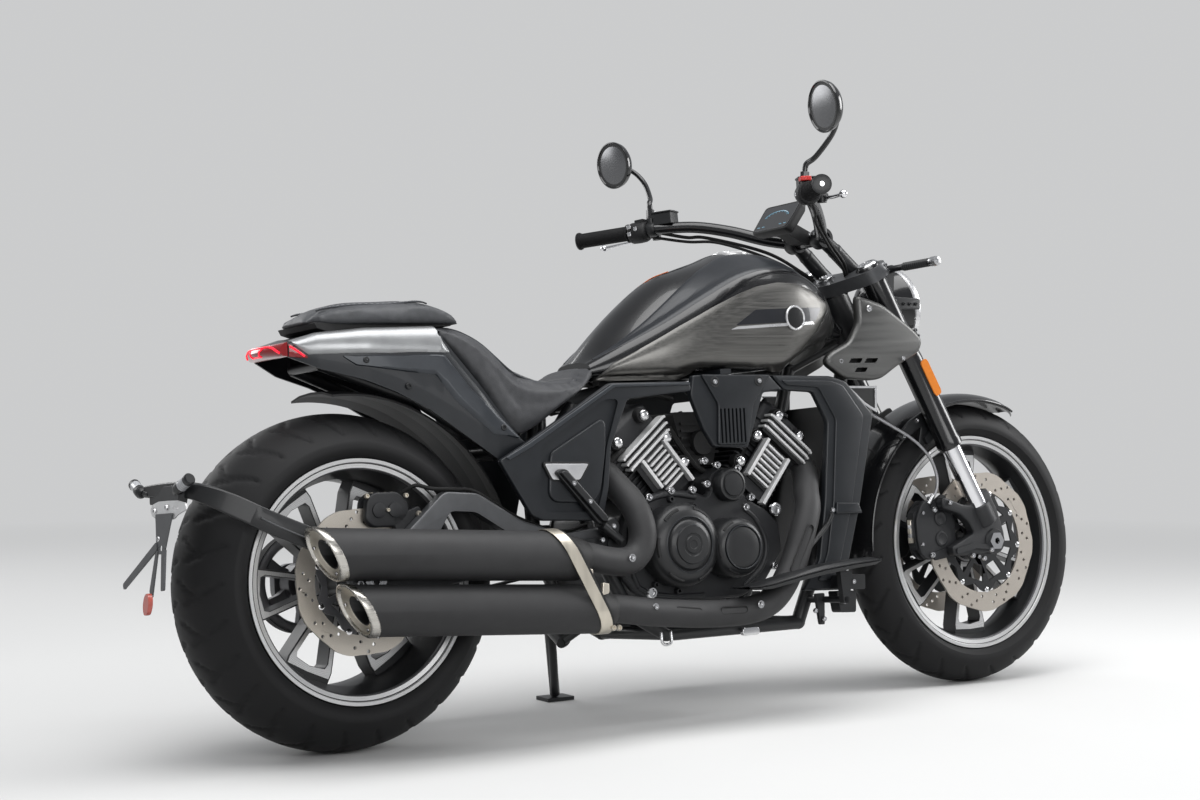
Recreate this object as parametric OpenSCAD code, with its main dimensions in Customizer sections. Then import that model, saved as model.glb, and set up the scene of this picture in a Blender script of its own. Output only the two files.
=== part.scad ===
// Power cruiser motorcycle with a V-twin engine, leaning on its side stand.
// Every module is drawn upright: X forward from the rear axle, Y to the left, Z up from the ground.
// lean_over() then tips the whole machine onto its side stand and centres it on the floor.

/* [Stance] */
// Distance between the two axles
wheelbase = 1620; // [1560:5:1680]
// Lean to the left on the side stand, in degrees
lean = 5.5; // [4.5:0.1:6.5]
// Rake of the fork, in degrees
rake = 28; // [26:0.5:31]
// Gap that lets a piece seat on its neighbour without touching
seat_gap = 0.3; // [0.2:0.05:0.5]

/* [Rear wheel] */
// Radius of the rear tyre
rear_tyre_r = 324; // [316:1:330]
// Width of the rear tyre
rear_tyre_w = 240; // [220:2:244]
// Radius of the rear tyre's crown
rear_crown_r = 146; // [130:1:160]
// Radius of the rear rim's flange
rear_rim_r = 232; // [226:1:236]
// Width over the rear rim's flanges
rear_rim_w = 224; // [204:2:228]
// Radius of the rear brake disc
rear_disc_r = 141; // [125:1:150]
// Distance of the rear brake disc from the centre plane
rear_disc_y = 112; // [108:1:114]
// Radius of the rear belt pulley
pulley_r = 95; // [85:1:105]

/* [Front wheel] */
// Radius of the front tyre
front_tyre_r = 320; // [312:1:326]
// Width of the front tyre
front_tyre_w = 130; // [120:2:134]
// Radius of the front tyre's crown
front_crown_r = 67; // [62:1:80]
// Radius of the front rim's flange
front_rim_r = 243; // [238:1:247]
// Width over the front rim's flanges
front_rim_w = 106; // [98:2:110]
// Radius of the front brake discs
front_disc_r = 160; // [150:1:165]
// Distance of each front brake disc from the centre plane
front_disc_y = 75; // [73:1:76]

/* [Wheel details] */
// Number of loop spokes in each wheel
spokes = 6; // [5:1:7]
// Width of a loop spoke where it meets the rim, in degrees
spoke_deg = 28; // [22:1:32]
// Thickness of the brake discs
disc_t = 5; // [4:0.5:6]
// Radius of the hollow axles
axle_r = 14; // [11:0.5:16]
// Radius of the bore through the axles
axle_bore_r = 7; // [5:0.5:9]

/* [Fork] */
// Radius of the fork's bright inner tubes
fork_r = 21.5; // [19:0.5:24]
// Radius of the fork's black outer tubes
fork_outer_r = 27.5; // [25:0.5:31]
// Distance of each fork leg from the centre plane
fork_y = 108; // [106:1:114]
// Distance of the fork legs ahead of the steering axis
fork_offset = 38; // [30:1:46]
// Distance of the axle behind the fork's centre line
axle_lead = 8; // [4:1:12]
// Steering angle to each side, in degrees
steer_deg = 28; // [22:1:32]

/* [Handlebar] */
// Radius of the handlebar tube
bar_r = 11; // [11:0.5:14]
// Distance of the bar ends from the centre plane
bar_end_y = 440; // [400:5:470]
// Radius of the grips
grip_r = 17; // [15:0.5:19]
// Radius of the mirror heads
mirror_r = 54; // [46:1:60]

/* [Engine] */
// Angle of each cylinder from upright, in degrees
cyl_deg = 39.5; // [36:0.5:42]
// Radius of the clutch cover
clutch_r = 85; // [78:1:88]
// Radius of the crank cover
crank_cover_r = 60; // [54:1:64]
// Half width of the crankcase
case_half_w = 140; // [130:1:144]
// Distance of the cylinder base from the crank axis
deck_d = 118; // [112:1:124]
// Number of rungs in the cylinder's fin ladder
rungs = 7; // [5:1:9]

/* [Exhaust] */
// Radius of the header pipes
header_r = 27; // [24:0.5:29]
// Radius of the silencers
muffler_r = 48; // [44:0.5:50]
// Distance of the silencers from the centre plane
muffler_y = 228; // [224:1:240]
// Wall of the silencers and header pipes
pipe_wall = 2.5; // [1.5:0.5:4]

/* [Bodywork] */
// Greatest half width of the tank
tank_half_w = 160; // [150:1:172]
// Thickness of the tank's side panels
panel_t = 5; // [3:0.5:8]
// Distance of the side covers' outer face from the centre plane
cover_y = 174; // [170:1:182]
// Thickness of the side covers
cover_t = 12; // [8:1:18]
// Greatest half width of the rider's seat
seat_half_w = 148; // [135:1:150]

/* [Side stand] */
// Angle through which the stand folds up, in degrees
stand_fold_deg = 88; // [80:1:92]
// Radius of the stand's leg
stand_r = 11; // [9:0.5:14]

/* [Hidden] */
$fn = 48;
facets = 20;
eps = 0.01;

// Stance, worked out so that both tyres and the stand's foot touch the floor.
lift = rear_crown_r * (1 - cos(lean));
front_axle_z = front_tyre_r - front_crown_r + (front_crown_r - lift) / cos(lean);
rear_axle_z = rear_tyre_r;
plate_reach = 402;
front_reach = wheelbase + front_tyre_r;
mid_x = (front_reach - plate_reach) / 2;
mirror_c = [967, 381, 1233];
bar_z = 1062;
left_reach = (mirror_c[1] + mirror_r) * cos(lean) + mirror_c[2] * sin(lean);
right_reach = (bar_end_y + 3) * cos(lean) - (bar_z - grip_r) * sin(lean);
mid_y = (left_reach - right_reach) / 2;

// Fork line: a point on the fork's centre line, s above the axle.
fork_up = [-sin(rake), 0, cos(rake)];
fork_fwd = [cos(rake), 0, sin(rake)];
fork_foot = [wheelbase, 0, front_axle_z] + axle_lead * fork_fwd;
head_foot = fork_foot - fork_offset * fork_fwd;
clamp_low_s = 520;
clamp_top_s = 684;
clamp_t = 30;

// Engine
crank = [832, 0, 342];
clutch_c = [700, 0, 353];

// Side stand, from its pivot to the middle of its foot
stand_pivot = [600, 185, 200];
stand_foot_xy = [680, 300];
stand_foot = [stand_foot_xy[0], stand_foot_xy[1],
    (stand_foot_xy[1] * sin(lean) - lift) / cos(lean)];
stand_leg = stand_foot - stand_pivot;
stand_up_dir = [-205, 45, -72];
stand_axis = cross(stand_leg, stand_up_dir) / norm(cross(stand_leg, stand_up_dir));

// Shared helpers

module lean_over() {
    translate([-mid_x, -mid_y, lift]) rotate([-lean, 0, 0]) children();
}

// Stands its children upright again at a point of the leaning machine
module level_at(p) {
    translate(p) rotate([lean, 0, 0]) children();
}

module on_both_sides() {
    children();
    mirror([0, 1, 0]) children();
}

// Turns the children's Z axis to the left, for what is round about an axle
module axle_turn(c) {
    translate(c) rotate([-90, 0, 0]) children();
}

// Extrudes an outline in X and Z between two distances from the centre plane
module side_plate(outline, y0, y1) {
    translate([0, y1, 0]) rotate([90, 0, 0]) linear_extrude(height = y1 - y0) polygon(outline);
}

// The same with its outer face stepped back all round, as moulded covers have it
module cover_plate(outline, y0, y1, edge = 3) {
    side_plate(outline, y0, y1 - edge);
    translate([0, y1, 0]) rotate([90, 0, 0]) linear_extrude(height = edge + eps)
        offset(delta = -edge) polygon(outline);
}

// Turns the children's Z axis along a direction
module along(p, d) {
    l = norm(d);
    translate(p) rotate([0, acos(d[2] / l), atan2(d[1], d[0])]) children();
}

module rod(a, b, r) {
    along(a, b - a) cylinder(r = r, h = norm(b - a));
}

// Straight tubes with a ball at every corner
module rod_path(pts, r) {
    for (i = [0 : len(pts) - 2]) rod(pts[i], pts[i + 1], r);
    if (len(pts) > 2) for (i = [1 : len(pts) - 2]) translate(pts[i]) sphere(r = r + 0.6);
}

// Smooth curve through points, as a Catmull-Rom spline with n steps a span
function spline_at(p0, p1, p2, p3, t) =
    0.5 * (2 * p1 + (p2 - p0) * t + (2 * p0 - 5 * p1 + 4 * p2 - p3) * t * t
    + (3 * p1 - p0 - 3 * p2 + p3) * t * t * t);
function spline(pts, n) = let (m = len(pts)) concat(
    [for (i = [0 : m - 2]) for (k = [0 : n - 1])
        spline_at(i == 0 ? 2 * pts[0] - pts[1] : pts[i - 1], pts[i], pts[i + 1],
            i == m - 2 ? 2 * pts[m - 1] - pts[m - 2] : pts[i + 2], k / n)],
    [pts[m - 1]]);

function unit(v) = v / norm(v);
function tangent(pts, i) =
    unit(pts[min(i + 1, len(pts) - 1)] - pts[max(i - 1, 0)]);
// Carries the first normal along the path without twist
function carried(pts, i, n) =
    i == 0 ? unit(n - (n * tangent(pts, 0)) * tangent(pts, 0))
    : let (p = carried(pts, i - 1, n), t = tangent(pts, i)) unit(p - (p * t) * t);

function total(v, i = 0) = i == len(v) - 1 ? v[i] : v[i] + total(v, i + 1);
function ring_normal(r) = total([for (j = [0 : len(r) - 1]) cross(r[j], r[(j + 1) % len(r)])]);

// Joins rings of equal count into one closed solid, whichever way round the rings run
module loft(rings) {
    n = len(rings[0]);
    m = len(rings);
    along_rings = total(rings[1]) / n - total(rings[0]) / n;
    outward = ring_normal(rings[0]) * along_rings > 0;
    faces = concat(
        [[for (j = [0 : n - 1]) j]],
        [for (i = [0 : m - 2]) for (j = [0 : n - 1])
            [i * n + j, (i + 1) * n + j, (i + 1) * n + (j + 1) % n]],
        [for (i = [0 : m - 2]) for (j = [0 : n - 1])
            [i * n + j, (i + 1) * n + (j + 1) % n, i * n + (j + 1) % n]],
        [[for (j = [n - 1 : -1 : 0]) (m - 1) * n + j]]);
    polyhedron(points = [for (r = rings) for (p = r) p],
        faces = outward ? faces : [for (f = faces) [for (k = [len(f) - 1 : -1 : 0]) f[k]]],
        convexity = 6);
}

// A round bar swept along points, its radius given at the start and the end
module sweep(pts, r, r_end = 0, sides = facets, first = [0, 1, 0]) {
    r1 = r_end == 0 ? r : r_end;
    m = len(pts) - 1;
    loft([for (i = [0 : m])
        let (t = tangent(pts, i), u = carried(pts, i, first), v = cross(t, u),
            ri = r + (r1 - r) * i / m)
        [for (j = [0 : sides - 1])
            pts[i] + ri * (cos(360 * j / sides) * v + sin(360 * j / sides) * u)]]);
}

// A hollow bent pipe that follows the points
module bent_pipe(pts, r, wall, sides = facets) {
    m = len(pts) - 1;
    difference() {
        sweep(pts, r, sides = sides);
        sweep(concat([pts[0] - unit(pts[1] - pts[0])], [for (i = [1 : m - 1]) pts[i]],
            [pts[m] + unit(pts[m] - pts[m - 1])]), r - wall, sides = sides);
    }
}

// Wheels

function crown_z(r_tyre, r_crown, y) = r_tyre - r_crown + sqrt(max(0, pow(r_crown, 2) - pow(y, 2)));

// Section of a hollow tyre: distance from the axis, then distance from the centre plane
function tyre_half(r_tyre, w, r_crown, r_rim, w_rim, wall, n = 10) =
    let (ys = w / 2 - 2, yb = w_rim / 2 - 8)
    concat(
        [for (i = [0 : n]) let (y = ys * sin(90 * i / n)) [crown_z(r_tyre, r_crown, y), y]],
        [[crown_z(r_tyre, r_crown, ys) - 9, w / 2], [(crown_z(r_tyre, r_crown, ys) + r_rim) / 2, w / 2 - 1],
            [r_rim + 3, w_rim / 2 - 2], [r_rim + 2, yb - 1], [r_rim - 9.4, yb - 1]],
        [[r_rim - 9.4, yb - wall], [r_rim + 6, yb - wall - 1],
            [crown_z(r_tyre, r_crown, ys) - 12, w / 2 - wall - 1]],
        [for (i = [n : -2 : 0]) let (y = (ys - wall) * sin(90 * i / n))
            [crown_z(r_tyre, r_crown, y) - wall - 2, y]]);

module tyre(r_tyre, w, r_crown, r_rim, w_rim, wall) {
    half = tyre_half(r_tyre, w, r_crown, r_rim, w_rim, wall);
    rotate_extrude($fn = 96) polygon(concat(half,
        [for (i = [len(half) - 2 : -1 : 1]) [half[i][0], -half[i][1]]]));
}

// Barrel of a cast rim, with flanges, bead seats and a drop centre
module rim_barrel(r, w, bead_step = 10, t = 6) {
    yf = w / 2;
    yb = yf - 8;
    well = min(yf - 34, 60);
    outer = [[r, yf], [r - 1, yb + 1], [r - bead_step, yb], [r - bead_step, yb - 16],
        [r - bead_step - 16, well], [r - bead_step - 16, -well], [r - bead_step, -yb + 16],
        [r - bead_step, -yb], [r - 1, -yb - 1], [r, -yf]];
    inner = [[r - 9, -yf], [r - bead_step - t - 3, -yb + 4], [r - bead_step - t - 3, -yb + 14],
        [r - bead_step - 16 - t, -well + 6], [r - bead_step - 16 - t, well - 6],
        [r - bead_step - t - 3, yb - 14], [r - bead_step - t - 3, yb - 4], [r - 9, yf]];
    rotate_extrude($fn = 96) polygon(concat(outer, inner));
}

// One spoke: two thin legs joined by a thick bar near the rim, open inside
module loop_spoke(r_hub, r_bar, r_end, leg, bar) {
    a = spoke_deg / 2;
    side = [sin(a), cos(a)];
    inner_x = r_bar * side[0] - leg;
    difference() {
        polygon([[-r_hub * 0.42, r_hub * 0.75], [-r_bar * side[0], r_bar * side[1]],
            [-r_end * sin(a - 1), r_end * cos(a - 1)], [0, r_end + 3],
            [r_end * sin(a - 1), r_end * cos(a - 1)], [r_bar * side[0], r_bar * side[1]],
            [r_hub * 0.42, r_hub * 0.75]]);
        polygon([[-r_hub * 0.42 + leg, r_hub + 6], [-inner_x, r_bar * side[1] - bar],
            [0, r_bar - bar], [inner_x, r_bar * side[1] - bar], [r_hub * 0.42 - leg, r_hub + 6]]);
    }
}

module cast_wheel(r, w, half_t, r_hub, hub_half, turn, r_bar) {
    difference() {
        union() {
            rim_barrel(r, w);
            for (k = [0 : spokes - 1]) rotate([0, 0, turn + 360 / spokes * k])
                translate([0, 0, -half_t]) linear_extrude(height = 2 * half_t)
                    loop_spoke(r_hub, r_bar, r - 28, 9, 15);
            cylinder(r = r_hub, h = 2 * hub_half, center = true);
        }
        cylinder(r = axle_r + 0.5, h = 4 * hub_half, center = true);
    }
}

module rear_tyre() {
    color("#1c1c1d") lean_over() axle_turn([0, 0, rear_axle_z])
        tyre(rear_tyre_r, rear_tyre_w, rear_crown_r, rear_rim_r - seat_gap, rear_rim_w, 12);
}

module front_tyre() {
    color("#1c1c1d") lean_over() axle_turn([wheelbase, 0, front_axle_z])
        tyre(front_tyre_r, front_tyre_w, front_crown_r, front_rim_r - seat_gap, front_rim_w, 9);
}

rear_hub_half = 100;
front_hub_half = 66;
hub_r = 46;

module rear_rim() {
    color("#3a3a3c") lean_over() axle_turn([0, 0, rear_axle_z])
        cast_wheel(rear_rim_r, rear_rim_w, 25, hub_r, rear_hub_half, 25.5, rear_rim_r - 46);
}

module front_rim() {
    color("#3a3a3c") lean_over() axle_turn([wheelbase, 0, front_axle_z])
        cast_wheel(front_rim_r, front_rim_w, 20, hub_r, front_hub_half, 0, front_rim_r - 38);
}

// A brake disc with a waved edge, vent holes and a carrier, drawn about Z
module wave_disc(r, waves, r_in, button_r, hub) {
    difference() {
        union() {
            linear_extrude(height = disc_t, center = true) difference() {
                polygon([for (i = [0 : waves * 12 - 1]) let (a = 360 * i / (waves * 12))
                    (r - 2.2 + 2.2 * cos(waves * a)) * [cos(a), sin(a)]]);
                circle(r = r_in, $fn = 64);
            }
            for (k = [0 : waves - 1]) rotate([0, 0, 360 * k / waves]) translate([button_r, 0, 0])
                cylinder(r = 12, h = disc_t, center = true);
            cylinder(r = button_r - 6, h = disc_t + 2, center = true);
        }
        cylinder(r = hub, h = disc_t * 4, center = true);
        for (k = [0 : waves - 1]) rotate([0, 0, 360 * (k + 0.5) / waves]) {
            translate([(r_in + r) / 2, 0, 0]) cylinder(r = 4, h = disc_t * 4, center = true);
            translate([(button_r + hub) / 2, 0, 0]) cylinder(r = 13, h = disc_t * 4, center = true);
        }
    }
}

module front_discs() {
    color("#b9b2a8") lean_over() for (s = [-1, 1])
        axle_turn([wheelbase, s * front_disc_y, front_axle_z]) {
            wave_disc(front_disc_r, 9, 122, 112, axle_r + 12);
            translate([0, 0, -s * ((front_disc_y - front_hub_half - disc_t / 2) / 2 + disc_t / 2)])
                difference() {
                    cylinder(r = hub_r, h = front_disc_y - front_hub_half - disc_t / 2 - seat_gap,
                        center = true);
                    cylinder(r = axle_r + 12, h = 60, center = true);
                }
        }
}

module rear_disc() {
    gap = rear_disc_y - rear_hub_half - disc_t / 2;
    color("#b9b2a8") lean_over() axle_turn([0, -rear_disc_y, rear_axle_z]) {
        wave_disc(rear_disc_r, 8, 108, 98, axle_r + 12);
        translate([0, 0, gap / 2 + disc_t / 2]) difference() {
            cylinder(r = hub_r, h = gap - seat_gap, center = true);
            cylinder(r = axle_r + 12, h = 60, center = true);
        }
    }
}

belt_y = 147;
belt_w = 26;

module pulley() {
    color("#4a4a4c") lean_over() axle_turn([0, belt_y, rear_axle_z]) difference() {
        union() {
            cylinder(r = pulley_r, h = belt_w + 2, center = true);
            translate([0, 0, -belt_w / 2 - 3]) cylinder(r = pulley_r + 4, h = 4, center = true);
            translate([0, 0, -(belt_y - rear_hub_half) / 2]) cylinder(r = hub_r,
                h = belt_y - rear_hub_half - 2 * seat_gap, center = true);
        }
        cylinder(r = axle_r + 0.5, h = 300, center = true);
        for (k = [0 : 5]) rotate([0, 0, 60 * k]) translate([pulley_r * 0.7, 0, 0])
            cylinder(r = 17, h = 100, center = true);
    }
}

// Rear end

module rear_axle() {
    right = 160 + seat_gap;
    color("silver") lean_over() axle_turn([0, 0, rear_axle_z]) difference() {
        union() {
            translate([0, 0, -right]) cylinder(r = axle_r, h = right + 197);
            translate([0, 0, -right - 10]) cylinder(r = axle_r + 9, h = 10, $fn = 6);
            translate([0, 0, 192 + seat_gap]) cylinder(r = axle_r + 9, h = 12, $fn = 6);
        }
        translate([0, 0, -200]) cylinder(r = axle_bore_r, h = 420);
    }
}

arm_right = [[-46, 300], [-30, 284], [60, 288], [250, 322], [520, 330], [560, 350], [560, 388],
    [520, 402], [430, 392], [330, 424], [236, 480], [162, 486], [62, 400], [-20, 362], [-46, 346]];
arm_left = [[-46, 300], [-30, 284], [60, 288], [250, 322], [520, 330], [560, 350], [560, 388],
    [520, 402], [430, 392], [200, 372], [-20, 362], [-46, 346]];

module swingarm() {
    color("#55565a") lean_over() difference() {
        union() {
            side_plate(arm_right, -160, -134);
            side_plate(arm_left, 168, 192);
            translate([368, -134 - eps, 330]) cube([54, 302 + 2 * eps, 58]);
        }
        side_plate([[120, 372], [230, 382], [300, 400], [228, 444], [172, 448]], -200, -100);
        axle_turn([0, 0, rear_axle_z]) cylinder(r = axle_r + seat_gap, h = 500, center = true);
        axle_turn([530, 0, 366]) cylinder(r = 15, h = 500, center = true);
    }
}

module rear_caliper() {
    c = [46, 0, 452];
    slot = disc_t / 2 + 3;
    color("#2b2b2d") lean_over() {
        difference() {
            union() {
                side_plate([[2, 432], [12, 484], [78, 488], [98, 448], [70, 422]], -132, -92);
                side_plate([[60, 440], [120, 462], [128, 432], [96, 400], [70, 410]],
                    -134 + seat_gap, -118);
            }
            axle_turn([0, -rear_disc_y, rear_axle_z])
                cylinder(r = rear_disc_r + 5, h = 2 * slot, center = true);
        }
        side_plate([[76, 400], [128, 432], [120, 396], [96, 380]], -134 + seat_gap - 0.01, -118);
    }
}

front_pulley = [612, 362];
front_pulley_r = 38;
belt_t = 6;
belt_gap = 5;

// Outline of the belt round both pulleys, drawn at a distance from them
function belt_line(off) =
    let (d = [front_pulley[0], front_pulley[1] - rear_axle_z], l = norm(d),
        a = atan2(d[1], d[0]), b = acos((pulley_r - front_pulley_r) / l))
    concat(
        [for (i = [0 : 20]) let (t = a + b + (360 - 2 * b) * i / 20)
            [0, rear_axle_z] + (pulley_r + off) * [cos(t), sin(t)]],
        [for (i = [0 : 16]) let (t = a - b + 2 * b * i / 16)
            front_pulley + (front_pulley_r + off) * [cos(t), sin(t)]]);

module belt() {
    color("#202022") lean_over() difference() {
        side_plate(belt_line(belt_gap + belt_t), belt_y - belt_w / 2, belt_y + belt_w / 2);
        side_plate(belt_line(belt_gap), belt_y - belt_w, belt_y + belt_w);
    }
}

// Frame

backbone = [[1318, 0, 824], [1180, 0, 782], [900, 0, 728], [512, 0, 652]];
backbone_r = 19;
rail_r = 12;
tube_r = 15;

// Height just under the backbone tube, where a piece may hang from it
function backbone_under(x) = lookup(x, [for (p = backbone) [p[0], p[2]]])
    - backbone_r / cos(10.5) - seat_gap;

module frame() {
    low_y = 118;
    pivot_half = 132;
    color("#202123") lean_over() {
        difference() {
            union() {
                on_both_sides() {
                    rod_path([[1333, 20, 800], [1222, 96, 735], [1085, 108, 262], [1040, 112, 176],
                        [690, low_y, 176], [600, 118, 226], [530, 112, 366], [505, 84, 500],
                        [520, 66, 650]], tube_r);
                    rod_path([[520, 66, 650], [430, 96, 560], [320, 96, 560], [150, 82, 668],
                        [-40, 60, 738]], rail_r);
                    rod([430, 96, 560], [430, 96, 626], 8);
                    translate([-46, 54, 738]) cube([12, 12, 53.7]);
                    translate([720, 96, 176]) cube([30, 26, 61.8]);
                }
                rod_path(backbone, backbone_r);
                rod([520, -66, 650], [520, 66, 650], 11);
                rod([690, -low_y, 176], [690, low_y, 176], 13);
                rod([1040, -112, 176], [1040, 112, 176], 13);
                rod([430, -96, 560], [430, 96, 560], 11);
                rod([320, -96, 560], [320, 96, 560], 11);
                rod([-40, -60, 738], [-40, 60, 738], 10);
                translate([630, -12, 680]) cube([20, 24, 33.7]);
                translate([990, -12, 745]) cube([20, 24, 45.7]);
                axle_turn([530, 0, 366]) {
                    cylinder(r = 26, h = 2 * pivot_half, center = true);
                    translate([0, 0, -172]) cylinder(r = 14.7, h = 372);
                }
                along(head_foot + (clamp_low_s + clamp_t / 2 + 4) * fork_up, fork_up)
                    cylinder(r = 34, h = clamp_top_s - clamp_low_s - clamp_t - 8);
                rod(stand_pivot - 14.3 * stand_axis, stand_pivot - 66 * stand_axis, 17);
                rod(stand_pivot - 60 * stand_axis, [650, low_y, 198], 12);
                rod(stand_pivot - 20 * stand_axis, stand_pivot + 18 * stand_axis, 8);
                rod(stand_pivot + 14.3 * stand_axis, stand_pivot + 20 * stand_axis, 12);
            }
            along(head_foot + clamp_low_s * fork_up, fork_up)
                cylinder(r = 20, h = clamp_top_s - clamp_low_s);
        }
    }
}

// Tank, seat and tail: stations along X give the top, the ridge, the width and the bottom

tank_top_line = [[575, 742], [642, 812], [712, 872], [780, 918], [836, 936], [904, 957],
    [954, 976], [1022, 980], [1100, 966], [1160, 934], [1210, 888], [1254, 838]];
tank_ridge_line = [[575, 738], [685, 800], [831, 880], [937, 926], [1035, 936], [1120, 914],
    [1200, 862], [1254, 818]];
tank_ridge_y = [[575, 44], [640, 78], [740, 104], [860, 114], [1040, 116], [1140, 100],
    [1200, 72], [1254, 46]];
tank_width_line = [[575, 64], [640, 104], [720, 136], [820, 154], [940, 160], [1060, 158],
    [1160, 130], [1210, 84], [1254, 56]];
tank_low_line = [[575, 708], [740, 708], [800, 716], [1000, 716], [1060, 744], [1130, 772],
    [1254, 790]];
tank_tunnel_line = [[575, 708], [700, 722], [900, 774], [1100, 812], [1254, 830]];

// Half section of the tank, from the middle of the top round to the tunnel underneath
function tank_half(x, grow = 0) =
    let (zt = lookup(x, tank_top_line), zr = lookup(x, tank_ridge_line),
        yr = lookup(x, tank_ridge_y), yw = lookup(x, tank_width_line) * tank_half_w / 160 + grow,
        zl = lookup(x, tank_low_line), zm = zl + (zr - zl) * 0.42,
        tun = lookup(x, tank_tunnel_line))
    concat(
        [for (i = [0 : 4]) let (t = i / 4) [yr * t, zr + (zt - zr) * cos(90 * t)]],
        [for (i = [1 : 4]) let (a = 90 * i / 4)
            [yr + (yw - yr) * sin(a), zm + (zr - zm) * cos(a)]],
        [for (i = [1 : 4]) let (a = 90 * i / 4)
            [yw - (yw * 0.16) * (1 - cos(a)), zm - (zm - zl) * sin(a)]],
        [[46, zl], [40, max(tun, zl + 1)]]);

tank_stations = [575, 605, 642, 690, 740, 800, 860, 920, 980, 1040, 1100, 1150, 1190, 1225, 1254];

module tank_shape() {
    loft([for (x = tank_stations) let (h = tank_half(x))
        concat([for (p = h) [x, p[0], p[1]]],
            [for (i = [len(h) - 1 : -1 : 1]) [x, -h[i][0], h[i][1]]])]);
}

filler_c = [1000, 0, 977];
filler_neck_r = 26;

module tank() {
    color("#1b1c1f") lean_over() difference() {
        tank_shape();
        translate([filler_c[0], 0, filler_c[2] - 60]) cylinder(r = filler_neck_r, h = 100);
        translate([filler_c[0] - 44, 0, filler_c[2] - 7]) cylinder(r = 52, h = 60);
        translate([filler_c[0], 0, filler_c[2] - 7]) cylinder(r = 52, h = 60);
    }
}

module filler_cap() {
    color("silver") lean_over() translate([filler_c[0], 0, filler_c[2] - 7 + seat_gap]) {
        cylinder(r = 40, h = 7);
        translate([0, 0, 7 - eps]) cylinder(r1 = 40, r2 = 35, h = 4);
        translate([34, -16, 0]) cube([14, 32, 8]);
    }
}

// Top and bottom edge of the side panel on the tank's flank
panel_top_line = [[590, 712], [612, 738], [697, 786], [832, 842], [903, 880], [971, 898],
    [1042, 900], [1096, 890], [1136, 866], [1157, 848]];
panel_low_line = [[590, 720], [760, 720], [803, 726], [980, 726], [1010, 736], [1087, 776],
    [1140, 815], [1157, 846]];
panel_stations = [605, 642, 690, 740, 800, 860, 920, 980, 1040, 1100, 1150];

// Half width of the tank's flank at a height
function flank_y(x, z) =
    let (zr = lookup(x, tank_ridge_line), yr = lookup(x, tank_ridge_y),
        yw = lookup(x, tank_width_line) * tank_half_w / 160, zl = lookup(x, tank_low_line),
        zm = zl + (zr - zl) * 0.42)
    z > zm ? yr + (yw - yr) * sin(acos(min(1, (z - zm) / (zr - zm))))
    : yw - yw * 0.16 * (1 - cos(asin(min(1, (zm - z) / (zm - zl)))));

module tank_panels() {
    n = 8;
    panel_gap = 1.6;
    color("#6c6d70") lean_over() on_both_sides() loft([for (x = panel_stations)
        let (z0 = lookup(x, panel_low_line), z1 = max(z0 + 3, lookup(x, panel_top_line)))
        concat(
            [for (i = [0 : n]) let (z = z0 + (z1 - z0) * i / n)
                [x, flank_y(x, z) + panel_gap + panel_t * sqrt(sin(180 * (i + 0.35) / (n + 0.7))), z]],
            [for (i = [n : -1 : 0]) let (z = z0 + (z1 - z0) * i / n)
                [x, flank_y(x, z) + panel_gap, z]])]);
}

seat_top_line = [[188, 812], [235, 812], [262, 806], [300, 788], [329, 765], [373, 728], [443, 700],
    [516, 702], [550, 724], [566, 742]];
seat_low_line = [[188, 800], [270, 700], [333, 606], [362, 592], [460, 648], [566, 706]];
seat_width_line = [[188, 108], [262, 128], [333, 142], [420, 148], [500, 136], [566, 92]];
seat_stations = [190, 225, 245, 262, 282, 300, 316, 332, 348, 362, 380, 400, 420, 443, 466, 490, 510,
    530, 550, 566];

// A padded section: crowned top, rounded shoulders and a flat base
function pad_ring(x, top, low, half, sag = 0, shoulder = 0.34) =
    let (h = top - low, n = 8)
    concat(
        [for (i = [-n : n]) let (t = i / n)
            [x, half * (0.80 * t + 0.20 * t * abs(t)), top - shoulder * h * pow(abs(t), 3)
                - sag * (1 - t * t)]],
        [[x, half, low + h * 0.25], [x, half * 0.94, low], [x, -half * 0.94, low],
            [x, -half, low + h * 0.25]]);

module seat() {
    color("#4c5056") lean_over() loft([for (x = seat_stations)
        pad_ring(x, lookup(x, seat_top_line), lookup(x, seat_low_line),
            lookup(x, seat_width_line) * seat_half_w / 148)]);
}

pillion_top_line = [[-70, 821], [-47, 842], [13, 856], [102, 860], [169, 866], [198, 859],
    [237, 841], [262, 814]];
pillion_low_line = [[-70, 815], [11, 813], [262, 813]];
pillion_width_line = [[-70, 46], [-47, 78], [13, 98], [102, 106], [198, 108], [237, 100], [262, 84]];
pillion_stations = [-70, -58, -40, 0, 60, 120, 169, 198, 225, 248, 262];

module pillion() {
    color("#3c3f44") lean_over() {
        loft([for (x = pillion_stations)
            pad_ring(x, lookup(x, pillion_top_line), lookup(x, pillion_low_line),
                lookup(x, pillion_width_line))]);
        side_plate([[-40, 798], [34, 804.4], [178, 806.3], [178, 816], [-40, 816]], -70, 70);
    }
}

tail_top_line = [[-112, 782], [-59, 796], [34, 804], [184, 806], [188, 780], [269, 684],
    [333, 594], [352, 580]];
tail_low_line = [[-112, 752], [-57, 726], [23, 704], [87, 679], [153, 644], [195, 614],
    [295, 545], [352, 560]];
tail_width_line = [[-112, 76], [-60, 100], [34, 122], [150, 136], [260, 150], [352, 156]];
tail_stations = [-112, -90, -57, -20, 34, 87, 153, 186, 230, 269, 300, 333, 350];

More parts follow.
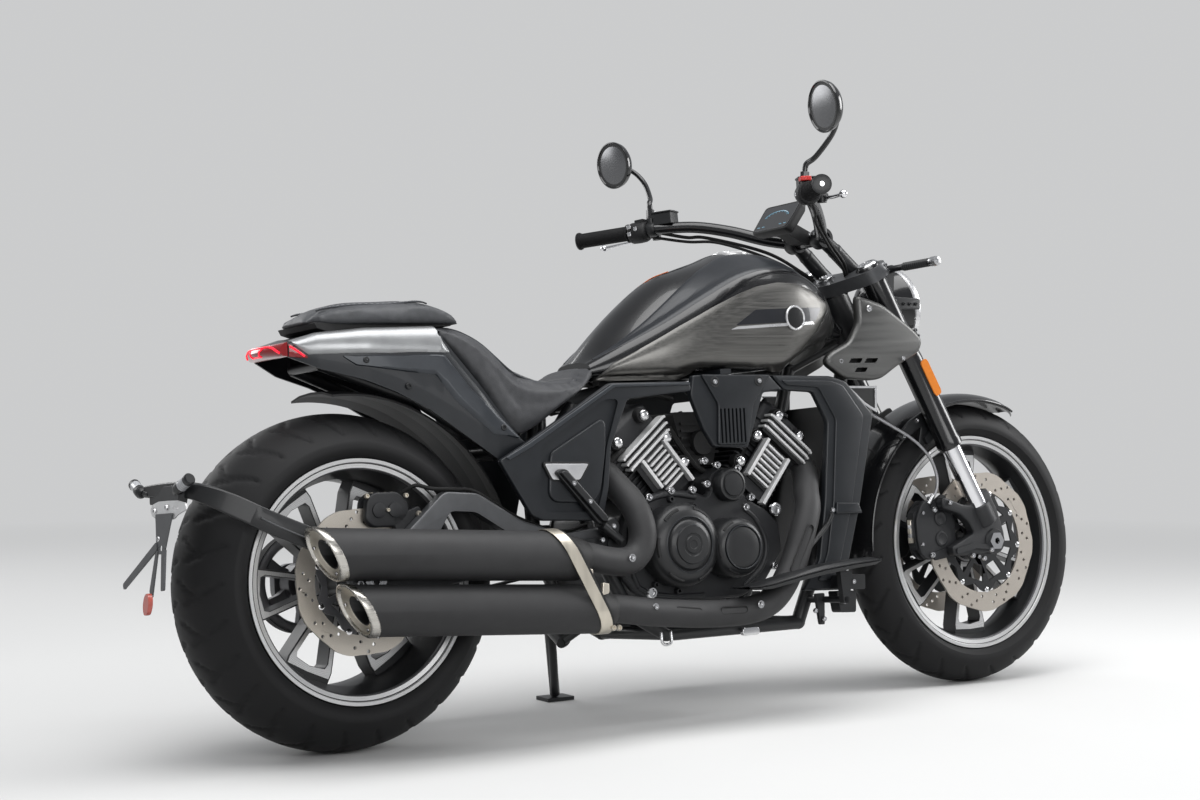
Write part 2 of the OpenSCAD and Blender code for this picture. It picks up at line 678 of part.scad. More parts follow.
// Section of the tail: flat top, rounded shoulder, upright flank and its bottom edge
function tail_flank(w, t, b, top, shoulder) = let (h = t - b)
    [[w * top, t], [w * (top + shoulder) / 2 * 1.012, t - h * 0.04], [w * shoulder, t - h * 0.14],
        [w * 0.985, t - h * 0.27], [w, t - h * 0.42], [w * 0.995, t - h * 0.72], [w * 0.97, b]];
function tail_ring(x, w, t, b, top, shoulder) = let (f = tail_flank(w, t, b, top, shoulder))
    concat([for (p = f) [x, p[0], p[1]]],
        [for (k = [len(f) - 1 : -1 : 0]) [x, -f[k][0], f[k][1]]]);

// The tail is an open-bottomed shell
module tail() {
    wall = 5;
    color("#77797c") lean_over() difference() {
        loft([for (x = tail_stations)
            let (t = lookup(x, tail_top_line), b = lookup(x, tail_low_line),
                w = lookup(x, tail_width_line))
            tail_ring(x, w, t, b, 0.80, 0.93)]);
        loft([for (x = [-106, -57, 34, 87, 153, 186, 269, 320, 360])
            let (t = lookup(x, tail_top_line) - wall, b = lookup(x, tail_low_line) - 20,
                w = lookup(x, tail_width_line) - wall)
            tail_ring(x, w, t, b, 0.78, 0.91)]);
        translate([180, -200, 400]) cube([300, 400, 600]);
    }
    color("#3a3c40") lean_over() on_both_sides()
        loft([for (x = [180 + seat_gap, 230, 269, 300, 333, 350])
            let (t = lookup(x, tail_top_line), b = lookup(x, tail_low_line),
                w = lookup(x, tail_width_line))
            [[x, w - 7, t], [x, w * 0.985, t], [x, w, t - (t - b) * 0.4], [x, w * 0.97, b],
                [x, w * 0.97 - 7, b], [x, w - 7, t - (t - b) * 0.4]]]);
}

module tail_lamp() {
    color("#c4121c") lean_over() loft([for (k = [0 : 8])
        let (y = -72 + 18 * k, c = cos(90 * y / 84), x0 = -112 - seat_gap)
        [[x0, y, 781], [x0, y, 753], [x0 - 6 - 20 * c, y, 756], [x0 - 10 - 26 * c, y, 764],
            [x0 - 6 - 22 * c, y, 776]]]);
}

module rear_fender() {
    r = 352;
    up = [320, 0, 560 - rear_axle_z];
    color("#1d1e20") lean_over() {
        axle_turn([0, 0, rear_axle_z]) rotate([0, 0, -95]) rotate_extrude(angle = 84, $fn = 96)
            polygon([[r, -88], [r + 4, -88], [r + 12, -50], [r + 15, 0], [r + 12, 50], [r + 4, 88],
                [r, 88], [r + 8, 50], [r + 11, 0], [r + 8, -50]]);
        along([0, 0, rear_axle_z] + (r + 13) * unit(up), up)
            cylinder(r = 14, h = norm(up) - 11 - seat_gap - r - 13);
    }
}

// Covers over the frame

rear_cover = [[279, 540], [342, 573], [548, 689], [745, 689], [748, 668], [585, 652],
    [540, 560], [531, 479], [500, 414], [357, 421], [346, 431]];
cover_recess = [[388, 446], [400, 548], [520, 640], [556, 640], [522, 560], [512, 478], [494, 436]];
cover_inset = [[402, 462], [410, 542], [516, 622], [534, 622], [508, 560], [498, 482], [486, 452]];
centre_v = [[757, 702], [955, 702], [992, 668], [938, 664], [890, 549], [803, 553], [778, 590],
    [748, 662]];
arch_outer = [[962, 700], [1122, 697], [1163, 686], [1236, 613], [1185, 422], [1123, 239],
    [1014, 243], [1062, 308], [1086, 430], [1106, 600], [1072, 663], [994, 668]];

module side_covers() {
    color("#2a2d31") lean_over() on_both_sides() {
        difference() {
            cover_plate(rear_cover, cover_y - cover_t, cover_y);
            side_plate(cover_recess, cover_y - 4, cover_y + 1);
        }
        side_plate(cover_inset, cover_y - 4 - eps, cover_y - 0.5);
        side_plate([[502, 564], [524, 564], [524, 586], [502, 586]], 75 + tube_r + 1.5,
            cover_y - cover_t + eps);
        side_plate([[418, 548], [442, 548], [442, 572], [418, 572]], 96 + rail_r + 0.6 + seat_gap,
            cover_y - cover_t + eps);
    }
}

module centre_covers() {
    inner = cover_y - cover_t - 6;
    color("#25272b") lean_over() on_both_sides() {
        difference() {
            cover_plate(centre_v, inner, cover_y - 1);
            for (k = [-3 : 3]) translate([846 + 11 * k, cover_y - 5, 556]) cube([4.5, 10, 84]);
        }
        translate([836, backbone_r + 0.4, 704]) cube([28, inner - backbone_r, 11]);
        translate([836, inner - 6, 690]) cube([28, 6 + eps, 25]);
    }
}

module front_arch() {
    inner = cover_y - cover_t - 4;
    color("#2a2d31") lean_over() on_both_sides() {
        cover_plate(arch_outer, inner, cover_y);
        translate([1160, 116, 552]) cube([22, inner - 115, 20]);
    }
}

scoop_line = [[1212, 869], [1228, 872], [1298, 845], [1396, 777], [1385, 749], [1320, 714],
    [1278, 685], [1159, 694], [1111, 732], [1123, 744], [1184, 771], [1217, 814]];

// The raised middle of the scoop, within its edge
scoop_flat = [[1222, 862], [1294, 834], [1378, 774], [1370, 756], [1312, 724], [1274, 698],
    [1168, 704], [1128, 732], [1196, 766], [1230, 812]];

module scoops() {
    color("#77787a") lean_over() on_both_sides() {
        difference() {
            union() {
                cover_plate(scoop_line, 160, 174, 3);
                side_plate(scoop_flat, 160, 178);
            }
            for (q = [[1190, 716], [1224, 716], [1206, 700]]) translate([q[0], 166, q[1]])
                cube([24, 20, 9]);
        }
        translate([1212, 112, 728]) cube([22, 52, 16]);
    }
}

module radiator() {
    color("#18191a") lean_over() side_plate([[1210.6, 640], [1240, 640], [1140, 290],
        [1109.2, 290]], -150, 150);
}

// Engine

module cyl_place(side) {
    translate(crank) rotate([0, side * cyl_deg, 0]) children();
}

// What a cylinder takes out of the crankcase, so that it seats in its pocket
module cyl_pocket(side) {
    cyl_place(side) translate([-78, -131, deck_d]) cube([156, 262, 200]);
}

module crankcase() {
    left_y = case_half_w - 22;
    color("#232528") lean_over() difference() {
        union() {
            axle_turn(crank) cylinder(r = 112, h = 2 * case_half_w - 20, center = true);
            axle_turn(clutch_c) translate([0, 0, -case_half_w])
                cylinder(r = clutch_r + 6, h = case_half_w + left_y - 5);
            axle_turn(crank) cylinder(r = crank_cover_r + 8, h = 2 * case_half_w, center = true);
            side_plate([[600, 300], [566, 330], [560, 350], [580, 420], [660, 442], [832, 500],
                [960, 430], [985, 330], [940, 262], [880, 236], [640, 240]], -case_half_w + 18, left_y);
            side_plate([[652, 256], [872, 256], [860, 210], [670, 210]], -90, 90);
            axle_turn([842, 0, 473]) cylinder(r = 36, h = 2 * case_half_w - 4, center = true);
            axle_turn([front_pulley[0], 0, front_pulley[1]]) {
                cylinder(r = 16, h = belt_y + belt_w / 2 + 6);
                translate([0, 0, belt_y - belt_w / 2]) cylinder(r = front_pulley_r + belt_gap - 0.6,
                    h = belt_w);
            }
        }
        cyl_pocket(-1);
        cyl_pocket(1);
    }
}

module engine_covers() {
    y = case_half_w + seat_gap;
    color("#1b1d20") lean_over() {
        mirror([0, 1, 0]) axle_turn(clutch_c) {
            difference() {
                union() {
                    translate([0, 0, y]) cylinder(r = clutch_r, h = 58);
                    translate([0, 0, y + 58 - eps]) cylinder(r1 = clutch_r - 6, r2 = clutch_r - 16,
                        h = 10);
                    translate([0, 0, y + 66]) cylinder(r = clutch_r - 32, h = 12);
                }
                for (k = [0 : 7]) rotate([0, 0, 45 * k]) translate([clutch_r - 29, -12, y + 62])
                    cube([9, 24, 20]);
            }
        }
        mirror([0, 1, 0]) axle_turn(crank) {
            translate([0, 0, y]) cylinder(r = crank_cover_r - 3, h = 66);
            translate([0, 0, y + 66 - eps]) cylinder(r1 = crank_cover_r - 8, r2 = crank_cover_r - 14,
                h = 10);
        }
        mirror([0, 1, 0]) axle_turn([842, 0, 473]) translate([0, 0, case_half_w - 2 + seat_gap]) {
            cylinder(r = 33, h = 30);
            translate([0, 0, 30 - eps]) cylinder(r = 27, h = 6);
        }
        axle_turn(crank) translate([0, 0, y]) cylinder(r = 84, h = 52);
    }
}

head_d = 276;
head_top_d = 340;

// One cylinder with its head, drawn along Z from the crank axis
module cylinder_unit() {
    base = deck_d + seat_gap;
    translate([-62, -92, base]) cube([124, 184, head_d - base]);
    for (k = [0 : rungs - 1]) translate([-70, -98, base + 14 + 20 * k]) cube([140, 196, 5]);
    translate([-76, -108, head_d - eps]) cube([152, 216, head_top_d - head_d]);
    translate([-64, -96, head_top_d - 2 * eps]) cube([128, 192, 14]);
    for (s = [-1, 1]) {
        translate([0, s * 118, 0]) {
            for (x = [-43, 35]) translate([x, -11, deck_d + 24]) cube([8, 22, 142]);
            for (k = [0 : rungs - 1]) translate([-36, -8, deck_d + 34 + 18 * k]) cube([72, 16, 6]);
            for (k = [0 : 2]) translate([-72, -11, head_d + 8 + 16 * k]) cube([144, 22, 6]);
        }
        for (q = [[-50, 330], [50, 330], [-60, 266], [60, 266]])
            translate([q[0], s * 104, q[1]]) rotate([-90 * s, 0, 0]) cylinder(r = 12, h = 22);
    }
}

module cylinder_rear() {
    color("#a9abad") lean_over() cyl_place(-1) cylinder_unit();
}

module cylinder_front() {
    color("#a9abad") lean_over() cyl_place(1) cylinder_unit();
}

module airbox() {
    color("#191a1c") lean_over() side_plate([[772, backbone_under(772)], [900, backbone_under(900)],
        [870, 600], [800, 600]], -70, 70);
}

// Exhaust

silencer_slope = 3.4;
upper_front = [385, -muffler_y, 349.7];
lower_front = [439, -muffler_y, 243.9];
upper_len = 525;
lower_len = 521;
cap_t = 5;
end_t = 9;
rear_header_path = [[600, -46, 552], [584, -72, 530], [571, -106, 506], [572, -142, 480],
    [580, -178, 446], [583, -202, 406], [579, -209, 368], [560, -211, 341], [528, -214, 331],
    [480, -220, 336], [436, -226, 345.5], [405, -228, 348.5], [378, -228, 350.1]];
front_header_path = [[1066, -46, 550], [1080, -72, 529], [1086, -98, 506], [1074, -124, 480],
    [1050, -152, 450], [1034, -174, 416], [1006, -188, 368], [966, -196, 298], [914, -203, 240],
    [850, -207, 216], [740, -210, 214], [600, -219, 226], [500, -227, 240], [459, -228, 242.7],
    [430, -228, 244.4]];

// Space that a header leaves free round the head it bolts to
module head_room(side) {
    cyl_place(side) translate([-76, -129, deck_d] - seat_gap * [1, 1, 0])
        cube([152 + 2 * seat_gap, 258 + 2 * seat_gap, head_top_d - deck_d + seat_gap]);
}

module header_rear() {
    color("#2c2c2e") lean_over() difference() {
        bent_pipe(spline(rear_header_path, 2), header_r, pipe_wall, sides = 16);
        head_room(-1);
    }
}

module header_front() {
    color("#2c2c2e") lean_over() difference() {
        bent_pipe(spline(front_header_path, 2), header_r, pipe_wall, sides = 16);
        head_room(1);
    }
}

// Turns Z along a silencer, towards the rear, with X upwards
module silencer_turn(front) {
    translate(front) rotate([0, -90 + silencer_slope, 0]) children();
}

// The slab between two slanted cuts across a silencer
module slanted(d, a, t) {
    translate([0, 0, d]) rotate([0, a, 0]) translate([-120, -120, 0]) cube([240, 240, t]);
}

// A silencer is open behind, and closed in front round the header
module silencer(front, l) {
    silencer_turn(front) {
        difference() {
            translate([0, 0, -40]) cylinder(r = muffler_r, h = l + 80);
            translate([0, 0, -60]) cylinder(r = muffler_r - pipe_wall, h = l + 160);
            slanted(-140, -28, 140);
            slanted(l - end_t, -30, 140);
        }
        intersection() {
            translate([0, 0, -40]) difference() {
                cylinder(r = muffler_r - pipe_wall + eps, h = 100);
                translate([0, 0, -eps]) cylinder(r = header_r + seat_gap, h = 110);
            }
            slanted(6, -28, cap_t);
        }
    }
}

// The end ring, dished towards its outlet
module silencer_end(front, l) {
    silencer_turn(front) difference() {
        intersection() {
            translate([0, 0, l - 60]) cylinder(r = muffler_r + 1, h = 120);
            slanted(l - end_t + seat_gap, -30, end_t);
        }
        intersection() {
            translate([0, 0, l - 60]) cylinder(r = muffler_r - 5, h = 140);
            slanted(l - end_t + 4, -30, 140);
        }
        translate([0, 0, l - 80]) cylinder(r = muffler_r * 0.56, h = 160);
    }
}

module silencers() {
    color("#2a2a2b") lean_over() {
        silencer(upper_front, upper_len);
        silencer(lower_front, lower_len);
    }
}

module silencer_ends() {
    color("#a9a9ab") lean_over() {
        silencer_end(upper_front, upper_len);
        silencer_end(lower_front, lower_len);
    }
}

// Slanted bands round both silencers, with a hanger to the swingarm pivot
module strap() {
    color("#a79f8c") lean_over() {
        for (f = [upper_front, lower_front]) silencer_turn(f) difference() {
            intersection() {
                translate([0, 0, -40]) cylinder(r = muffler_r + 3, h = 120);
                slanted(3, -28, 26);
            }
            translate([0, 0, -60]) cylinder(r = muffler_r + seat_gap, h = 160);
        }
        side_plate([[366, 364], [390, 376], [540, 384], [550, 362], [530, 346], [452, 300],
            [448, 246], [420, 238]], -muffler_y + muffler_r + 1, -172 - seat_gap);
    }
}

module plate_holder() {
    color("#232427") lean_over() {
        side_plate([[-402, 330], [-394, 330], [-350, 512], [-358, 512]], -70, 70);
        sweep(spline([[40, -169.3, 352], [-60, -169.3, 382], [-200, -158, 440], [-300, -120, 490],
            [-334, -60, 504], [-340, 0, 506]], 2), 9, 14, 12);
    }
}

module rear_indicators() {
    color("#303134") lean_over() on_both_sides() {
        rod([-356, 70.3, 498], [-356, 90, 498], 6);
        rod([-354, 84, 500], [-342, 136, 524], 11);
    }
}

module pillion_pegs() {
    color("#1f2022") lean_over() on_both_sides()
        side_plate([[400, 512], [424, 520], [520, 420], [500, 408]], cover_y + seat_gap, cover_y + 24);
}

module foot_controls() {
    color("#2c2d2f") lean_over() on_both_sides() {
        side_plate([[799, 262], [960, 292], [1150, 306], [1158, 300], [1150, 290], [930, 270],
            [850, 254]], 226, 262);
        rod([1064, 125.6, 222], [1064, 246, 222], 7);
        translate([1058, 238, 214]) cube([12, 12, 76]);
    }
}

// The stand's foot lies flat on the floor
module side_stand() {
    color("#2e2f31") lean_over() {
        difference() {
            union() {
                rod(stand_pivot, stand_foot + [0, 0, 14], stand_r);
                along(stand_pivot - 14 * stand_axis, stand_axis) cylinder(r = 20, h = 28);
            }
            along(stand_pivot - 40 * stand_axis, stand_axis) cylinder(r = 8.3, h = 80);
        }
        level_at(stand_foot) translate([-34, -24, 0]) cube([68, 48, 8]);
    }
}

// Steering

module fork_legs() {
    color("#1c1d1f") lean_over() on_both_sides() {
        along(fork_foot + [0, fork_y, 0] + 250 * fork_up, fork_up)
            cylinder(r = fork_outer_r, h = clamp_top_s + 22 - 250);
    }
}

module fork_tubes() {
    color("#c9c9cb") lean_over() on_both_sides() difference() {
        union() {
            along(fork_foot + [0, fork_y, 0] + 60 * fork_up, fork_up)
                cylinder(r = fork_r, h = 190 - seat_gap);
            side_plate([[1560, 420], [1606, 444], [1656, 330], [1650, 300], [1600, 296],
                [1500, 300], [1492, 318], [1560, 340], [1530, 384], [1470, 402], [1474, 424]],
                fork_y - 14, fork_y + 12);
        }
        axle_turn([wheelbase, 0, front_axle_z]) cylinder(r = axle_r + seat_gap, h = 400,
            center = true);
    }
}

module front_axle() {
    color("silver") lean_over() axle_turn([wheelbase, 0, front_axle_z]) difference() {
        union() {
            cylinder(r = axle_r, h = 2 * fork_y + 36, center = true);
            translate([0, 0, fork_y + 12 + seat_gap]) cylinder(r = axle_r + 7, h = 8, $fn = 6);
            translate([0, 0, -fork_y - 20 - seat_gap]) cylinder(r = axle_r + 7, h = 8, $fn = 6);
        }
        cylinder(r = axle_bore_r, h = 400, center = true);
    }
}

module clamp_plate(s) {
    translate(head_foot + s * fork_up) rotate([0, -rake, 0]) linear_extrude(height = clamp_t,
        center = true) difference() {
            union() {
                hull() {
                    circle(r = 34);
                    translate([fork_offset, fork_y]) circle(r = fork_outer_r + 7);
                }
                hull() {
                    circle(r = 34);
                    translate([fork_offset, -fork_y]) circle(r = fork_outer_r + 7);
                }
            }
            for (k = [-1, 1]) translate([fork_offset, k * fork_y])
                circle(r = fork_outer_r + seat_gap);
        }
}

module triple_clamps() {
    color("#1f2022") lean_over() {
        clamp_plate(clamp_low_s);
        clamp_plate(clamp_top_s);
        along(head_foot + clamp_low_s * fork_up, fork_up)
            cylinder(r = 19.7, h = clamp_top_s - clamp_low_s);
    }
}

bar_bend = [[1222, 40, 1012], [1180, 96, 1026], [1122, 156, 1052], [1064, 210, 1068],
    [1000, 264, 1070]];
bar_end = [903, bar_end_y, bar_z];
bar_run = unit(bar_bend[4] - bar_end);

module handlebar() {
    color("#1b1c1e") lean_over() {
        sweep(concat([for (i = [4 : -1 : 0]) [bar_bend[i][0], -bar_bend[i][1], bar_bend[i][2]]],
            bar_bend), bar_r, sides = 16, first = [0, 0, 1]);
        on_both_sides() {
            rod(bar_bend[4], bar_end, bar_r);
            difference() {
                union() {
                    rod([1330, 52, 920], [1256, 50, 984], 17);
                    rod([1256, 50, 984], [1222, 46, 1012], 16);
                    translate([1256, 50, 984]) sphere(r = 17.5);
                }
                translate(head_foot + (clamp_top_s + clamp_t / 2 + seat_gap) * fork_up)
                    rotate([0, -rake, 0]) translate([-200, -200, -200]) cube([400, 400, 200]);
            }
        }
    }
}

module bar_controls() {
    bore = bar_r + seat_gap;
    color("#161719") lean_over() on_both_sides() {
        along(bar_end - bar_run * 3, bar_run) difference() {
            union() {
                cylinder(r = grip_r, h = 130);
                translate([0, 0, -2]) cylinder(r = grip_r + 3, h = 5);
                translate([0, 0, 134]) cylinder(r = grip_r + 4, h = 44);
                translate([0, 0, 181]) cylinder(r = grip_r, h = 16);
            }
            translate([0, 0, 3 - seat_gap]) cylinder(r = bore, h = 240);
        }
        rod_path([bar_end + bar_run * 186 + [18, 0, 0], bar_end + bar_run * 176 + [44, 0, -12],
            [1056, 300, 1040], [1036, 410, 1028]], 6);
        translate([1036, 410, 1028]) sphere(r = 9);
    }
}

module mirrors() {
    foot = bar_end + bar_run * 186;
    color("#1a1b1c") lean_over() on_both_sides() {
        difference() {
            sweep(spline([foot + [0, 0, 10], foot + [8, 4, 34], [1020, 296, 1130], [1036, 330, 1172],
                [1018, 370, 1212], [986, 380, 1230]], 2), 6, 5, sides = 10);
            along(foot - bar_run * 20, bar_run) cylinder(r = grip_r + seat_gap, h = 40);
        }
        along(mirror_c, [-1, -0.12, -0.12]) translate([0, 0, -22]) cylinder(r1 = mirror_r - 14,
            r2 = mirror_r, h = 22);
    }
}

module dash() {
    color("#101113") lean_over() {
        translate([1146, 0, 1056]) rotate([0, -52, 0])
            translate([-40, -66, -12]) cube([80, 132, 24]);
        difference() {
            side_plate([[1128, 1036], [1150, 1060], [1226, 1020], [1222, 1008]], -20, 20);
            translate([1222, 0, 1012]) rotate([90, 0, 0]) cylinder(r = bar_r + 0.5, h = 80, center = true);
        }
    }
}

module headlight() {
    color("#202123") lean_over() {
        translate([1455, 0, 862]) rotate([0, 84, 0]) rotate_extrude()
            polygon([[0, -82], [40, -76], [70, -56], [88, -22], [94, 0], [90, 6], [60, 20], [0, 26]]);
        on_both_sides() difference() {
            union() {
                side_plate([[1340, 846], [1452, 850], [1452, 874], [1340, 880]], 92, 104);
                translate([1428, 76, 852]) cube([24, 20, 20]);
            }
            along(fork_foot + [0, fork_y, 0], fork_up) cylinder(r = fork_outer_r + seat_gap, h = 900);
        }
    }
}

module front_fender() {
    r = front_tyre_r + 20;
    color("#1d1e20") lean_over() axle_turn([wheelbase, 0, front_axle_z]) rotate([0, 0, -184])
        rotate_extrude(angle = 121, $fn = 96)
            polygon([[r - 22, -72], [r - 19, -74], [r - 2, -52], [r + 4, 0], [r - 2, 52], [r - 19, 74],
                [r - 22, 72], [r - 6, 50], [r, 0], [r - 6, -50]]);
    color("#1d1e20") lean_over() on_both_sides() axle_turn([1476.5, 72.5, 604])
        cylinder(r = 12, h = fork_y - fork_outer_r - seat_gap - 72.5);
}

module front_indicators() {
    color("#202123") lean_over() on_both_sides() {
        rod([1362, 94, 938], [1362, 272, 938], 10);
        difference() {
            side_plate([[1338, 886], [1368, 886], [1374, 946], [1353, 946], [1353, 924], [1338, 908]],
                98, 112);
            along(fork_foot + [0, fork_y, 0], fork_up) cylinder(r = fork_outer_r + seat_gap, h = 900);
        }
    }
}

module front_calipers() {
    slot = disc_t / 2 + 4;
    color("#222325") lean_over() on_both_sides() difference() {
        side_plate([[1462, 300], [1458, 396], [1500, 404], [1530, 380], [1528, 312], [1500, 296]],
            54, fork_y - 14 - seat_gap);
        axle_turn([wheelbase, front_disc_y, front_axle_z])
            cylinder(r = front_disc_r + 5, h = 2 * slot, center = true);
    }
}

frame();
tank();
tank_panels();
filler_cap();
seat();
pillion();
tail();
tail_lamp();
rear_fender();
side_covers();
centre_covers();
front_arch();
scoops();
radiator();
crankcase();
engine_covers();
cylinder_rear();
cylinder_front();
airbox();
header_rear();
header_front();
silencers();
silencer_ends();
strap();
swingarm();
rear_axle();
rear_caliper();
belt();
plate_holder();
rear_indicators();
pillion_pegs();
foot_controls();
side_stand();
rear_rim();
rear_tyre();
rear_disc();
pulley();
triple_clamps();
fork_legs();
fork_tubes();
handlebar();
bar_controls();
mirrors();
dash();
headlight();
front_fender();
front_indicators();
front_axle();
front_calipers();
front_rim();
front_tyre();
front_discs();
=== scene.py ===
# Studio look of the power cruiser: every piece is drawn in the upright machine's own
# millimetres (x forward from the rear axle, y to the left, z up) and leaned with it.
import math
import random

import bmesh
import bpy
from mathutils import Matrix, Vector, noise
from mathutils.geometry import tessellate_polygon


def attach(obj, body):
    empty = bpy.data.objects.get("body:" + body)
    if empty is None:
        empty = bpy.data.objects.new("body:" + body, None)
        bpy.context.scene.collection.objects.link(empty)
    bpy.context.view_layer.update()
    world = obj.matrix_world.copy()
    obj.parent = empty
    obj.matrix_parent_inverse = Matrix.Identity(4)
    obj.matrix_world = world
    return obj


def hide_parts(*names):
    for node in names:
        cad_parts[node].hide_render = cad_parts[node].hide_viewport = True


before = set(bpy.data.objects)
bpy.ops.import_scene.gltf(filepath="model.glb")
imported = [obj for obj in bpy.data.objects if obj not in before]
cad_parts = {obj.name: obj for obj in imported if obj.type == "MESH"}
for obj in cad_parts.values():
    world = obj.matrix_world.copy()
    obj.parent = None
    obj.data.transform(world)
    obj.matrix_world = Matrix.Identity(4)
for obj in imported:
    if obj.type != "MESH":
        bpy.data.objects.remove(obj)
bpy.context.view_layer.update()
print("stage: frame loaded")

# stance
stance = {
    "wheelbase": 1620.0,
    "lean": 5.5,
    "rake": 28.0,
    "rearTyreR": 324.0,
    "frontTyreR": 320.0,
    "rearCrownR": 146.0,
    "frontCrownR": 67.0,
    "axleLead": 8.0,
    "headOffset": 38.0,
    "midX": 769.0,
    "midY": 105.18673,
}
leanRad = math.radians(stance["lean"])
rakeRad = math.radians(stance["rake"])
lift = stance["rearCrownR"] * (1 - math.cos(leanRad))
frontAxleZ = stance["frontTyreR"] - stance["frontCrownR"] + (stance["frontCrownR"] - lift) / math.cos(leanRad)
rearAxle = Vector((0, 0, stance["rearTyreR"]))
frontAxle = Vector((stance["wheelbase"], 0, frontAxleZ))
leanTurn = Matrix.Rotation(-leanRad, 4, "X")
toFrame = (Matrix.Translation((-stance["midX"] / 1000, -stance["midY"] / 1000, lift / 1000))
           @ leanTurn @ Matrix.Scale(0.001, 4))
forkUp = Vector((-math.sin(rakeRad), 0, math.cos(rakeRad)))
forkFwd = Vector((math.cos(rakeRad), 0, math.sin(rakeRad)))
forkFoot = frontAxle + stance["axleLead"] * forkFwd
headFoot = forkFoot - stance["headOffset"] * forkFwd


# camera first
cameraSpot = {"place": (-2015.9, -3858.2, 792.1), "yaw": 34.083, "pitch": 1.567, "lens": 68.13}
camData = bpy.data.cameras.new("camera")
camera = bpy.data.objects.new("camera", camData)
bpy.context.scene.collection.objects.link(camera)
camData.sensor_width = 36.0
camData.lens = cameraSpot["lens"]
camData.clip_start, camData.clip_end = 0.05, 200
camera.location = ((cameraSpot["place"][0] - stance["midX"]) / 1000,
                   (cameraSpot["place"][1] - stance["midY"]) / 1000, cameraSpot["place"][2] / 1000)
camYaw, camPitch = math.radians(cameraSpot["yaw"]), math.radians(cameraSpot["pitch"])
camLook = Vector((math.sin(camYaw) * math.cos(camPitch), math.cos(camYaw) * math.cos(camPitch),
                  -math.sin(camPitch)))
camera.rotation_mode = "QUATERNION"
camera.rotation_quaternion = camLook.to_track_quat("-Z", "Y")
bpy.context.scene.camera = camera


# shader sockets as numbers
class Wire:
    def __init__(self, shop, socket):
        self.shop, self.socket = shop, socket

    def maths(self, operation, *others):
        return self.shop.node("ShaderNodeMath", {"operation": operation}, [self, *others])

    def __add__(self, other):
        return self.maths("ADD", other)

    def __sub__(self, other):
        return self.maths("SUBTRACT", other)

    def __mul__(self, other):
        return self.maths("MULTIPLY", other)

    def __truediv__(self, other):
        return self.maths("DIVIDE", other)

    def __pow__(self, other):
        return self.maths("POWER", other)

    def __gt__(self, other):
        return self.maths("GREATER_THAN", other)

    def __lt__(self, other):
        return self.maths("LESS_THAN", other)

    def __rsub__(self, other):
        return self.shop.node("ShaderNodeMath", {"operation": "SUBTRACT"}, [other, self])

    def __abs__(self):
        return self.maths("ABSOLUTE")

    __radd__ = __add__
    __rmul__ = __mul__


class Finish:
    # one material: a Principled shader whose varying inputs are written as expressions
    def __init__(self, name, colour, roughness, metallic=0.0, coat=0.0, coatRoughness=0.04, shine=0.4):
        self.material = bpy.data.materials.new(name)
        self.material.use_nodes = True
        self.tree = self.material.node_tree
        self.shader = self.tree.nodes["Principled BSDF"]
        self.material.diffuse_color = (*colour, 1)
        self.put("Base Color", (*colour, 1))
        self.put("Roughness", roughness)
        self.put("Metallic", metallic)
        self.put("Coat Weight", coat)
        self.put("Coat Roughness", coatRoughness)
        self.put("Specular IOR Level", shine)

    def put(self, name, value):
        if isinstance(value, Wire):
            self.tree.links.new(value.socket, self.shader.inputs[name])
        else:
            self.shader.inputs[name].default_value = value
        return self

    def node(self, kind, settings=None, values=(), out=0):
        made = self.tree.nodes.new(kind)
        for key, value in (settings or {}).items():
            if key == "stops":
                ramp = made.color_ramp.elements
                for i, (spot, shade) in enumerate(value):
                    stop = ramp[i] if i < 2 else ramp.new(spot)
                    stop.position, stop.color = spot, shade
            else:
                setattr(made, key, value)
        pairs = values.items() if isinstance(values, dict) else enumerate(values)
        for key, value in pairs:
            if isinstance(value, Wire):
                self.tree.links.new(value.socket, made.inputs[key])
            elif value is not None:
                made.inputs[key].default_value = value
        return Wire(self, made.outputs[out])

    def place(self):
        return self.node("ShaderNodeTexCoord", out="Object")

    def noise(self, scale, detail=2.0, stretch=(1, 1, 1)):
        spot = self.node("ShaderNodeVectorMath", {"operation": "MULTIPLY"}, [self.place(), stretch])
        return self.node("ShaderNodeTexNoise", None, {"Vector": spot, "Scale": scale, "Detail": detail})

    def cells(self, scale, feature="F1"):
        return self.node("ShaderNodeTexVoronoi", {"feature": feature},
                         {"Vector": self.place(), "Scale": scale})

    def mix(self, mask, first, second):
        return self.node("ShaderNodeMix", {"data_type": "RGBA"}, {0: mask, 6: first, 7: second}, out=2)

    def span(self, value, low, high):
        return self.node("ShaderNodeMapRange", None, {"Value": value, "From Min": low, "From Max": high})

    def step(self, value, edge, soft=0.0004):
        return self.span(value, edge - soft, edge + soft)

    def relief(self, height, strength=0.3, distance=0.001):
        return self.put("Normal", self.node("ShaderNodeBump", None,
                                            {"Strength": strength, "Distance": distance, "Height": height}))

def shade(r, g, b):
    return (r, g, b, 1)


def makePaint(name, colour, roughness, coat=0.0, metallic=0.0, grain=0.0, grainScale=900, mottle=0.06):
    paint = Finish(name, colour, roughness, metallic, coat)
    cloud = paint.noise(9, 3)
    fine = paint.noise(grainScale, 2)
    paint.put("Roughness", (cloud - 0.5) * (mottle * 3) + roughness)
    lighter = tuple(c * 1.22 + 0.001 for c in colour)
    paint.put("Base Color", paint.mix(paint.span(paint.noise(34, 4), 0.3, 0.75), shade(*colour),
                                      shade(*lighter)))
    if grain:
        paint.relief(fine, grain, 0.0006)
    return paint.material


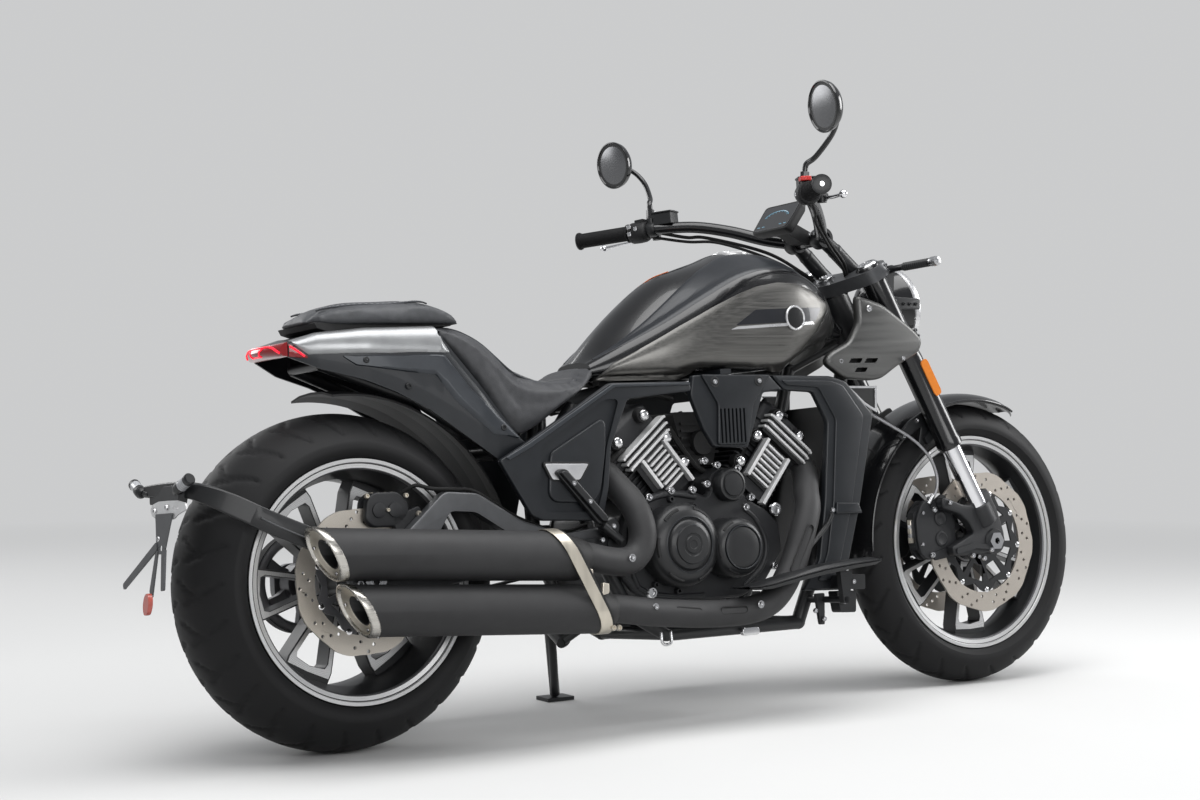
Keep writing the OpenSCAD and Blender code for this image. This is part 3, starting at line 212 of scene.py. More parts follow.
def makeBrushed(name, colour, roughness, streak=(3, 260, 260), contrast=0.35, metallic=1.0, depth=0.12):
    metal = Finish(name, colour, roughness, metallic)
    lines = metal.noise(1.0, 5, streak)
    broad = metal.noise(14, 3)
    dark = tuple(c * (1 - contrast) for c in colour)
    metal.put("Base Color", metal.mix(metal.span(lines, 0.3, 0.7), shade(*dark), shade(*colour)))
    metal.put("Roughness", (lines - 0.5) * 0.35 + (broad - 0.5) * 0.12 + roughness)
    metal.relief(lines, depth, 0.0004)
    return metal.material


def makeTurned(name, colour, roughness, centre, rings=420.0, metallic=0.8):
    # metal ground in circles about the Y axis through a point
    metal = Finish(name, colour, roughness, metallic)
    spot = metal.node("ShaderNodeVectorMath", {"operation": "SUBTRACT"}, [metal.place(), centre])
    flat = metal.node("ShaderNodeVectorMath", {"operation": "MULTIPLY"}, [spot, (1, 0, 1)])
    radius = metal.node("ShaderNodeVectorMath", {"operation": "LENGTH"}, [flat], out="Value")
    grooves = metal.node("ShaderNodeTexNoise", {"noise_dimensions": "1D"},
                         {"W": radius * rings, "Detail": 3.0})
    dark = tuple(c * 0.78 for c in colour)
    metal.put("Base Color", metal.mix(metal.span(grooves, 0.35, 0.65), shade(*dark), shade(*colour)))
    metal.put("Roughness", (grooves - 0.5) * 0.12 + (metal.noise(30, 3) - 0.5) * 0.05 + roughness)
    metal.relief(grooves, 0.05, 0.0002)
    return metal.material


def makeLeather(name, colour, scale=520):
    hide = Finish(name, colour, 0.5)
    pores = hide.cells(scale)
    folds = hide.noise(60, 5)
    hide.put("Base Color", hide.mix(hide.span(folds, 0.25, 0.8), shade(*colour),
                                    shade(*[c * 1.5 + 0.01 for c in colour])))
    hide.put("Roughness", (folds - 0.5) * 0.3 + 0.52)
    hide.relief(pores * 0.7 + folds * 0.5, 0.35, 0.0009)
    return hide.material


def makeLens(name, colour, roughness=0.08, glow=0.0):
    lens = Finish(name, colour, roughness, coat=0.6)
    ribs = lens.node("ShaderNodeTexWave", {"bands_direction": "Y"}, {"Vector": lens.place(), "Scale": 60.0})
    lens.put("Base Color", lens.mix(ribs * 0.5, shade(*colour), shade(*[c * 0.55 for c in colour])))
    lens.relief(ribs, 0.12, 0.0008)
    if glow:
        lens.put("Emission Color", shade(*colour))
        lens.put("Emission Strength", glow)
    return lens.material


def makeRubber(name, colour=(0.016, 0.016, 0.017), roughness=0.62, scale=700):
    rubber = Finish(name, colour, roughness, shine=0.22)
    dust = rubber.noise(6, 4)
    rubber.put("Base Color", rubber.mix(rubber.span(dust, 0.35, 0.8), shade(*colour),
                                        shade(*[c * 1.6 + 0.002 for c in colour])))
    rubber.put("Roughness", (dust - 0.5) * 0.25 + roughness)
    rubber.relief(rubber.noise(scale, 2), 0.2, 0.0005)
    return rubber.material


def makeChrome(name, colour=(0.78, 0.78, 0.8), roughness=0.07):
    metal = Finish(name, colour, roughness, 1.0)
    haze = metal.noise(20, 4)
    metal.put("Roughness", metal.span(haze, 0.35, 0.9) * 0.12 + roughness)
    metal.put("Base Color", metal.mix(haze * 0.3, shade(*colour), shade(*[c * 0.8 for c in colour])))
    metal.relief(metal.noise(300, 2), 0.015, 0.0002)
    return metal.material


coats = {
    "satinBlack": makePaint("satinBlack", (0.010, 0.0105, 0.0115), 0.40, coat=0.08, grain=0.05),
    "glossBlack": makePaint("glossBlack", (0.0045, 0.0047, 0.0055), 0.22, coat=0.42, mottle=0.03),
    "castBlack": makePaint("castBlack", (0.011, 0.0115, 0.013), 0.5, grain=0.35, grainScale=650),
    "castGrey": makePaint("castGrey", (0.10, 0.10, 0.105), 0.42, metallic=0.6, grain=0.3, grainScale=650),
    "mattBlack": makePaint("mattBlack", (0.022, 0.022, 0.023), 0.58, grain=0.15, grainScale=1100),
    "charcoal": makePaint("charcoal", (0.0100, 0.0117, 0.0143), 0.40, coat=0.08, metallic=0.2, grain=0.04),
    "deepPlastic": makePaint("deepPlastic", (0.006, 0.006, 0.0065), 0.58, grain=0.45, grainScale=420),
    "silverPaint": makePaint("silverPaint", (0.28, 0.285, 0.29), 0.36, coat=0.25, metallic=0.75),
    "greyPaint": makePaint("greyPaint", (0.075, 0.077, 0.081), 0.4, coat=0.2, metallic=0.5),
    "gunBrushed": makeBrushed("gunBrushed", (0.155, 0.152, 0.145), 0.36, (2.5, 330, 330), 0.22),
    "scoopMetal": makeBrushed("scoopMetal", (0.115, 0.115, 0.113), 0.42, (6, 200, 90), 0.12, depth=0.05),
    "machined": makeBrushed("machined", (0.72, 0.72, 0.72), 0.32, (40, 40, 12), 0.08, metallic=0.75,
                            depth=0.03),
    "ladderMetal": makeBrushed("ladderMetal", (0.80, 0.80, 0.80), 0.36, (40, 40, 12), 0.06, metallic=0.35,
                               depth=0.03),
    "strapMetal": makeBrushed("strapMetal", (0.66, 0.61, 0.52), 0.34, (60, 12, 12), 0.12, metallic=0.8,
                              depth=0.04),
    "ringSteel": makeBrushed("ringSteel", (0.58, 0.56, 0.52), 0.28, (12, 160, 160), 0.2, depth=0.05),
    "boltSteel": makeChrome("boltSteel", (0.66, 0.66, 0.67), 0.16),
    "chrome": makeChrome("chrome"),
    "mirrorGlass": makeChrome("mirrorGlass", (0.17, 0.172, 0.178), 0.22),
    "frontDiscSteel": makeTurned("frontDiscSteel", (0.60, 0.55, 0.49), 0.34,
                                 (frontAxle.x / 1000, 0, frontAxle.z / 1000)),
    "rearDiscSteel": makeTurned("rearDiscSteel", (0.66, 0.61, 0.54), 0.34, (0, 0, rearAxle.z / 1000), 420, 0.8),
    "rearFlange": makeTurned("rearFlange", (0.72, 0.72, 0.72), 0.3, (0, 0, rearAxle.z / 1000), 260, 0.6),
    "frontFlange": makeTurned("frontFlange", (0.72, 0.72, 0.72), 0.3,
                              (frontAxle.x / 1000, 0, frontAxle.z / 1000), 260, 0.6),
    "tyreRubber": makeRubber("tyreRubber", (0.0085, 0.0085, 0.009), 0.6),
    "gripRubber": makeRubber("gripRubber", (0.007, 0.007, 0.0075), 0.7, 1500),
    "hoseRubber": makeRubber("hoseRubber", (0.006, 0.006, 0.006), 0.48, 1200),
    "seatHide": makeLeather("seatHide", (0.030, 0.031, 0.034), 620),
    "pillionHide": makeLeather("pillionHide", (0.044, 0.046, 0.050), 620),
    "thread": makeRubber("thread", (0.22, 0.22, 0.23), 0.7, 2500),
    "redLens": makeLens("redLens", (0.20, 0.004, 0.006), 0.14, 0.3),
    "smokedLens": makeLens("smokedLens", (0.05, 0.045, 0.042), 0.15),
    "amberReflector": makeLens("amberReflector", (0.9, 0.26, 0.02), 0.2),
    "clearLens": makeLens("clearLens", (0.55, 0.56, 0.58), 0.06),
    "darkScreen": makePaint("darkScreen", (0.006, 0.007, 0.009), 0.08, coat=1.0, mottle=0.01),
    "redPlastic": makePaint("redPlastic", (0.5, 0.02, 0.015), 0.4),
    # lighter charcoal, used for the tail panel and for the side-cover ridge, where it is a painted highlight
    "charcoalLight": makePaint("charcoalLight", (0.030, 0.034, 0.040), 0.36, coat=0.2, metallic=0.3,
                               grain=0.04),
    "redGlow": makeLens("redGlow", (0.95, 0.008, 0.03), 0.3, 1.2),
    # the rear reflector's lens: its emission is a painted glow, as the reflector is no lamp
    "salmonLensPaintedGlow": makeLens("salmonLensPaintedGlow", (0.50, 0.10, 0.075), 0.2, 0.15),
    "dashBlue": makeLens("dashBlue", (0.10, 0.22, 0.30), 0.3, 0.8),
    "bandPaint": makePaint("bandPaint", (0.011, 0.013, 0.0165), 0.34, coat=0.1, metallic=0.1),
    "flankPaint": makePaint("flankPaint", (0.030, 0.030, 0.029), 0.42, coat=0.15, metallic=0.5, grain=0.05),
    "stripePaint": makePaint("stripePaint", (0.008, 0.009, 0.013), 0.30, coat=0.4, metallic=0.2),
    "silverLine": makePaint("silverLine", (0.62, 0.62, 0.63), 0.28, coat=0.3, metallic=0.8),
    "orangeTag": makePaint("orangeTag", (0.75, 0.16, 0.02), 0.5),
    "pipingHide": makeRubber("pipingHide", (0.035, 0.037, 0.041), 0.5, 900),
    "hoseMetal": makePaint("hoseMetal", (0.30, 0.30, 0.31), 0.4, metallic=0.7, grain=0.5, grainScale=1800),
}
print("stage: finishes made")


# mesh tools
def frameAcross(direction):
    d = Vector(direction).normalized()
    side = d.cross(Vector((0, 0, 1)))
    if side.length < 0.05:
        side = d.cross(Vector((0, 1, 0)))
    side.normalize()
    return d, side, d.cross(side)


def smoothPath(points, steps=6):
    # Catmull-Rom curve through points
    pts = [Vector(p) for p in points]
    pts = [2 * pts[0] - pts[1]] + pts + [2 * pts[-1] - pts[-2]]
    out = []
    for i in range(1, len(pts) - 2):
        a, b, c, d = pts[i - 1:i + 3]
        for k in range(steps):
            t = k / steps
            out.append(0.5 * (2 * b + (c - a) * t + (2 * a - 5 * b + 4 * c - d) * t * t
                              + (3 * b - a - 3 * c + d) * t * t * t))
    out.append(pts[-2])
    return out


def lookup(x, table):
    if x <= table[0][0]:
        return table[0][1]
    for (x0, v0), (x1, v1) in zip(table, table[1:]):
        if x <= x1:
            return v0 + (v1 - v0) * (x - x0) / (x1 - x0)
    return table[-1][1]


def smoothLookup(x, table):
    # the same, with the corners of the polyline rounded
    if x <= table[0][0] or x >= table[-1][0]:
        return lookup(x, table)
    i = max(k for k in range(len(table) - 1) if table[k][0] <= x)

    def slope(k):
        a, b = table[max(0, k - 1)], table[min(len(table) - 1, k + 1)]
        return (b[1] - a[1]) / (b[0] - a[0])

    (x0, v0), (x1, v1) = table[i], table[i + 1]
    h = x1 - x0
    t = (x - x0) / h
    return ((2 * t ** 3 - 3 * t ** 2 + 1) * v0 + (t ** 3 - 2 * t ** 2 + t) * h * slope(i)
            + (-2 * t ** 3 + 3 * t ** 2) * v1 + (t ** 3 - t ** 2) * h * slope(i + 1))


class Piece:
    # gathers shapes in the upright machine's millimetres and turns them into one object
    def __init__(self, name, coat, body, bothSides=False):
        self.name, self.coat, self.body, self.bothSides = name, coat, body, bothSides
        self.points, self.faces = [], []

    def add(self, points, faces):
        base = len(self.points)
        self.points += [Vector(p) for p in points]
        self.faces += [[base + i for i in f] for f in faces]
        if self.bothSides:
            base = len(self.points)
            self.points += [Vector((p[0], -p[1], p[2])) for p in points]
            self.faces += [[base + i for i in reversed(f)] for f in faces]
        return self

    def loft(self, rings, capStart=True, capEnd=True, closed=False):
        n, m = len(rings[0]), len(rings)
        points = [p for ring in rings for p in ring]
        faces = []
        for i in range(m if closed else m - 1):
            j = (i + 1) % m
            for k in range(n):
                q = (k + 1) % n
                faces.append([i * n + k, j * n + k, j * n + q, i * n + q])
        if not closed and capStart:
            faces.append(list(range(n)))
        if not closed and capEnd:
            faces.append([(m - 1) * n + k for k in reversed(range(n))])
        return self.add(points, faces)

    def tube(self, points, radius, sides=12, endRadius=None, flat=1.0):
        pts = [Vector(p) for p in points]
        m = len(pts) - 1
        rings, across = [], None
        for i, p in enumerate(pts):
            t = (pts[min(i + 1, m)] - pts[max(i - 1, 0)]).normalized()
            if across is None:
                across = frameAcross(t)[1]
            across = (across - across.dot(t) * t).normalized()
            other = t.cross(across)
            r = radius if endRadius is None else radius + (endRadius - radius) * i / m
            rings.append([p + r * (math.cos(a) * across + math.sin(a) * other * flat)
                          for a in (math.tau * k / sides for k in range(sides))])
        return self.loft(rings)

    def lathe(self, profile, centre, axis=(0, 1, 0), sides=48, start=0.0, sweep=360.0, closedProfile=True):
        # profile: (radius, distance along the axis)
        d, side, other = frameAcross(axis)
        full = abs(sweep - 360) < 0.01
        count = sides if full else sides + 1
        rings = []
        for k in range(count):
            a = math.radians(start + sweep * k / sides)
            out = math.cos(a) * side + math.sin(a) * other
            rings.append([Vector(centre) + d * h + out * r for r, h in profile])
        if closedProfile:
            return self.loft(rings, closed=full)
        n, faces = len(profile), []
        for k in range(count if full else count - 1):
            q = (k + 1) % count
            faces += [[k * n + i, q * n + i, q * n + i + 1, k * n + i + 1] for i in range(n - 1)]
        return self.add([p for ring in rings for p in ring], faces)

    def prism(self, loops, low, high, place=None):
        # an outline with holes, given in x and z, between two values of y
        place = place or (lambda u, v, w: Vector((u, w, v)))
        if not isinstance(loops[0][0], (tuple, list)):
            loops = [loops]
        flat = [q for loop in loops for q in loop]
        tris = tessellate_polygon([[Vector((u, v, 0)) for u, v in loop] for loop in loops])
        count = len(flat)
        points = [place(u, v, low) for u, v in flat] + [place(u, v, high) for u, v in flat]
        faces = [list(t) for t in tris] + [[count + i for i in reversed(t)] for t in tris]
        base = 0
        for loop in loops:
            n = len(loop)
            for k in range(n):
                q = (k + 1) % n
                faces.append([base + k, base + q, count + base + q, count + base + k])
            base += n
        return self.add(points, faces)

    def bolt(self, spot, axis, radius=5.0, height=4.0, socket=True, sides=16):
        d = Vector(axis).normalized()
        profile = [(0.01, 0), (radius, 0), (radius, height * 0.55), (radius * 0.82, height)]
        if socket:
            profile += [(radius * 0.5, height), (radius * 0.46, height * 0.35), (0.01, height * 0.35)]
        else:
            profile += [(radius * 0.4, height * 1.15), (0.01, height * 1.18)]
        return self.lathe(profile, spot, d, sides, closedProfile=False)

    def ball(self, centre, radius, sides=16):
        rows = sides // 2
        profile = [(max(0.01, radius * math.sin(math.pi * i / rows)), -radius * math.cos(math.pi * i / rows))
                   for i in range(rows + 1)]
        return self.lathe(profile, centre, (0, 0, 1), sides, closedProfile=False)

    def done(self, bevel=0.0, subdivide=0, sharp=35.0, standsFor=(), weld=False, segments=2, slot=None):
        mesh = bpy.data.meshes.new(self.name)
        mesh.from_pydata([p / 1000 for p in self.points], [], self.faces)
        work = bmesh.new()
        work.from_mesh(mesh)
        bmesh.ops.remove_doubles(work, verts=work.verts, dist=2e-5 if not weld else weld / 1000)
        bmesh.ops.recalc_face_normals(work, faces=work.faces)
        work.to_mesh(mesh)
        work.free()
        for polygon in mesh.polygons:
            polygon.use_smooth = True
        mesh.set_sharp_from_angle(angle=math.radians(sharp))
        mesh.materials.append(coats[self.coat])
        shown = bpy.data.objects.new(self.name, mesh)
        bpy.context.scene.collection.objects.link(shown)
        shown.matrix_world = toFrame @ Matrix.Scale(1000, 4)
        if bevel:
            soft = shown.modifiers.new("softEdges", "BEVEL")
            soft.width, soft.segments, soft.limit_method = bevel / 1000, segments, "ANGLE"
            soft.angle_limit = math.radians(40)
            soft.harden_normals = True
        if subdivide:
            more = shown.modifiers.new("rounder", "SUBSURF")
            more.levels = more.render_levels = subdivide
        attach(shown, self.body)
        if standsFor:
            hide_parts(*standsFor)
        return shown


def circlePoints(radius, count, centre=(0, 0), start=0.0):
    return [(centre[0] + radius * math.cos(math.tau * k / count + start),
             centre[1] + radius * math.sin(math.tau * k / count + start)) for k in range(count)]


def onWheel(axle, turn, radius, y):
    # a point of a wheel: turn in degrees from the top, clockwise towards the front
    a = math.radians(turn)
    return Vector((axle.x + radius * math.sin(a), y, axle.z + radius * math.cos(a)))


# CAD nodes that stay, with their finishes
nodeCoats = {
    "frame": "satinBlack", "filler_cap": "machined", "rear_fender": "deepPlastic", "side_covers": "charcoal",
    "centre_covers": "charcoal", "front_arch": "charcoal", "scoops": "scoopMetal", "radiator": "deepPlastic",
    "crankcase": "castBlack", "engine_covers": "satinBlack", "cylinder_rear": "castBlack",
    "cylinder_front": "castBlack", "airbox": "deepPlastic", "silencers": "mattBlack",
    "silencer_ends": "ringSteel", "strap": "strapMetal", "swingarm": "greyPaint", "rear_axle": "boltSteel",
    "rear_caliper": "castBlack", "belt": "gripRubber", "plate_holder": "deepPlastic",
    "rear_indicators": "smokedLens", "pillion_pegs": "satinBlack", "foot_controls": "satinBlack",
    "side_stand": "satinBlack", "rear_disc": "rearDiscSteel", "pulley": "castGrey",
    "triple_clamps": "satinBlack", "fork_legs": "glossBlack", "fork_tubes": "chrome",
    "handlebar": "satinBlack", "bar_controls": "gripRubber", "mirrors": "glossBlack", "dash": "darkScreen",
    "headlight": "satinBlack", "front_fender": "glossBlack", "front_indicators": "smokedLens",
    "front_axle": "boltSteel", "front_calipers": "castBlack", "front_discs": "frontDiscSteel",
    "tank": "glossBlack", "tank_panels": "gunBrushed", "seat": "seatHide", "pillion": "pillionHide",
    "tail": "silverPaint", "tail_lamp": "redLens", "header_rear": "mattBlack", "header_front": "mattBlack",
    "rear_rim": "satinBlack", "front_rim": "satinBlack", "rear_tyre": "tyreRubber",
    "front_tyre": "tyreRubber",
}
for nodeName, coatName in nodeCoats.items():
    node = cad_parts[nodeName]
    node.data.materials.clear()
    node.data.materials.append(coats[coatName])
    for polygon in node.data.polygons:
        polygon.use_smooth = True
    node.data.set_sharp_from_angle(angle=math.radians(32))
print("stage: carried-over nodes painted")


# tyres
tyreShape = {
    "rear": {"r": 324.0, "width": 240.0, "crown": 146.0, "rim": 232.0, "rimWidth": 224.0,
             "body": "rear_wheel",
             "grooves": 26, "node": "rear_tyre"},
    "front": {"r": 320.0, "width": 130.0, "crown": 67.0, "rim": 243.0, "rimWidth": 106.0,
              "body": "front_wheel",
              "grooves": 24, "node": "front_tyre"},
}


def tyreHeight(t, y):
    return t["r"] - t["crown"] + math.sqrt(max(0.0, t["crown"] ** 2 - y ** 2))


def grooveDepth(t, y, turn):
    # slanted tapering grooves on both shoulders and two broken ones near the centre
    half = t["width"] / 2
    s = abs(y) / half
    depth = 0.0
    pitch = 360.0 / t["grooves"]
    side = 1 if y > 0 else -1
    local = (turn + (pitch / 2 if side > 0 else 0)) % pitch / pitch
    line = 0.18 + 0.52 * (s - 0.22) / 0.62
    if 0.2 < s < 0.88:
        wide = 0.045 + 0.06 * math.sin(math.pi * (s - 0.2) / 0.68)
        depth = max(depth, 1 - abs(local - line) / wide)
    short = 0.74 - 0.5 * (s - 0.1) / 0.5
    if 0.06 < s < 0.52:
        depth = max(depth, 1 - abs(local - short) / 0.05)
    return max(0.0, min(1.0, depth * 2.2)) * 4.2


def buildTyre(t, axle):
    half, ys = t["width"] / 2, t["width"] / 2 - 2
    crossRows = [ys * math.sin(math.pi / 2 * k / 17) for k in range(-17, 18)]
    shoulder = tyreHeight(t, ys)
    rubber = Piece("tyre" + t["node"].title().replace("_", ""), "tyreRubber", t["body"])
    around = t["grooves"] * 18
    rings = []
    for a in range(around):
        turn = 360.0 * a / around
        section = [(t["rim"] - 9.0, -(t["rimWidth"] / 2 - 9.4)), (t["rim"] + 2.6, -(t["rimWidth"] / 2 - 9.4)),
                   (t["rim"] + 3.2, -(t["rimWidth"] / 2 - 1.5)), (t["rim"] + 7, -(t["rimWidth"] / 2 + 1.5)),
                   ((shoulder + t["rim"]) / 2, -(half - 0.6)), (shoulder - 10, -half),
                   (shoulder - 4, -(half - 0.6))]
        tread = [(tyreHeight(t, y) - grooveDepth(t, y, turn), y) for y in crossRows]
        mirrored = [(r, -y) for r, y in reversed(section)]
        ring = section + tread + mirrored
        rings.append([onWheel(axle, turn, r, y) for r, y in ring])
    rubber.loft(rings, closed=True)
    return rubber.done(sharp=40, standsFor=(t["node"],), slot=t["node"])


buildTyre(tyreShape["rear"], rearAxle)
buildTyre(tyreShape["front"], frontAxle)
print("stage: tyres")


# cast wheels
wheelShape = {
    "rear": {"axle": rearAxle, "r": 232.0, "half": 112.0, "barOuter": 186.0, "hubR": 46.0, "turn": 25.5,
             "wide": 30.0, "spokeY": 25.0, "barrel": 196.0, "body": "rear_wheel", "node": "rear_rim",
             "hubHalf": 100.0},
    "front": {"axle": frontAxle, "r": 243.0, "half": 53.0, "barOuter": 205.0, "hubR": 46.0, "turn": 0.0,
              "wide": 26.0, "spokeY": 20.0, "barrel": 209.0, "body": "front_wheel", "node": "front_rim",
              "hubHalf": 66.0},
}


def wheelPlace(axle, turn):
    a = math.radians(turn)
    out, side = Vector((math.sin(a), 0, math.cos(a))), Vector((math.cos(a), 0, -math.sin(a)))
    return lambda u, v, w: Vector((axle.x, 0, axle.z)) + side * u + out * v + Vector((0, w, 0))


def loopSpoke(w):
    # outer outline and inner window of one loop, v outwards and u across
    a = math.radians(w["wide"] / 2)
    bar, hub, leg = w["barOuter"], w["hubR"], 10.0
    top = bar + 18
    outer = [(-17, hub - 8)]
    outer += [(-bar * math.sin(a) - 1, bar * math.cos(a) - 12), (-(bar + 16) * math.sin(a * 0.93),
            top * math.cos(a * 0.93))]
    outer += [(0, w["barrel"] + 6), ((bar + 16) * math.sin(a * 0.93), top * math.cos(a * 0.93)),
              (bar * math.sin(a) + 1, bar * math.cos(a) - 12), (17, hub - 8)]
    inBar = bar - 20
    inner = [(-17 + leg * 0.75, hub + 12), (-inBar * math.sin(a) * 0.93 + leg * 0.6, inBar * math.cos(a) - 6),
             (-inBar * math.sin(a) * 0.72, inBar * math.cos(a * 0.8) + 2), (0, inBar + 4),
             (inBar * math.sin(a) * 0.72, inBar * math.cos(a * 0.8) + 2),
             (inBar * math.sin(a) * 0.93 - leg * 0.6, inBar * math.cos(a) - 6), (17 - leg * 0.75, hub + 12)]
    return outer, inner


def shrink(loop, d):
    # moves an outline inwards by d, whichever way round it runs
    n = len(loop)
    area = sum(loop[k][0] * loop[(k + 1) % n][1] - loop[(k + 1) % n][0] * loop[k][1] for k in range(n))
    s = 1 if area > 0 else -1
    out = []
    for k in range(n):
        p, q, r = Vector(loop[k - 1]), Vector(loop[k]), Vector(loop[(k + 1) % n])
        e, f = (q - p).normalized(), (r - q).normalized()
        m = Vector((-e.y - f.y, e.x + f.x)) * s
        m = m / max(0.3, m.dot(Vector((-e.y, e.x)) * s))
        out.append((q.x + m.x * d, q.y + m.y * d))
    return out


def buildWheel(w):
    axle, half = w["axle"], w["half"]
    seatR = w["r"] - 10
    rim = Piece("rim" + w["node"].split("_")[0].title(), "satinBlack", w["body"])
    well = min(half - 34, 60)
    outer = [(w["r"], half), (w["r"] - 1, half - 7), (seatR, half - 8), (seatR, half - 24),
             (seatR - 16, well)]
    outer += [(r, -y) for r, y in reversed(outer)]
    inner = [(w["r"] - 6, half), (w["r"] - 8, half - 3), (seatR - 8, half - 5), (seatR - 10, half - 14),
             (w["barrel"] + 1, well - 4), (w["barrel"] - 1, 0)]
    inner += [(r, -y) for r, y in reversed(inner[:-1])]
    profile = outer + list(reversed(inner))
    rim.lathe(profile, axle, (0, 1, 0), 144)
    for k in range(6):
        outline, window = loopSpoke(w)
        rim.prism([outline, window], -w["spokeY"], w["spokeY"], wheelPlace(axle, w["turn"] + 60 * k))
    hub, long, yy = w["hubR"], w["hubHalf"], w["spokeY"] + 7
    rim.lathe([(15, -long), (hub - 10, -long), (hub - 6, -yy), (hub + 1, -yy), (hub + 1, yy), (hub - 6, yy),
               (hub - 10, long), (15, long)], axle, (0, 1, 0), 64)
    rim.done(bevel=2.2, standsFor=(w["node"],), slot=w["node"])
    # machined faces: a raised skin on each loop, the polished flanges and the hub rings
    bright = Piece("machined" + w["node"].split("_")[0].title(), w["node"].split("_")[0] + "Flange",
                   w["body"])
    for k in range(6):
        outline, window = loopSpoke(w)
        slim, wide = shrink(outline, 3.0), shrink(window, -1.2)
        slim[3] = (0, w["barOuter"] - 4)
        for i in (2, 4):
            slim[i] = (slim[i][0], min(slim[i][1], w["barOuter"] - 6))
        for s in (-1, 1):
            low = s * w["spokeY"] + (-0.6 if s < 0 else 0.02)
            bright.prism([slim, wide], low, low + 0.58, wheelPlace(axle, w["turn"] + 60 * k))
    for s in (-1, 1):
        f = half
        bright.lathe([(w["r"] - 0.4, s * (f - 0.4)), (w["r"] + 0.2, s * (f - 3)),
                      (w["r"] + 0.2, s * (f + 0.3)),
                      (w["r"] - 6.2, s * (f + 0.3)), (w["r"] - 8.2, s * (f - 3)),
                      (w["r"] - 17.4, s * (f - 4.6)),
                      (w["r"] - 17, s * (f - 5.6))], axle, (0, 1, 0), 144)
        bright.lathe([(hub - 8, s * (yy - 1)), (hub - 1, s * (yy - 1)), (hub - 1, s * (yy + 0.6)),
                      (hub - 8, s * (yy + 0.6))], axle, (0, 1, 0), 64)
    bright.done(sharp=30, slot=w["node"])
    stripe = Piece("rimStep" + w["node"].split("_")[0].title(), "castGrey", w["body"])
    for s in (-1, 1):
        stripe.lathe([(w["r"] - 17.5, s * (half - 5.2)), (w["r"] - 17.5, s * (half - 13)),
                      (w["r"] - 20.2, s * (half - 15)),
                      (w["r"] - 20.2, s * (half - 7))], axle, (0, 1, 0), 144)
    stripe.done(slot=w["node"])


buildWheel(wheelShape["rear"])
buildWheel(wheelShape["front"])
print("stage: wheels")


# brake discs
discShape = {
    "front": {"axle": frontAxle, "r": 160.0, "ys": (-75.0, 75.0), "t": 5.0, "waves": 9, "inner": 116.0,
              "turn": 57.0,
              "buttonR": 106.0, "body": "front_wheel", "node": "front_discs", "coat": "frontDiscSteel",
              "hub": 66.0},
    "rear": {"axle": rearAxle, "r": 141.0, "ys": (-112.0,), "t": 5.0, "waves": 8, "inner": 100.0,
             "turn": 20.0,
             "buttonR": 92.0, "body": "rear_wheel", "node": "rear_disc", "coat": "rearDiscSteel",
             "hub": 100.0},
}


def buildDisc(d):
    axle, n = d["axle"], d["waves"]
    blade = Piece("disc" + d["node"].title().replace("_", ""), d["coat"], d["body"])
    ring = []
    for k in range(n * 16):
        a = 360.0 * k / (n * 16)
        wave = math.cos(math.radians(n * a))
        r = d["r"] - 2.0 + 2.0 * max(-0.9, min(1, wave * 1.6))
        ring.append((r * math.sin(math.radians(a)), r * math.cos(math.radians(a))))
    innerLoop = [(d["inner"] * math.sin(math.tau * k / 72),
                  d["inner"] * math.cos(math.tau * k / 72)) for k in range(72)]
    holes = []
    wide = d["r"] - d["inner"]
    for k in range(n):
        base = 360.0 * (k + 0.5) / n
        for off, share, size in ((-12.5, 0.22, 3.6), (-6, 0.48, 3.6), (0, 0.76, 3.6), (7.5, 0.30, 3.6),
                                 (13, 0.60, 3.6)):
            a, r = math.radians(base + off), d["inner"] + wide * share
            holes.append(circlePoints(size, 10, (r * math.sin(a), r * math.cos(a))))
    for y in d["ys"]:
        blade.prism([ring, innerLoop, *holes], y - d["t"] / 2, y + d["t"] / 2, wheelPlace(axle, d["turn"]))
    blade.done(bevel=0.5, segments=1, standsFor=(d["node"],), slot=d["node"])
    carrier = Piece("carrier" + d["node"].title().replace("_", ""), "satinBlack" if n == 9 else "castGrey",
                    d["body"])
    buttons = Piece("buttons" + d["node"].title().replace("_", ""), "boltSteel", d["body"])
    for y in d["ys"]:
        s = 1 if y > 0 else -1
        loop, windows = [], []
        for k in range(n):
            base = 360.0 * k / n
            for off, r in ((-9, d["buttonR"] + 5), (-4, d["inner"] - 0.8), (4, d["inner"] - 0.8),
                           (9, d["buttonR"] + 5),
                           (0.5 * 360 / n, d["buttonR"] - 7)):
                a = math.radians(base + off)
                loop.append((r * math.sin(a), r * math.cos(a)))
            half = 180.0 / n - 5.5
            window = []
            for off, r in ((-half, 56), (-half * 1.02, d["buttonR"] - 14), (half * 1.02, d["buttonR"] - 14),
                           (half, 56)):
                a = math.radians(base + 180.0 / n + off)
                window.append((r * math.sin(a), r * math.cos(a)))
            windows.append(window)
        bore = [(27 * math.sin(math.tau * k / 40), 27 * math.cos(math.tau * k / 40)) for k in range(40)]
        carrier.prism([loop, bore, *windows], y - 2.2, y + 2.2, wheelPlace(axle, d["turn"]))
        inside = s * (d["hub"] + 0.4)
        carrier.lathe([(27, inside), (45, inside), (45, y - s * 2), (27, y - s * 2)], axle, (0, 1, 0), 48)
        for k in range(n):
            spot = onWheel(axle, d["turn"] + 360.0 * k / n, d["buttonR"] + 5.5, y + s * 2.2)
            buttons.bolt(spot, (0, s, 0), 6.2, 1.6, socket=False, sides=14)
        for k in range(5):
            spot = onWheel(axle, d["turn"] + 72.0 * k, 37, y + s * 2.2)
            buttons.bolt(spot, (0, s, 0), 5.2, 4.5, sides=12)
    carrier.done(bevel=0.6, segments=1, slot=d["node"])
    buttons.done(slot=d["node"])


buildDisc(discShape["front"])
buildDisc(discShape["rear"])
print("stage: discs")


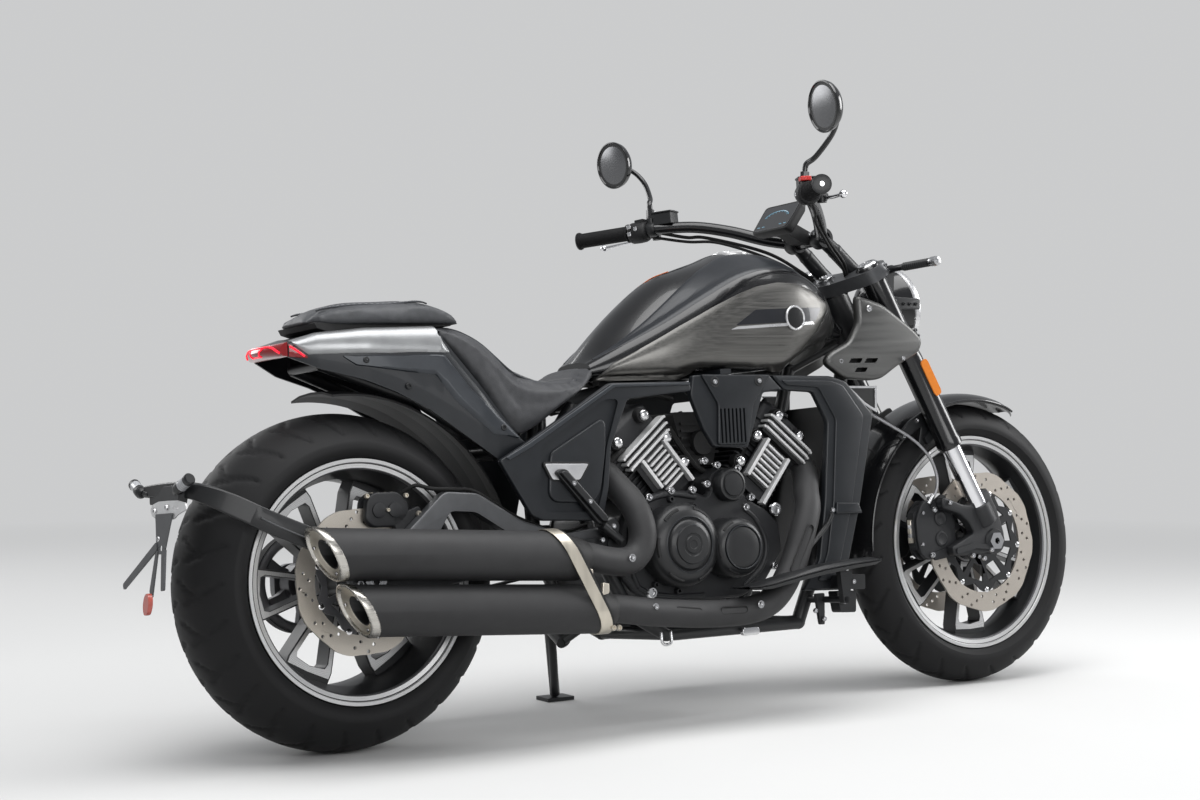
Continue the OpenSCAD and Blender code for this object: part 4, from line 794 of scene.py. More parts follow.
# tank, seat and tail
tankShape = {
    "top": [(575, 742), (642, 812), (712, 872), (780, 918), (836, 938), (904, 959), (954, 976), (1022, 980),
            (1100, 966), (1160, 934), (1210, 888), (1254, 838)],
    "ridge": [(575, 738), (685, 800), (831, 880), (937, 926), (1035, 936), (1120, 914), (1200, 862),
              (1254, 818)],
    "ridgeY": [(575, 44), (640, 78), (740, 104), (860, 114), (1040, 116), (1140, 100), (1200, 72),
               (1254, 46)],
    "wide": [(575, 64), (640, 104), (720, 136), (820, 154), (940, 160), (1060, 158), (1160, 130), (1210, 84),
             (1254, 56)],
    "low": [(575, 708), (740, 708), (800, 716), (1000, 716), (1060, 744), (1130, 772), (1254, 790)],
    "tunnel": [(575, 708), (700, 722), (900, 774), (1100, 812), (1254, 830)],
    "bandHigh": [(588, 0.98), (650, 0.92), (711, 0.85), (800, 0.70), (884, 0.46), (940, 0.34), (1010, 0.36),
                 (1070, 0.44), (1130, 0.62), (1175, 0.9)],
    "bandLow": [(588, 1.20), (640, 1.30), (728, 1.34), (810, 1.32), (893, 1.28), (1005, 1.2), (1070, 1.12),
                (1130, 1.05), (1175, 0.98)],
    "panelTop": [(583, 703), (612, 733), (678, 768), (751, 806), (833, 845), (902, 874), (951, 890),
                 (1006, 899),
                 (1062, 897), (1110, 882), (1140, 867), (1155, 854)],
    "panelLow": [(583, 699), (753, 697), (776, 706), (796, 718), (955, 720), (988, 709), (1010, 709),
                 (1060, 744),
                 (1114, 799), (1145, 836), (1155, 850)],
    "capAt": (1000, 0, 970.0),
}


def along3(key, x):
    return smoothLookup(x, tankShape[key])


def tankSpot(x, u, out=0.0):
    zt, zr, yr = along3("top", x), along3("ridge", x), along3("ridgeY", x)
    yw, zl = along3("wide", x), along3("low", x)
    zm = zl + (zr - zl) * 0.42
    zt = max(zt, zr + 2)
    if u <= 1:
        y, z = yr * u, zr + (zt - zr) * math.cos(math.pi / 2 * u)
        return Vector((x, y + out * 0.5 * u, z + out))
    if u <= 2:
        a = math.pi / 2 * (u - 1)
        return Vector((x, yr + (yw - yr) * math.sin(a) + out * (0.5 + 0.5 * math.sin(a)),
                       zm + (zr - zm) * math.cos(a) + out * math.cos(a) * 0.8))
    a = math.pi / 2 * (u - 2)
    return Vector((x, yw - yw * 0.16 * (1 - math.cos(a)) + out, zm - (zm - zl) * math.sin(a)))


def flankSpot(x, z, out=0.0):
    zr, yr, yw, zl = along3("ridge", x), along3("ridgeY", x), along3("wide", x), along3("low", x)
    zm = zl + (zr - zl) * 0.42
    if z > zm:
        y = yr + (yw - yr) * math.sin(math.acos(min(1, (z - zm) / (zr - zm))))
    else:
        y = yw - yw * 0.16 * (1 - math.cos(math.asin(min(1, (zm - z) / (zm - zl)))))
    return Vector((x, y + out, z))


def shell(piece, rows, thick):
    # closes a patch of outer rows with a second skin set inwards
    rings = []
    for row in rows:
        inner = [Vector((p.x, p.y - thick, p.z)) for p in row]
        rings.append(list(row) + inner[::-1])
    piece.loft(rings)


def span(low, high, count):
    return [low + (high - low) * k / (count - 1) for k in range(count)]


def cutBy(shown, cutters):
    # takes cutter meshes out of a piece and applies the result
    for cutter in cutters:
        change = shown.modifiers.new("cut", "BOOLEAN")
        change.operation, change.solver, change.object = "DIFFERENCE", "EXACT", cutter
    bpy.context.view_layer.update()
    result = bpy.data.meshes.new_from_object(shown.evaluated_get(bpy.context.evaluated_depsgraph_get()))
    shown.modifiers.clear()
    shown.data = result
    for cutter in cutters:
        bpy.data.objects.remove(cutter)
    for polygon in result.polygons:
        polygon.use_smooth = True
    result.set_sharp_from_angle(angle=math.radians(30))


def cutterOf(name, build):
    tool = Piece(name, "satinBlack", "chassis")
    build(tool)
    mesh = bpy.data.meshes.new(name)
    mesh.from_pydata([p / 1000 for p in tool.points], [], tool.faces)
    work = bmesh.new()
    work.from_mesh(mesh)
    bmesh.ops.remove_doubles(work, verts=work.verts, dist=2e-5)
    bmesh.ops.recalc_face_normals(work, faces=work.faces)
    work.to_mesh(mesh)
    work.free()
    made = bpy.data.objects.new(name, mesh)
    bpy.context.scene.collection.objects.link(made)
    made.matrix_world = toFrame @ Matrix.Scale(1000, 4)
    return made


tank = Piece("tankShell", "glossBlack", "chassis")
rings = []
for x in span(575, 1254, 70):
    half = [tankSpot(x, u) for u in span(0, 3, 40)]
    low, tun = along3("low", x), along3("tunnel", x)
    half += [Vector((x, 46, low)), Vector((x, 40, max(tun, low + 1)))]
    rings.append(half + [Vector((p.x, -p.y, p.z)) for p in half[:0:-1]])
tank.loft(rings)
tankObject = tank.done(sharp=34, standsFor=("tank",), slot="tank")
cutBy(tankObject, [cutterOf("neckCutter", lambda c: (
    c.lathe([(0.01, -60), (26, -60), (26, 0), (47, 0), (52, 12), (52, 60), (0.01, 60)], tankShape["capAt"],
            (0, 0, 1), 64,
            closedProfile=False)))])

band = Piece("tankBand", "bandPaint", "chassis", True)
rows = []
for x in span(588, 1175, 80):
    a, b = along3("bandHigh", x), along3("bandLow", x)
    row = []
    for k in range(13):
        edge = min(1.0, min(k, 12 - k) / 1.2)
        row.append(tankSpot(x, a + (b - a) * k / 12, 0.2 + 0.9 * edge))
    rows.append(row)
shell(band, rows, 1.6)
band.done(sharp=50, slot="tank")

flank = Piece("tankFlank", "flankPaint", "chassis", True)
rows = []
for x in span(1024, 1200, 36):
    z0 = lookup(x, [(1024, 728), (1056, 724), (1151, 762), (1200, 794)])
    z1 = lookup(x, [(1024, 730), (1060, 752), (1114, 806), (1150, 846), (1162, 876), (1180, 868),
                    (1200, 838)])
    rows.append([flankSpot(x, z, 0.3 + 1.2 * min(1, min(k, 10 - k) / 1.5)) for k,
                 z in enumerate(span(z0, max(z1, z0 + 1), 11))])
shell(flank, rows, 2.5)
flank.done(sharp=50, slot="tank")

panel = Piece("tankPanels", "gunBrushed", "chassis", True)
rows = []
for x in span(583, 1155, 104):
    z0, z1 = lookup(x, tankShape["panelLow"]), max(lookup(x, tankShape["panelTop"]),
                                                   lookup(x, tankShape["panelLow"]) + 2)
    ends = min(1.0, (x - 582) / 5, (1156 - x) / 5) ** 0.5
    outer = []
    for k in range(25):
        t = k / 24
        bulge = min(1.0, math.sqrt(math.sin(math.pi * (k + 0.3) / 24.6)) * 1.16)
        outer.append(flankSpot(x, z0 + (z1 - z0) * t, 1.6 + 5.4 * bulge * ends))
    rows.append(outer)
rings = []
for row in rows:
    inner = [flankSpot(p.x, p.z, 1.4) for p in row]
    rings.append(row + inner[::-1])
panel.loft(rings)
panel.done(sharp=45, standsFor=("tank_panels",), slot="tank_panels")


def strip(name, coat, low, high, x0, x1, out):
    mark = Piece(name, coat, "chassis", True)
    rows = []
    for x in span(x0, x1, 50):
        z0 = lookup(x, low)
        rows.append([flankSpot(x, z, out) for z in span(z0, max(z0 + 0.3, lookup(x, high)), 9)])
    shell(mark, rows, 0.5)
    mark.done(sharp=60, slot="tank_panels")


strip("stripeDark", "stripePaint", [(880, 806), (1099, 816), (1121, 845)],
      [(880, 806.5), (933, 839), (1121, 846)],
      881, 1120, 7.5)
strip("stripeSilver", "silverLine", [(866, 796.5), (1096, 809)], [(866, 797), (882, 803), (1092, 815),
        (1096, 810)], 867, 1095, 7.6)
badge = Piece("tankBadge", "silverLine", "chassis", True)
badgeFace = Piece("tankBadgeFace", "glossBlack", "chassis", True)
spot = flankSpot(1036, 822, 7.2)
across = (flankSpot(1046, 822) - flankSpot(1026, 822)).cross(flankSpot(1036, 832) - flankSpot(1036, 812)).normalized()
across = across if across.y > 0 else -across
badge.lathe([(22.5, -2), (27, -2), (27, 1.6), (26, 2.8), (23.5, 2.8), (22.5, 1.8)], spot, across, 64)
badgeFace.lathe([(0.01, -2), (22.8, -2), (22.8, 1.4), (18, 1.9), (0.01, 2.1)], spot, across, 64,
                closedProfile=False)
badge.done(slot="tank_panels")
badgeFace.done(slot="tank_panels")

tag = Piece("tankTag", "orangeTag", "chassis")
tag.loft([[tankSpot(x, u, 1.5) for u in (0.05, 0.34)] + [tankSpot(x, u, 0.6) for u in (0.34, 0.05)]
          for x in span(774, 836, 9)])
tag.done(slot="tank")

cap = Piece("fillerLid", "machined", "filler_cap")
spot = Vector(tankShape["capAt"]) + Vector((0, 0, 0.4))
cap.lathe([(0.01, 0), (25.4, 0), (25.4, 0.4), (40, 0.4), (41, 4), (39.5, 8.6), (36, 10.4), (29, 10.6),
           (28, 9.6), (27, 9.4),
           (20, 10.8), (0.01, 11.4)], spot, (0, 0, 1), 72, closedProfile=False)
for k in range(7):
    a = math.radians(20 + 360 / 7 * k)
    cap.bolt(spot + Vector((math.cos(a) * 33, math.sin(a) * 33, 10.2)), (0, 0, 1), 3.2, 1.4)
cap.prism([(36, 0.6), (49, 0.6), (49, 7.6), (46, 8.6), (36, 8.6)], -15, 15,
          lambda u, v, w: spot + Vector((u, w, v)))
cap.tube([spot + Vector((-12, -13, 11.6)), spot + Vector((-12, 0, 12.4)), spot + Vector((-12, 13, 11.6))],
         3.2, 10)
cap.done(bevel=0.4, segments=1, standsFor=("filler_cap",), slot="filler_cap")
neck = Piece("fillerNeck", "satinBlack", "chassis")
neck.lathe([(25.8, -58), (25.8, -0.4), (24, -0.4), (23, -2), (23, -58)], tankShape["capAt"], (0, 0, 1), 48)
neck.done(slot="tank")
print("stage: tank")

# the two pads
padShape = {
    "seatTop": [(188, 812), (235, 812), (262, 806), (300, 788), (329, 765), (373, 728), (443, 700),
                (516, 702),
                (550, 724), (566, 742)],
    "seatLow": [(188, 800), (270, 700), (333, 606), (362, 592), (460, 648), (566, 706)],
    "seatWide": [(188, 108), (262, 128), (333, 142), (420, 148), (500, 136), (566, 92)],
    "pillionTop": [(-70, 821), (-47, 842), (13, 856), (102, 860), (169, 866), (198, 859), (237, 841),
                   (262, 814)],
    "pillionLow": [(-70, 815), (11, 813), (262, 813)],
    "pillionWide": [(-70, 46), (-47, 78), (13, 98), (102, 106), (198, 108), (237, 100), (262, 84)],
    "swell": 7.0,
    "voxel": 5.0,
}


def padRing(x, kind, inset, shoulder=0.34):
    top = smoothLookup(x, padShape[kind + "Top"]) - inset
    low = smoothLookup(x, padShape[kind + "Low"]) + inset * 0.3
    half = smoothLookup(x, padShape[kind + "Wide"]) - inset
    top = max(top, low + 6)
    h = top - low
    ring = []
    for k in range(-14, 15):
        t = k / 14
        ring.append(Vector((x, half * (0.84 * t + 0.16 * t * abs(t)), top - shoulder * h * abs(t) ** 3.2)))
    ring += [Vector((x, half, low + h * 0.42)), Vector((x, half * 0.985, low + h * 0.16)),
             Vector((x, half * 0.93, low)),
             Vector((x, -half * 0.93, low)), Vector((x, -half * 0.985, low + h * 0.16)),
             Vector((x, -half, low + h * 0.42))]
    return ring


def swell(shown, limit):
    # a cloth run under pressure, with every point held to within a limit of where it was
    remesh = shown.modifiers.new("voxels", "REMESH")
    remesh.mode, remesh.voxel_size = "VOXEL", padShape["voxel"] / 1000
    mesh = bpy.data.meshes.new_from_object(shown.evaluated_get(bpy.context.evaluated_depsgraph_get()))
    mesh.materials.clear()
    mesh.materials.append(shown.data.materials[0])
    shown.modifiers.clear()
    shown.data = mesh
    before = [v.co.copy() for v in mesh.vertices]
    pinned = shown.vertex_groups.new(name="base")
    for i, v in enumerate(before):
        down = mesh.vertices[i].normal.z
        pinned.add([i], 1.0 if down < -0.5 else 0.0, "REPLACE")
    cloth = shown.modifiers.new("filling", "CLOTH")
    cloth.settings.use_pressure, cloth.settings.uniform_pressure_force = True, 4.0
    cloth.settings.effector_weights.gravity = 0
    cloth.settings.vertex_group_mass = "base"
    cloth.settings.quality = 4
    scene = bpy.context.scene
    for step in range(1, 21):
        scene.frame_set(step)
    blown = bpy.data.meshes.new_from_object(shown.evaluated_get(bpy.context.evaluated_depsgraph_get()))
    shown.modifiers.clear()
    shown.vertex_groups.clear()
    for v, old, new in zip(mesh.vertices, before, blown.vertices):
        move = new.co - old
        if move.length > limit / 1000:
            move *= limit / 1000 / move.length
        v.co = old + move
    bpy.data.meshes.remove(blown)
    scene.frame_set(1)
    for polygon in mesh.polygons:
        polygon.use_smooth = True
    smooth = shown.modifiers.new("relax", "SMOOTH")
    smooth.factor, smooth.iterations = 0.5, 3
    more = shown.modifiers.new("rounder", "SUBSURF")
    more.levels = more.render_levels = 1


def makePad(name, kind, coat, stations):
    pad = Piece(name, coat, "chassis")
    inset = padShape["swell"] * 0.55
    pad.loft([padRing(x, kind, inset) for x in stations])
    shown = pad.done(sharp=80, standsFor=(kind,), slot=kind)
    swell(shown, padShape["swell"])


makePad("seatPad", "seat", "seatHide", span(193, 562, 62))
makePad("pillionPad", "pillion", "pillionHide", span(-66, 258, 60))


def padTop(kind, x, y, out):
    ring = padRing(x, kind, 0)[:29]
    half = ring[-1].y
    t = max(-1, min(1, y / half))
    for a, b in zip(ring, ring[1:]):
        if a.y <= y <= b.y:
            w = (y - a.y) / max(1e-6, b.y - a.y)
            return Vector((x, y, a.z + (b.z - a.z) * w + out))
    return Vector((x, half * t, ring[-1].z + out))


def seamLine(piece, points, kind, radius=1.5, out=0.4):
    piece.tube([padTop(kind, x, y, out) for x, y in points], radius, 8)


seams = Piece("seatSeams", "thread", "chassis")
welt = Piece("seatWelts", "pipingHide", "chassis")
for s in (-1, 1):
    edge = smoothPath([(230, s * 84, 0), (300, s * 92, 0), (380, s * 104, 0), (450, s * 108, 0),
                       (510, s * 96, 0),
                       (545, s * 66, 0)], 14)
    seamLine(welt, [(p.x, p.y) for p in edge], "seat", 2.0, -0.2)
    stitches = [(p.x, p.y - s * 6) for p in edge]
    for a, b in list(zip(stitches, stitches[1:]))[::2]:
        seamLine(seams, [a, b], "seat", 0.7, 1.1)
    rim = smoothPath([(-40, s * 52, 0), (0, s * 68, 0), (80, s * 78, 0), (160, s * 80, 0), (176, s * 80, 0)], 14)
    seamLine(welt, [(p.x, p.y) for p in rim], "pillion", 1.8, -0.3)
    stitches = [(p.x, p.y - s * 5) for p in rim]
    for a, b in list(zip(stitches, stitches[1:]))[::2]:
        seamLine(seams, [a, b], "pillion", 0.7, 0.9)
    # the pressed loop near the front of the rider's seat
    loop = smoothPath([(432, s * 52, 0), (480, s * 60, 0), (518, s * 52, 0), (528, s * 34, 0),
                       (512, s * 24, 0),
                       (486, s * 26, 0)], 10)
    seamLine(welt, [(p.x, p.y) for p in loop], "seat", 1.5, 0.0)
seamLine(welt, [(180, y) for y in span(-92, 92, 40)], "pillion", 1.8, -0.3)
seams.done(slot="seat")
welt.done(slot="seat")
base = Piece("pillionBase", "deepPlastic", "chassis")
base.prism([(-52, 806), (-30, 799.5), (34, 805.5), (178, 807), (240, 811), (252, 817), (-58, 817)], -78, 78)
base.done(bevel=2.0, slot="pillion")
print("stage: seats")


def soften(outline, r=6.0, steps=4):
    # rounds the corners of an outline
    n, out = len(outline), []
    for k in range(n):
        p, q, s = (Vector(outline[(k + i) % n]) for i in (-1, 0, 1))
        a = q + (p - q).normalized() * min(r, (p - q).length * 0.45)
        b = q + (s - q).normalized() * min(r, (s - q).length * 0.45)
        for i in range(steps + 1):
            t = i / steps
            out.append(tuple(a * (1 - t) ** 2 + q * 2 * t * (1 - t) + b * t * t))
    return out


def moulded(piece, outline, low, high, edge=4.0, steps=4, holes=(), rise=None):
    # a plate whose outer edge is rounded over; low and high are distances from the centre plane
    sign = 1 if high > low else -1
    tall = rise or edge
    loops = [(outline, low)]
    for k in range(steps + 1):
        a = math.pi / 2 * k / steps
        loops.append((shrink(outline, edge * (1 - math.cos(a))) if k else outline,
                      high - sign * tall * (1 - math.sin(a))))
    n = len(outline)
    points, faces = [], []
    for loop, y in loops:
        points += [Vector((u, y, v)) for u, v in loop]
    for i in range(len(loops) - 1):
        for k in range(n):
            q = (k + 1) % n
            faces.append([i * n + k, i * n + q, (i + 1) * n + q, (i + 1) * n + k])
    last = (len(loops) - 1) * n
    back, front = list(loops[0][0]), list(loops[-1][0])
    extra = []
    for hole in holes:
        base = len(points)
        points += [Vector((u, low, v)) for u, v in hole] + [Vector((u, high, v)) for u, v in hole]
        m = len(hole)
        extra.append((base, m))
        faces += [[base + k, base + (k + 1) % m, base + m + (k + 1) % m, base + m + k] for k in range(m)]
    for ring, start, shift in ((back, 0, 0), (front, last, 1)):
        flat = [ring] + list(holes)
        ids = list(range(start, start + n))
        for base, m in extra:
            ids += list(range(base + shift * m, base + shift * m + m))
        for t in tessellate_polygon([[Vector((u, v, 0)) for u, v in loop] for loop in flat]):
            faces.append([ids[i] for i in t])
    piece.add(points, faces)
    return piece


# tail
tailShape = {
    "top": [(-112, 780), (-59, 796), (34, 804), (184, 807), (190, 790), (269, 689), (333, 600), (352, 578)],
    "low": [(-112, 752), (-57, 727), (23, 705), (87, 680), (153, 645), (195, 615), (295, 542), (352, 568)],
    "wide": [(-112, 76), (-60, 100), (34, 122), (150, 136), (260, 150), (352, 156)],
    "acrossY": [0.0, 0.62, 0.80, 0.885, 0.945, 0.985, 1.0, 0.995, 0.97],
    "downZ": [0.0, 0.0, 0.012, 0.05, 0.13, 0.26, 0.42, 0.72, 1.0],
}


def tailSpot(x, q, out=0.0):
    t, b, w = (lookup(x, tailShape[k]) for k in ("top", "low", "wide"))
    y = smoothLookup(q, list(enumerate(tailShape["acrossY"]))) * w
    z = t - smoothLookup(q, list(enumerate(tailShape["downZ"]))) * max(4, t - b)
    lean = min(1, max(0, (q - 1.5) / 3))
    return Vector((x, y + out * lean, z + out * (1 - lean)))


def tailAt(x, z):
    t, b = lookup(x, tailShape["top"]), lookup(x, tailShape["low"])
    want = min(1, max(0, (t - z) / max(4, t - b)))
    return lookup(want, [(d, q) for q, d in enumerate(tailShape["downZ"]) if q] or [(0, 0)])


tail = Piece("tailShell", "charcoal", "chassis")
rings = []
for x in span(-112, 184, 50):
    outer = [tailSpot(x, q) for q in span(0, 8, 25)]
    inner = [Vector((x, max(0, p.y - 5 * min(1, p.y / 60)), min(p.z, p.z - 5 * (1 - k / 24)))) for k,
             p in enumerate(outer)]
    ring = outer + inner[:0:-1]
    both = [Vector((p.x, -p.y, p.z)) for p in outer[:0:-1]] + outer + inner[:0:-1] + [Vector((x, 0,
            outer[0].z - 5))] \
        + [Vector((p.x, -p.y, p.z)) for p in inner[1:]]
    rings.append(both)
tail.loft(rings)
tail.done(sharp=50, standsFor=("tail",), slot="tail")
fin = Piece("tailSides", "charcoal", "chassis", True)
rings = []
for x in span(182, 350, 40):
    outer = [tailSpot(x, q) for q in span(3.2, 8, 16)]
    rings.append(outer + [Vector((p.x, lookup(x, tailShape["wide"]) - 7.5, p.z)) for p in outer[::-1]])
fin.loft(rings)
fin.done(sharp=50, slot="tail")
silver = Piece("tailSilver", "silverPaint", "chassis", True)
rows = []
for x in span(-104, 200, 60):
    z = lookup(x, [(-104, 776), (-79, 755), (201, 753)])
    top = 1.35 if x < 184 else tailAt(x, lookup(x, [(184, 797), (201, 754)]))
    low = tailAt(x, z)
    rows.append([tailSpot(x, top + (low - top) * k / 14,
                          0.4 + 2.2 * min(1, min(k, 14 - k) / 1.3)) for k in range(15)])
rings = []
for row in rows:
    rings.append(row + [Vector((p.x, p.y - 3, p.z - 1.5)) for p in row[::-1]])
silver.loft(rings)
silver.done(sharp=55, slot="tail")
side = Piece("tailPanel", "charcoalLight", "chassis", True)
rows = []
for x in span(-16, 336, 80):
    high = lookup(x, [(-16, 750), (189, 748), (239, 681), (336, 592)])
    low = lookup(x, [(-16, 748.5), (8, 732), (167, 709), (209, 657), (283, 593), (336, 583)])
    a, b = tailAt(x, high), tailAt(x, min(low, high - 1))
    rows.append([tailSpot(x, a + (b - a) * k / 10,
                          0.4 + 3.2 * min(1, min(k, 10 - k) / 1.0)) for k in range(11)])
shell(side, rows, 3.5)
side.done(sharp=50, slot="tail")
screws = Piece("tailScrews", "satinBlack", "chassis", True)
for x, z in ((26, 741), (303, 604), (110, 690)):
    q = tailAt(x, z)
    screws.bolt(tailSpot(x, q, 3.0), (0, 1, 0.15), 6.5, 2.6)
screws.done(slot="tail")
lamp = Piece("tailLens", "redLens", "chassis")
rings = []
for y in span(-72, 72, 33):
    c = math.cos(math.radians(90 * y / 84))
    x0 = -112.4
    rings.append([Vector((x0, y, 781)), Vector((x0, y, 753)), Vector((x0 - 6 - 20 * c, y, 755)),
                  Vector((x0 - 9 - 25 * c, y, 760)),
                  Vector((x0 - 10 - 26 * c, y, 765)), Vector((x0 - 8 - 24 * c, y, 772)),
                  Vector((x0 - 4 - 18 * c, y, 778))])
lamp.loft(rings)
lamp.done(sharp=50, standsFor=("tail_lamp",), slot="tail_lamp")
glow = Piece("tailGlow", "redGlow", "chassis")


def lampSpot(y, z, out=0.6):
    c = math.cos(math.radians(90 * y / 84))
    x = lookup(z, [(753, -6 - 20 * c), (755, -6 - 20 * c), (760, -9 - 25 * c), (765, -10 - 26 * c),
                   (772, -8 - 24 * c), (778, -4 - 18 * c)])
    return Vector((-112.4 + x - out, y, z))


arc = [(y, 773.5 - 14 * max(0, (abs(y) - 38) / 32) ** 2) for y in span(-70, 70, 41)]
glow.tube([lampSpot(y, z) for y, z in arc], 2.3, 8)
for s in (-1, 1):
    glow.tube([lampSpot(s * y, z) for y, z in ((26, 772), (20, 766), (17, 760), (17, 756))], 1.8, 8)
glow.tube([lampSpot(y, 757) for y in span(-17, 17, 9)], 1.8, 8)
glow.done(slot="tail_lamp")
# the lens goes round the corner up to the silver band
wrap = Piece("tailLensSides", "redLens", "chassis", True)
line = Piece("tailGlowSides", "redGlow", "chassis", True)
rows = []
for x in span(-111.6, -81, 12):
    high, low = lookup(x, [(-112, 778), (-106, 774), (-81, 752.5)]), lookup(x, [(-112, 752.6), (-81, 748)])
    a, b = tailAt(x, high), tailAt(x, low)
    rows.append([tailSpot(x, a + (b - a) * k / 8, 0.4 + 1.6 * min(1, min(k, 8 - k))) for k in range(9)])
shell(wrap, rows, 2.0)
wrap.done(sharp=50, slot="tail_lamp")
line.tube([tailSpot(x, tailAt(x, lookup(x, [(-111, 771), (-106, 768), (-86, 752)])), 2.2) for x in span(-111,
        -86, 10)], 1.8, 8)
line.done(slot="tail_lamp")
print("stage: tail")

# side covers, centre covers and front arches
coverShape = {
    "rear": [(279, 540), (342, 573), (548, 688), (745, 689), (748, 669), (588, 655), (542, 562), (531, 479),
             (514, 414),
             (370, 420), (346, 431)],
    "recess": [(368, 452), (374, 566), (530, 655), (566, 656), (530, 560), (516, 476), (500, 432),
               (384, 436)],
    "inset": [(388, 470), (396, 552), (522, 618), (533, 608), (529, 550), (512, 470), (496, 450), (402, 454)],
    "plate": [(381, 531), (484, 528), (462, 497), (398, 499)],
    "v": [(757, 702), (955, 702), (992, 668), (938, 664), (890, 549), (803, 553), (778, 590), (748, 662)],
    "vTop": [(774, 703), (956, 701), (906, 638), (888, 556), (808, 556), (814, 642)],
    "arch": [(962, 700), (1122, 697), (1163, 686), (1236, 613), (1185, 422), (1123, 239), (1014, 243),
             (1062, 308),
             (1086, 430), (1106, 600), (1072, 663), (994, 668)],
    "archTop": [(984, 690), (1116, 688), (1152, 678), (1206, 610), (1160, 424), (1104, 262), (1052, 262),
                (1082, 320),
                (1106, 430), (1126, 604), (1084, 672), (996, 678)],
    "scoop": [(1206, 867), (1217, 871), (1280, 854), (1365, 800), (1392, 775), (1380, 746), (1317, 718),
              (1268, 690),
              (1240, 686), (1160, 691), (1108, 724), (1122, 746), (1181, 771), (1208, 812)],
}
covers = Piece("sideCovers", "charcoal", "chassis", True)
outline, recess = soften(coverShape["rear"], 7), soften(coverShape["recess"], 14)
moulded(covers, outline, 162, 174, 3.5, holes=(recess,))
covers.prism([shrink(recess, -2)], 162, 168)
moulded(covers, soften(coverShape["inset"], 12), 167, 173.4, 5, 5)
covers.tube([(513, 103, 575), (513, 165, 575)], 9, 12)
covers.tube([(430, 110, 560), (430, 165, 560)], 9, 12)
covers.done(sharp=40, standsFor=("side_covers",), slot="side_covers")
# raised strip along the cover's upper edge in the lighter charcoal: a painted highlight along that edge
ridge = Piece("sideCoverHighlightRidge", "charcoalLight", "chassis", True)
moulded(ridge, soften([(292, 546), (346, 572), (552, 686), (744, 687), (744, 681), (556, 679), (352, 564),
                       (300, 540)], 2, 3),
        172.5, 177, 2.5)
ridge.done(sharp=40, slot="side_covers")
plate = Piece("sideBadgePlate", "silverLine", "chassis", True)
moulded(plate, soften(coverShape["plate"], 5), 170, 175.2, 1.2)
plate.done(sharp=40, slot="side_covers")
plate = Piece("sideBadgeRim", "deepPlastic", "chassis", True)
moulded(plate, shrink(soften(coverShape["plate"], 5), -4), 168, 174, 1.5)
plate.done(sharp=40, slot="side_covers")

centre = Piece("centreCovers", "charcoal", "chassis", True)
moulded(centre, soften(coverShape["v"], 7), 156, 169, 4)
slots = [[(847 + 10 * k, 560), (851.5 + 10 * k, 560), (851.5 + 10 * k, 632),
          (847 + 10 * k, 632)] for k in range(-3, 4)]
moulded(centre, soften(coverShape["vTop"], 8), 160, 175, 3.5, holes=[soften(s, 2, 2) for s in slots])
centre.prism([(836, 704), (864, 704), (864, 715), (836, 715)], 20, 158)
centre.done(sharp=40, standsFor=("centre_covers",), slot="centre_covers")
arch = Piece("frontArches", "charcoal", "chassis", True)
moulded(arch, soften(coverShape["arch"], 8), 158, 171, 5)
moulded(arch, soften(coverShape["archTop"], 9), 166, 175, 4)
arch.prism([(1160, 552), (1182, 552), (1182, 572), (1160, 572)], 116, 160)
moulded(arch, soften([(1110, 426), (1170, 423), (1180, 400), (1106, 402)], 3), 160, 182, 3)
arch.done(sharp=40, standsFor=("front_arch",), slot="front_arch")
bare = Piece("archPlate", "silverLine", "chassis", True)
bare.prism([[(1184, 676), (1266, 675), (1262, 617), (1228, 634)], [(1192, 671), (1260, 670), (1257, 625),
        (1230, 639)]], 150, 153)
bare.done(bevel=0.4, segments=1, slot="front_arch")
bare = Piece("archPlateFace", "deepPlastic", "chassis", True)
bare.prism([(1186, 674), (1264, 673), (1260, 620), (1229, 636)], 148, 151.5)
bare.tube([(1205, 130, 650), (1205, 150, 650)], 6, 10)
bare.done(bevel=0.4, segments=1, slot="front_arch")

scoop = Piece("scoops", "scoopMetal", "chassis", True)
outline = soften(coverShape["scoop"], 16, 5)
slotHoles = [soften(s, 2.5, 2) for s in ([(1178, 734), (1211, 734), (1203, 724), (1170, 724)],
                                         [(1222, 734), (1255, 734), (1247, 724), (1214, 724)],
                                         [(1193, 714), (1224, 714), (1216, 704), (1185, 704)])]
moulded(scoop, outline, 158, 176, 11, 6, holes=slotHoles, rise=13)
scoop.prism([(1212, 728), (1234, 728), (1234, 744), (1212, 744)], 112, 160)
scoop.done(sharp=48, standsFor=("scoops",), slot="scoops")
behind = Piece("scoopBacks", "deepPlastic", "chassis", True)
behind.prism(shrink(outline, 16), 158.5, 160)
behind.done(slot="scoops")
fixing = Piece("coverBolts", "boltSteel", "chassis", True)
for x, z, y, r in ((1150, 728, 172, 6), (1236, 842, 176, 7.5), (1325, 733, 176, 5.5), (807, 687, 174.5, 6),
                   (923, 688, 174.5, 6)):
    fixing.bolt((x, y, z), (0, 1, 0), r, 4.2)
fixing.done(slot="scoops")
wells = Piece("boltWells", "deepPlastic", "chassis", True)
for x, z in ((807, 687), (923, 688)):
    wells.lathe([(7, -1), (11.5, -1), (11.5, 0.8), (10, 1.6), (8, 1.2)], (x, 174.6, z), (0, 1, 0), 28)
wells.done(slot="centre_covers")

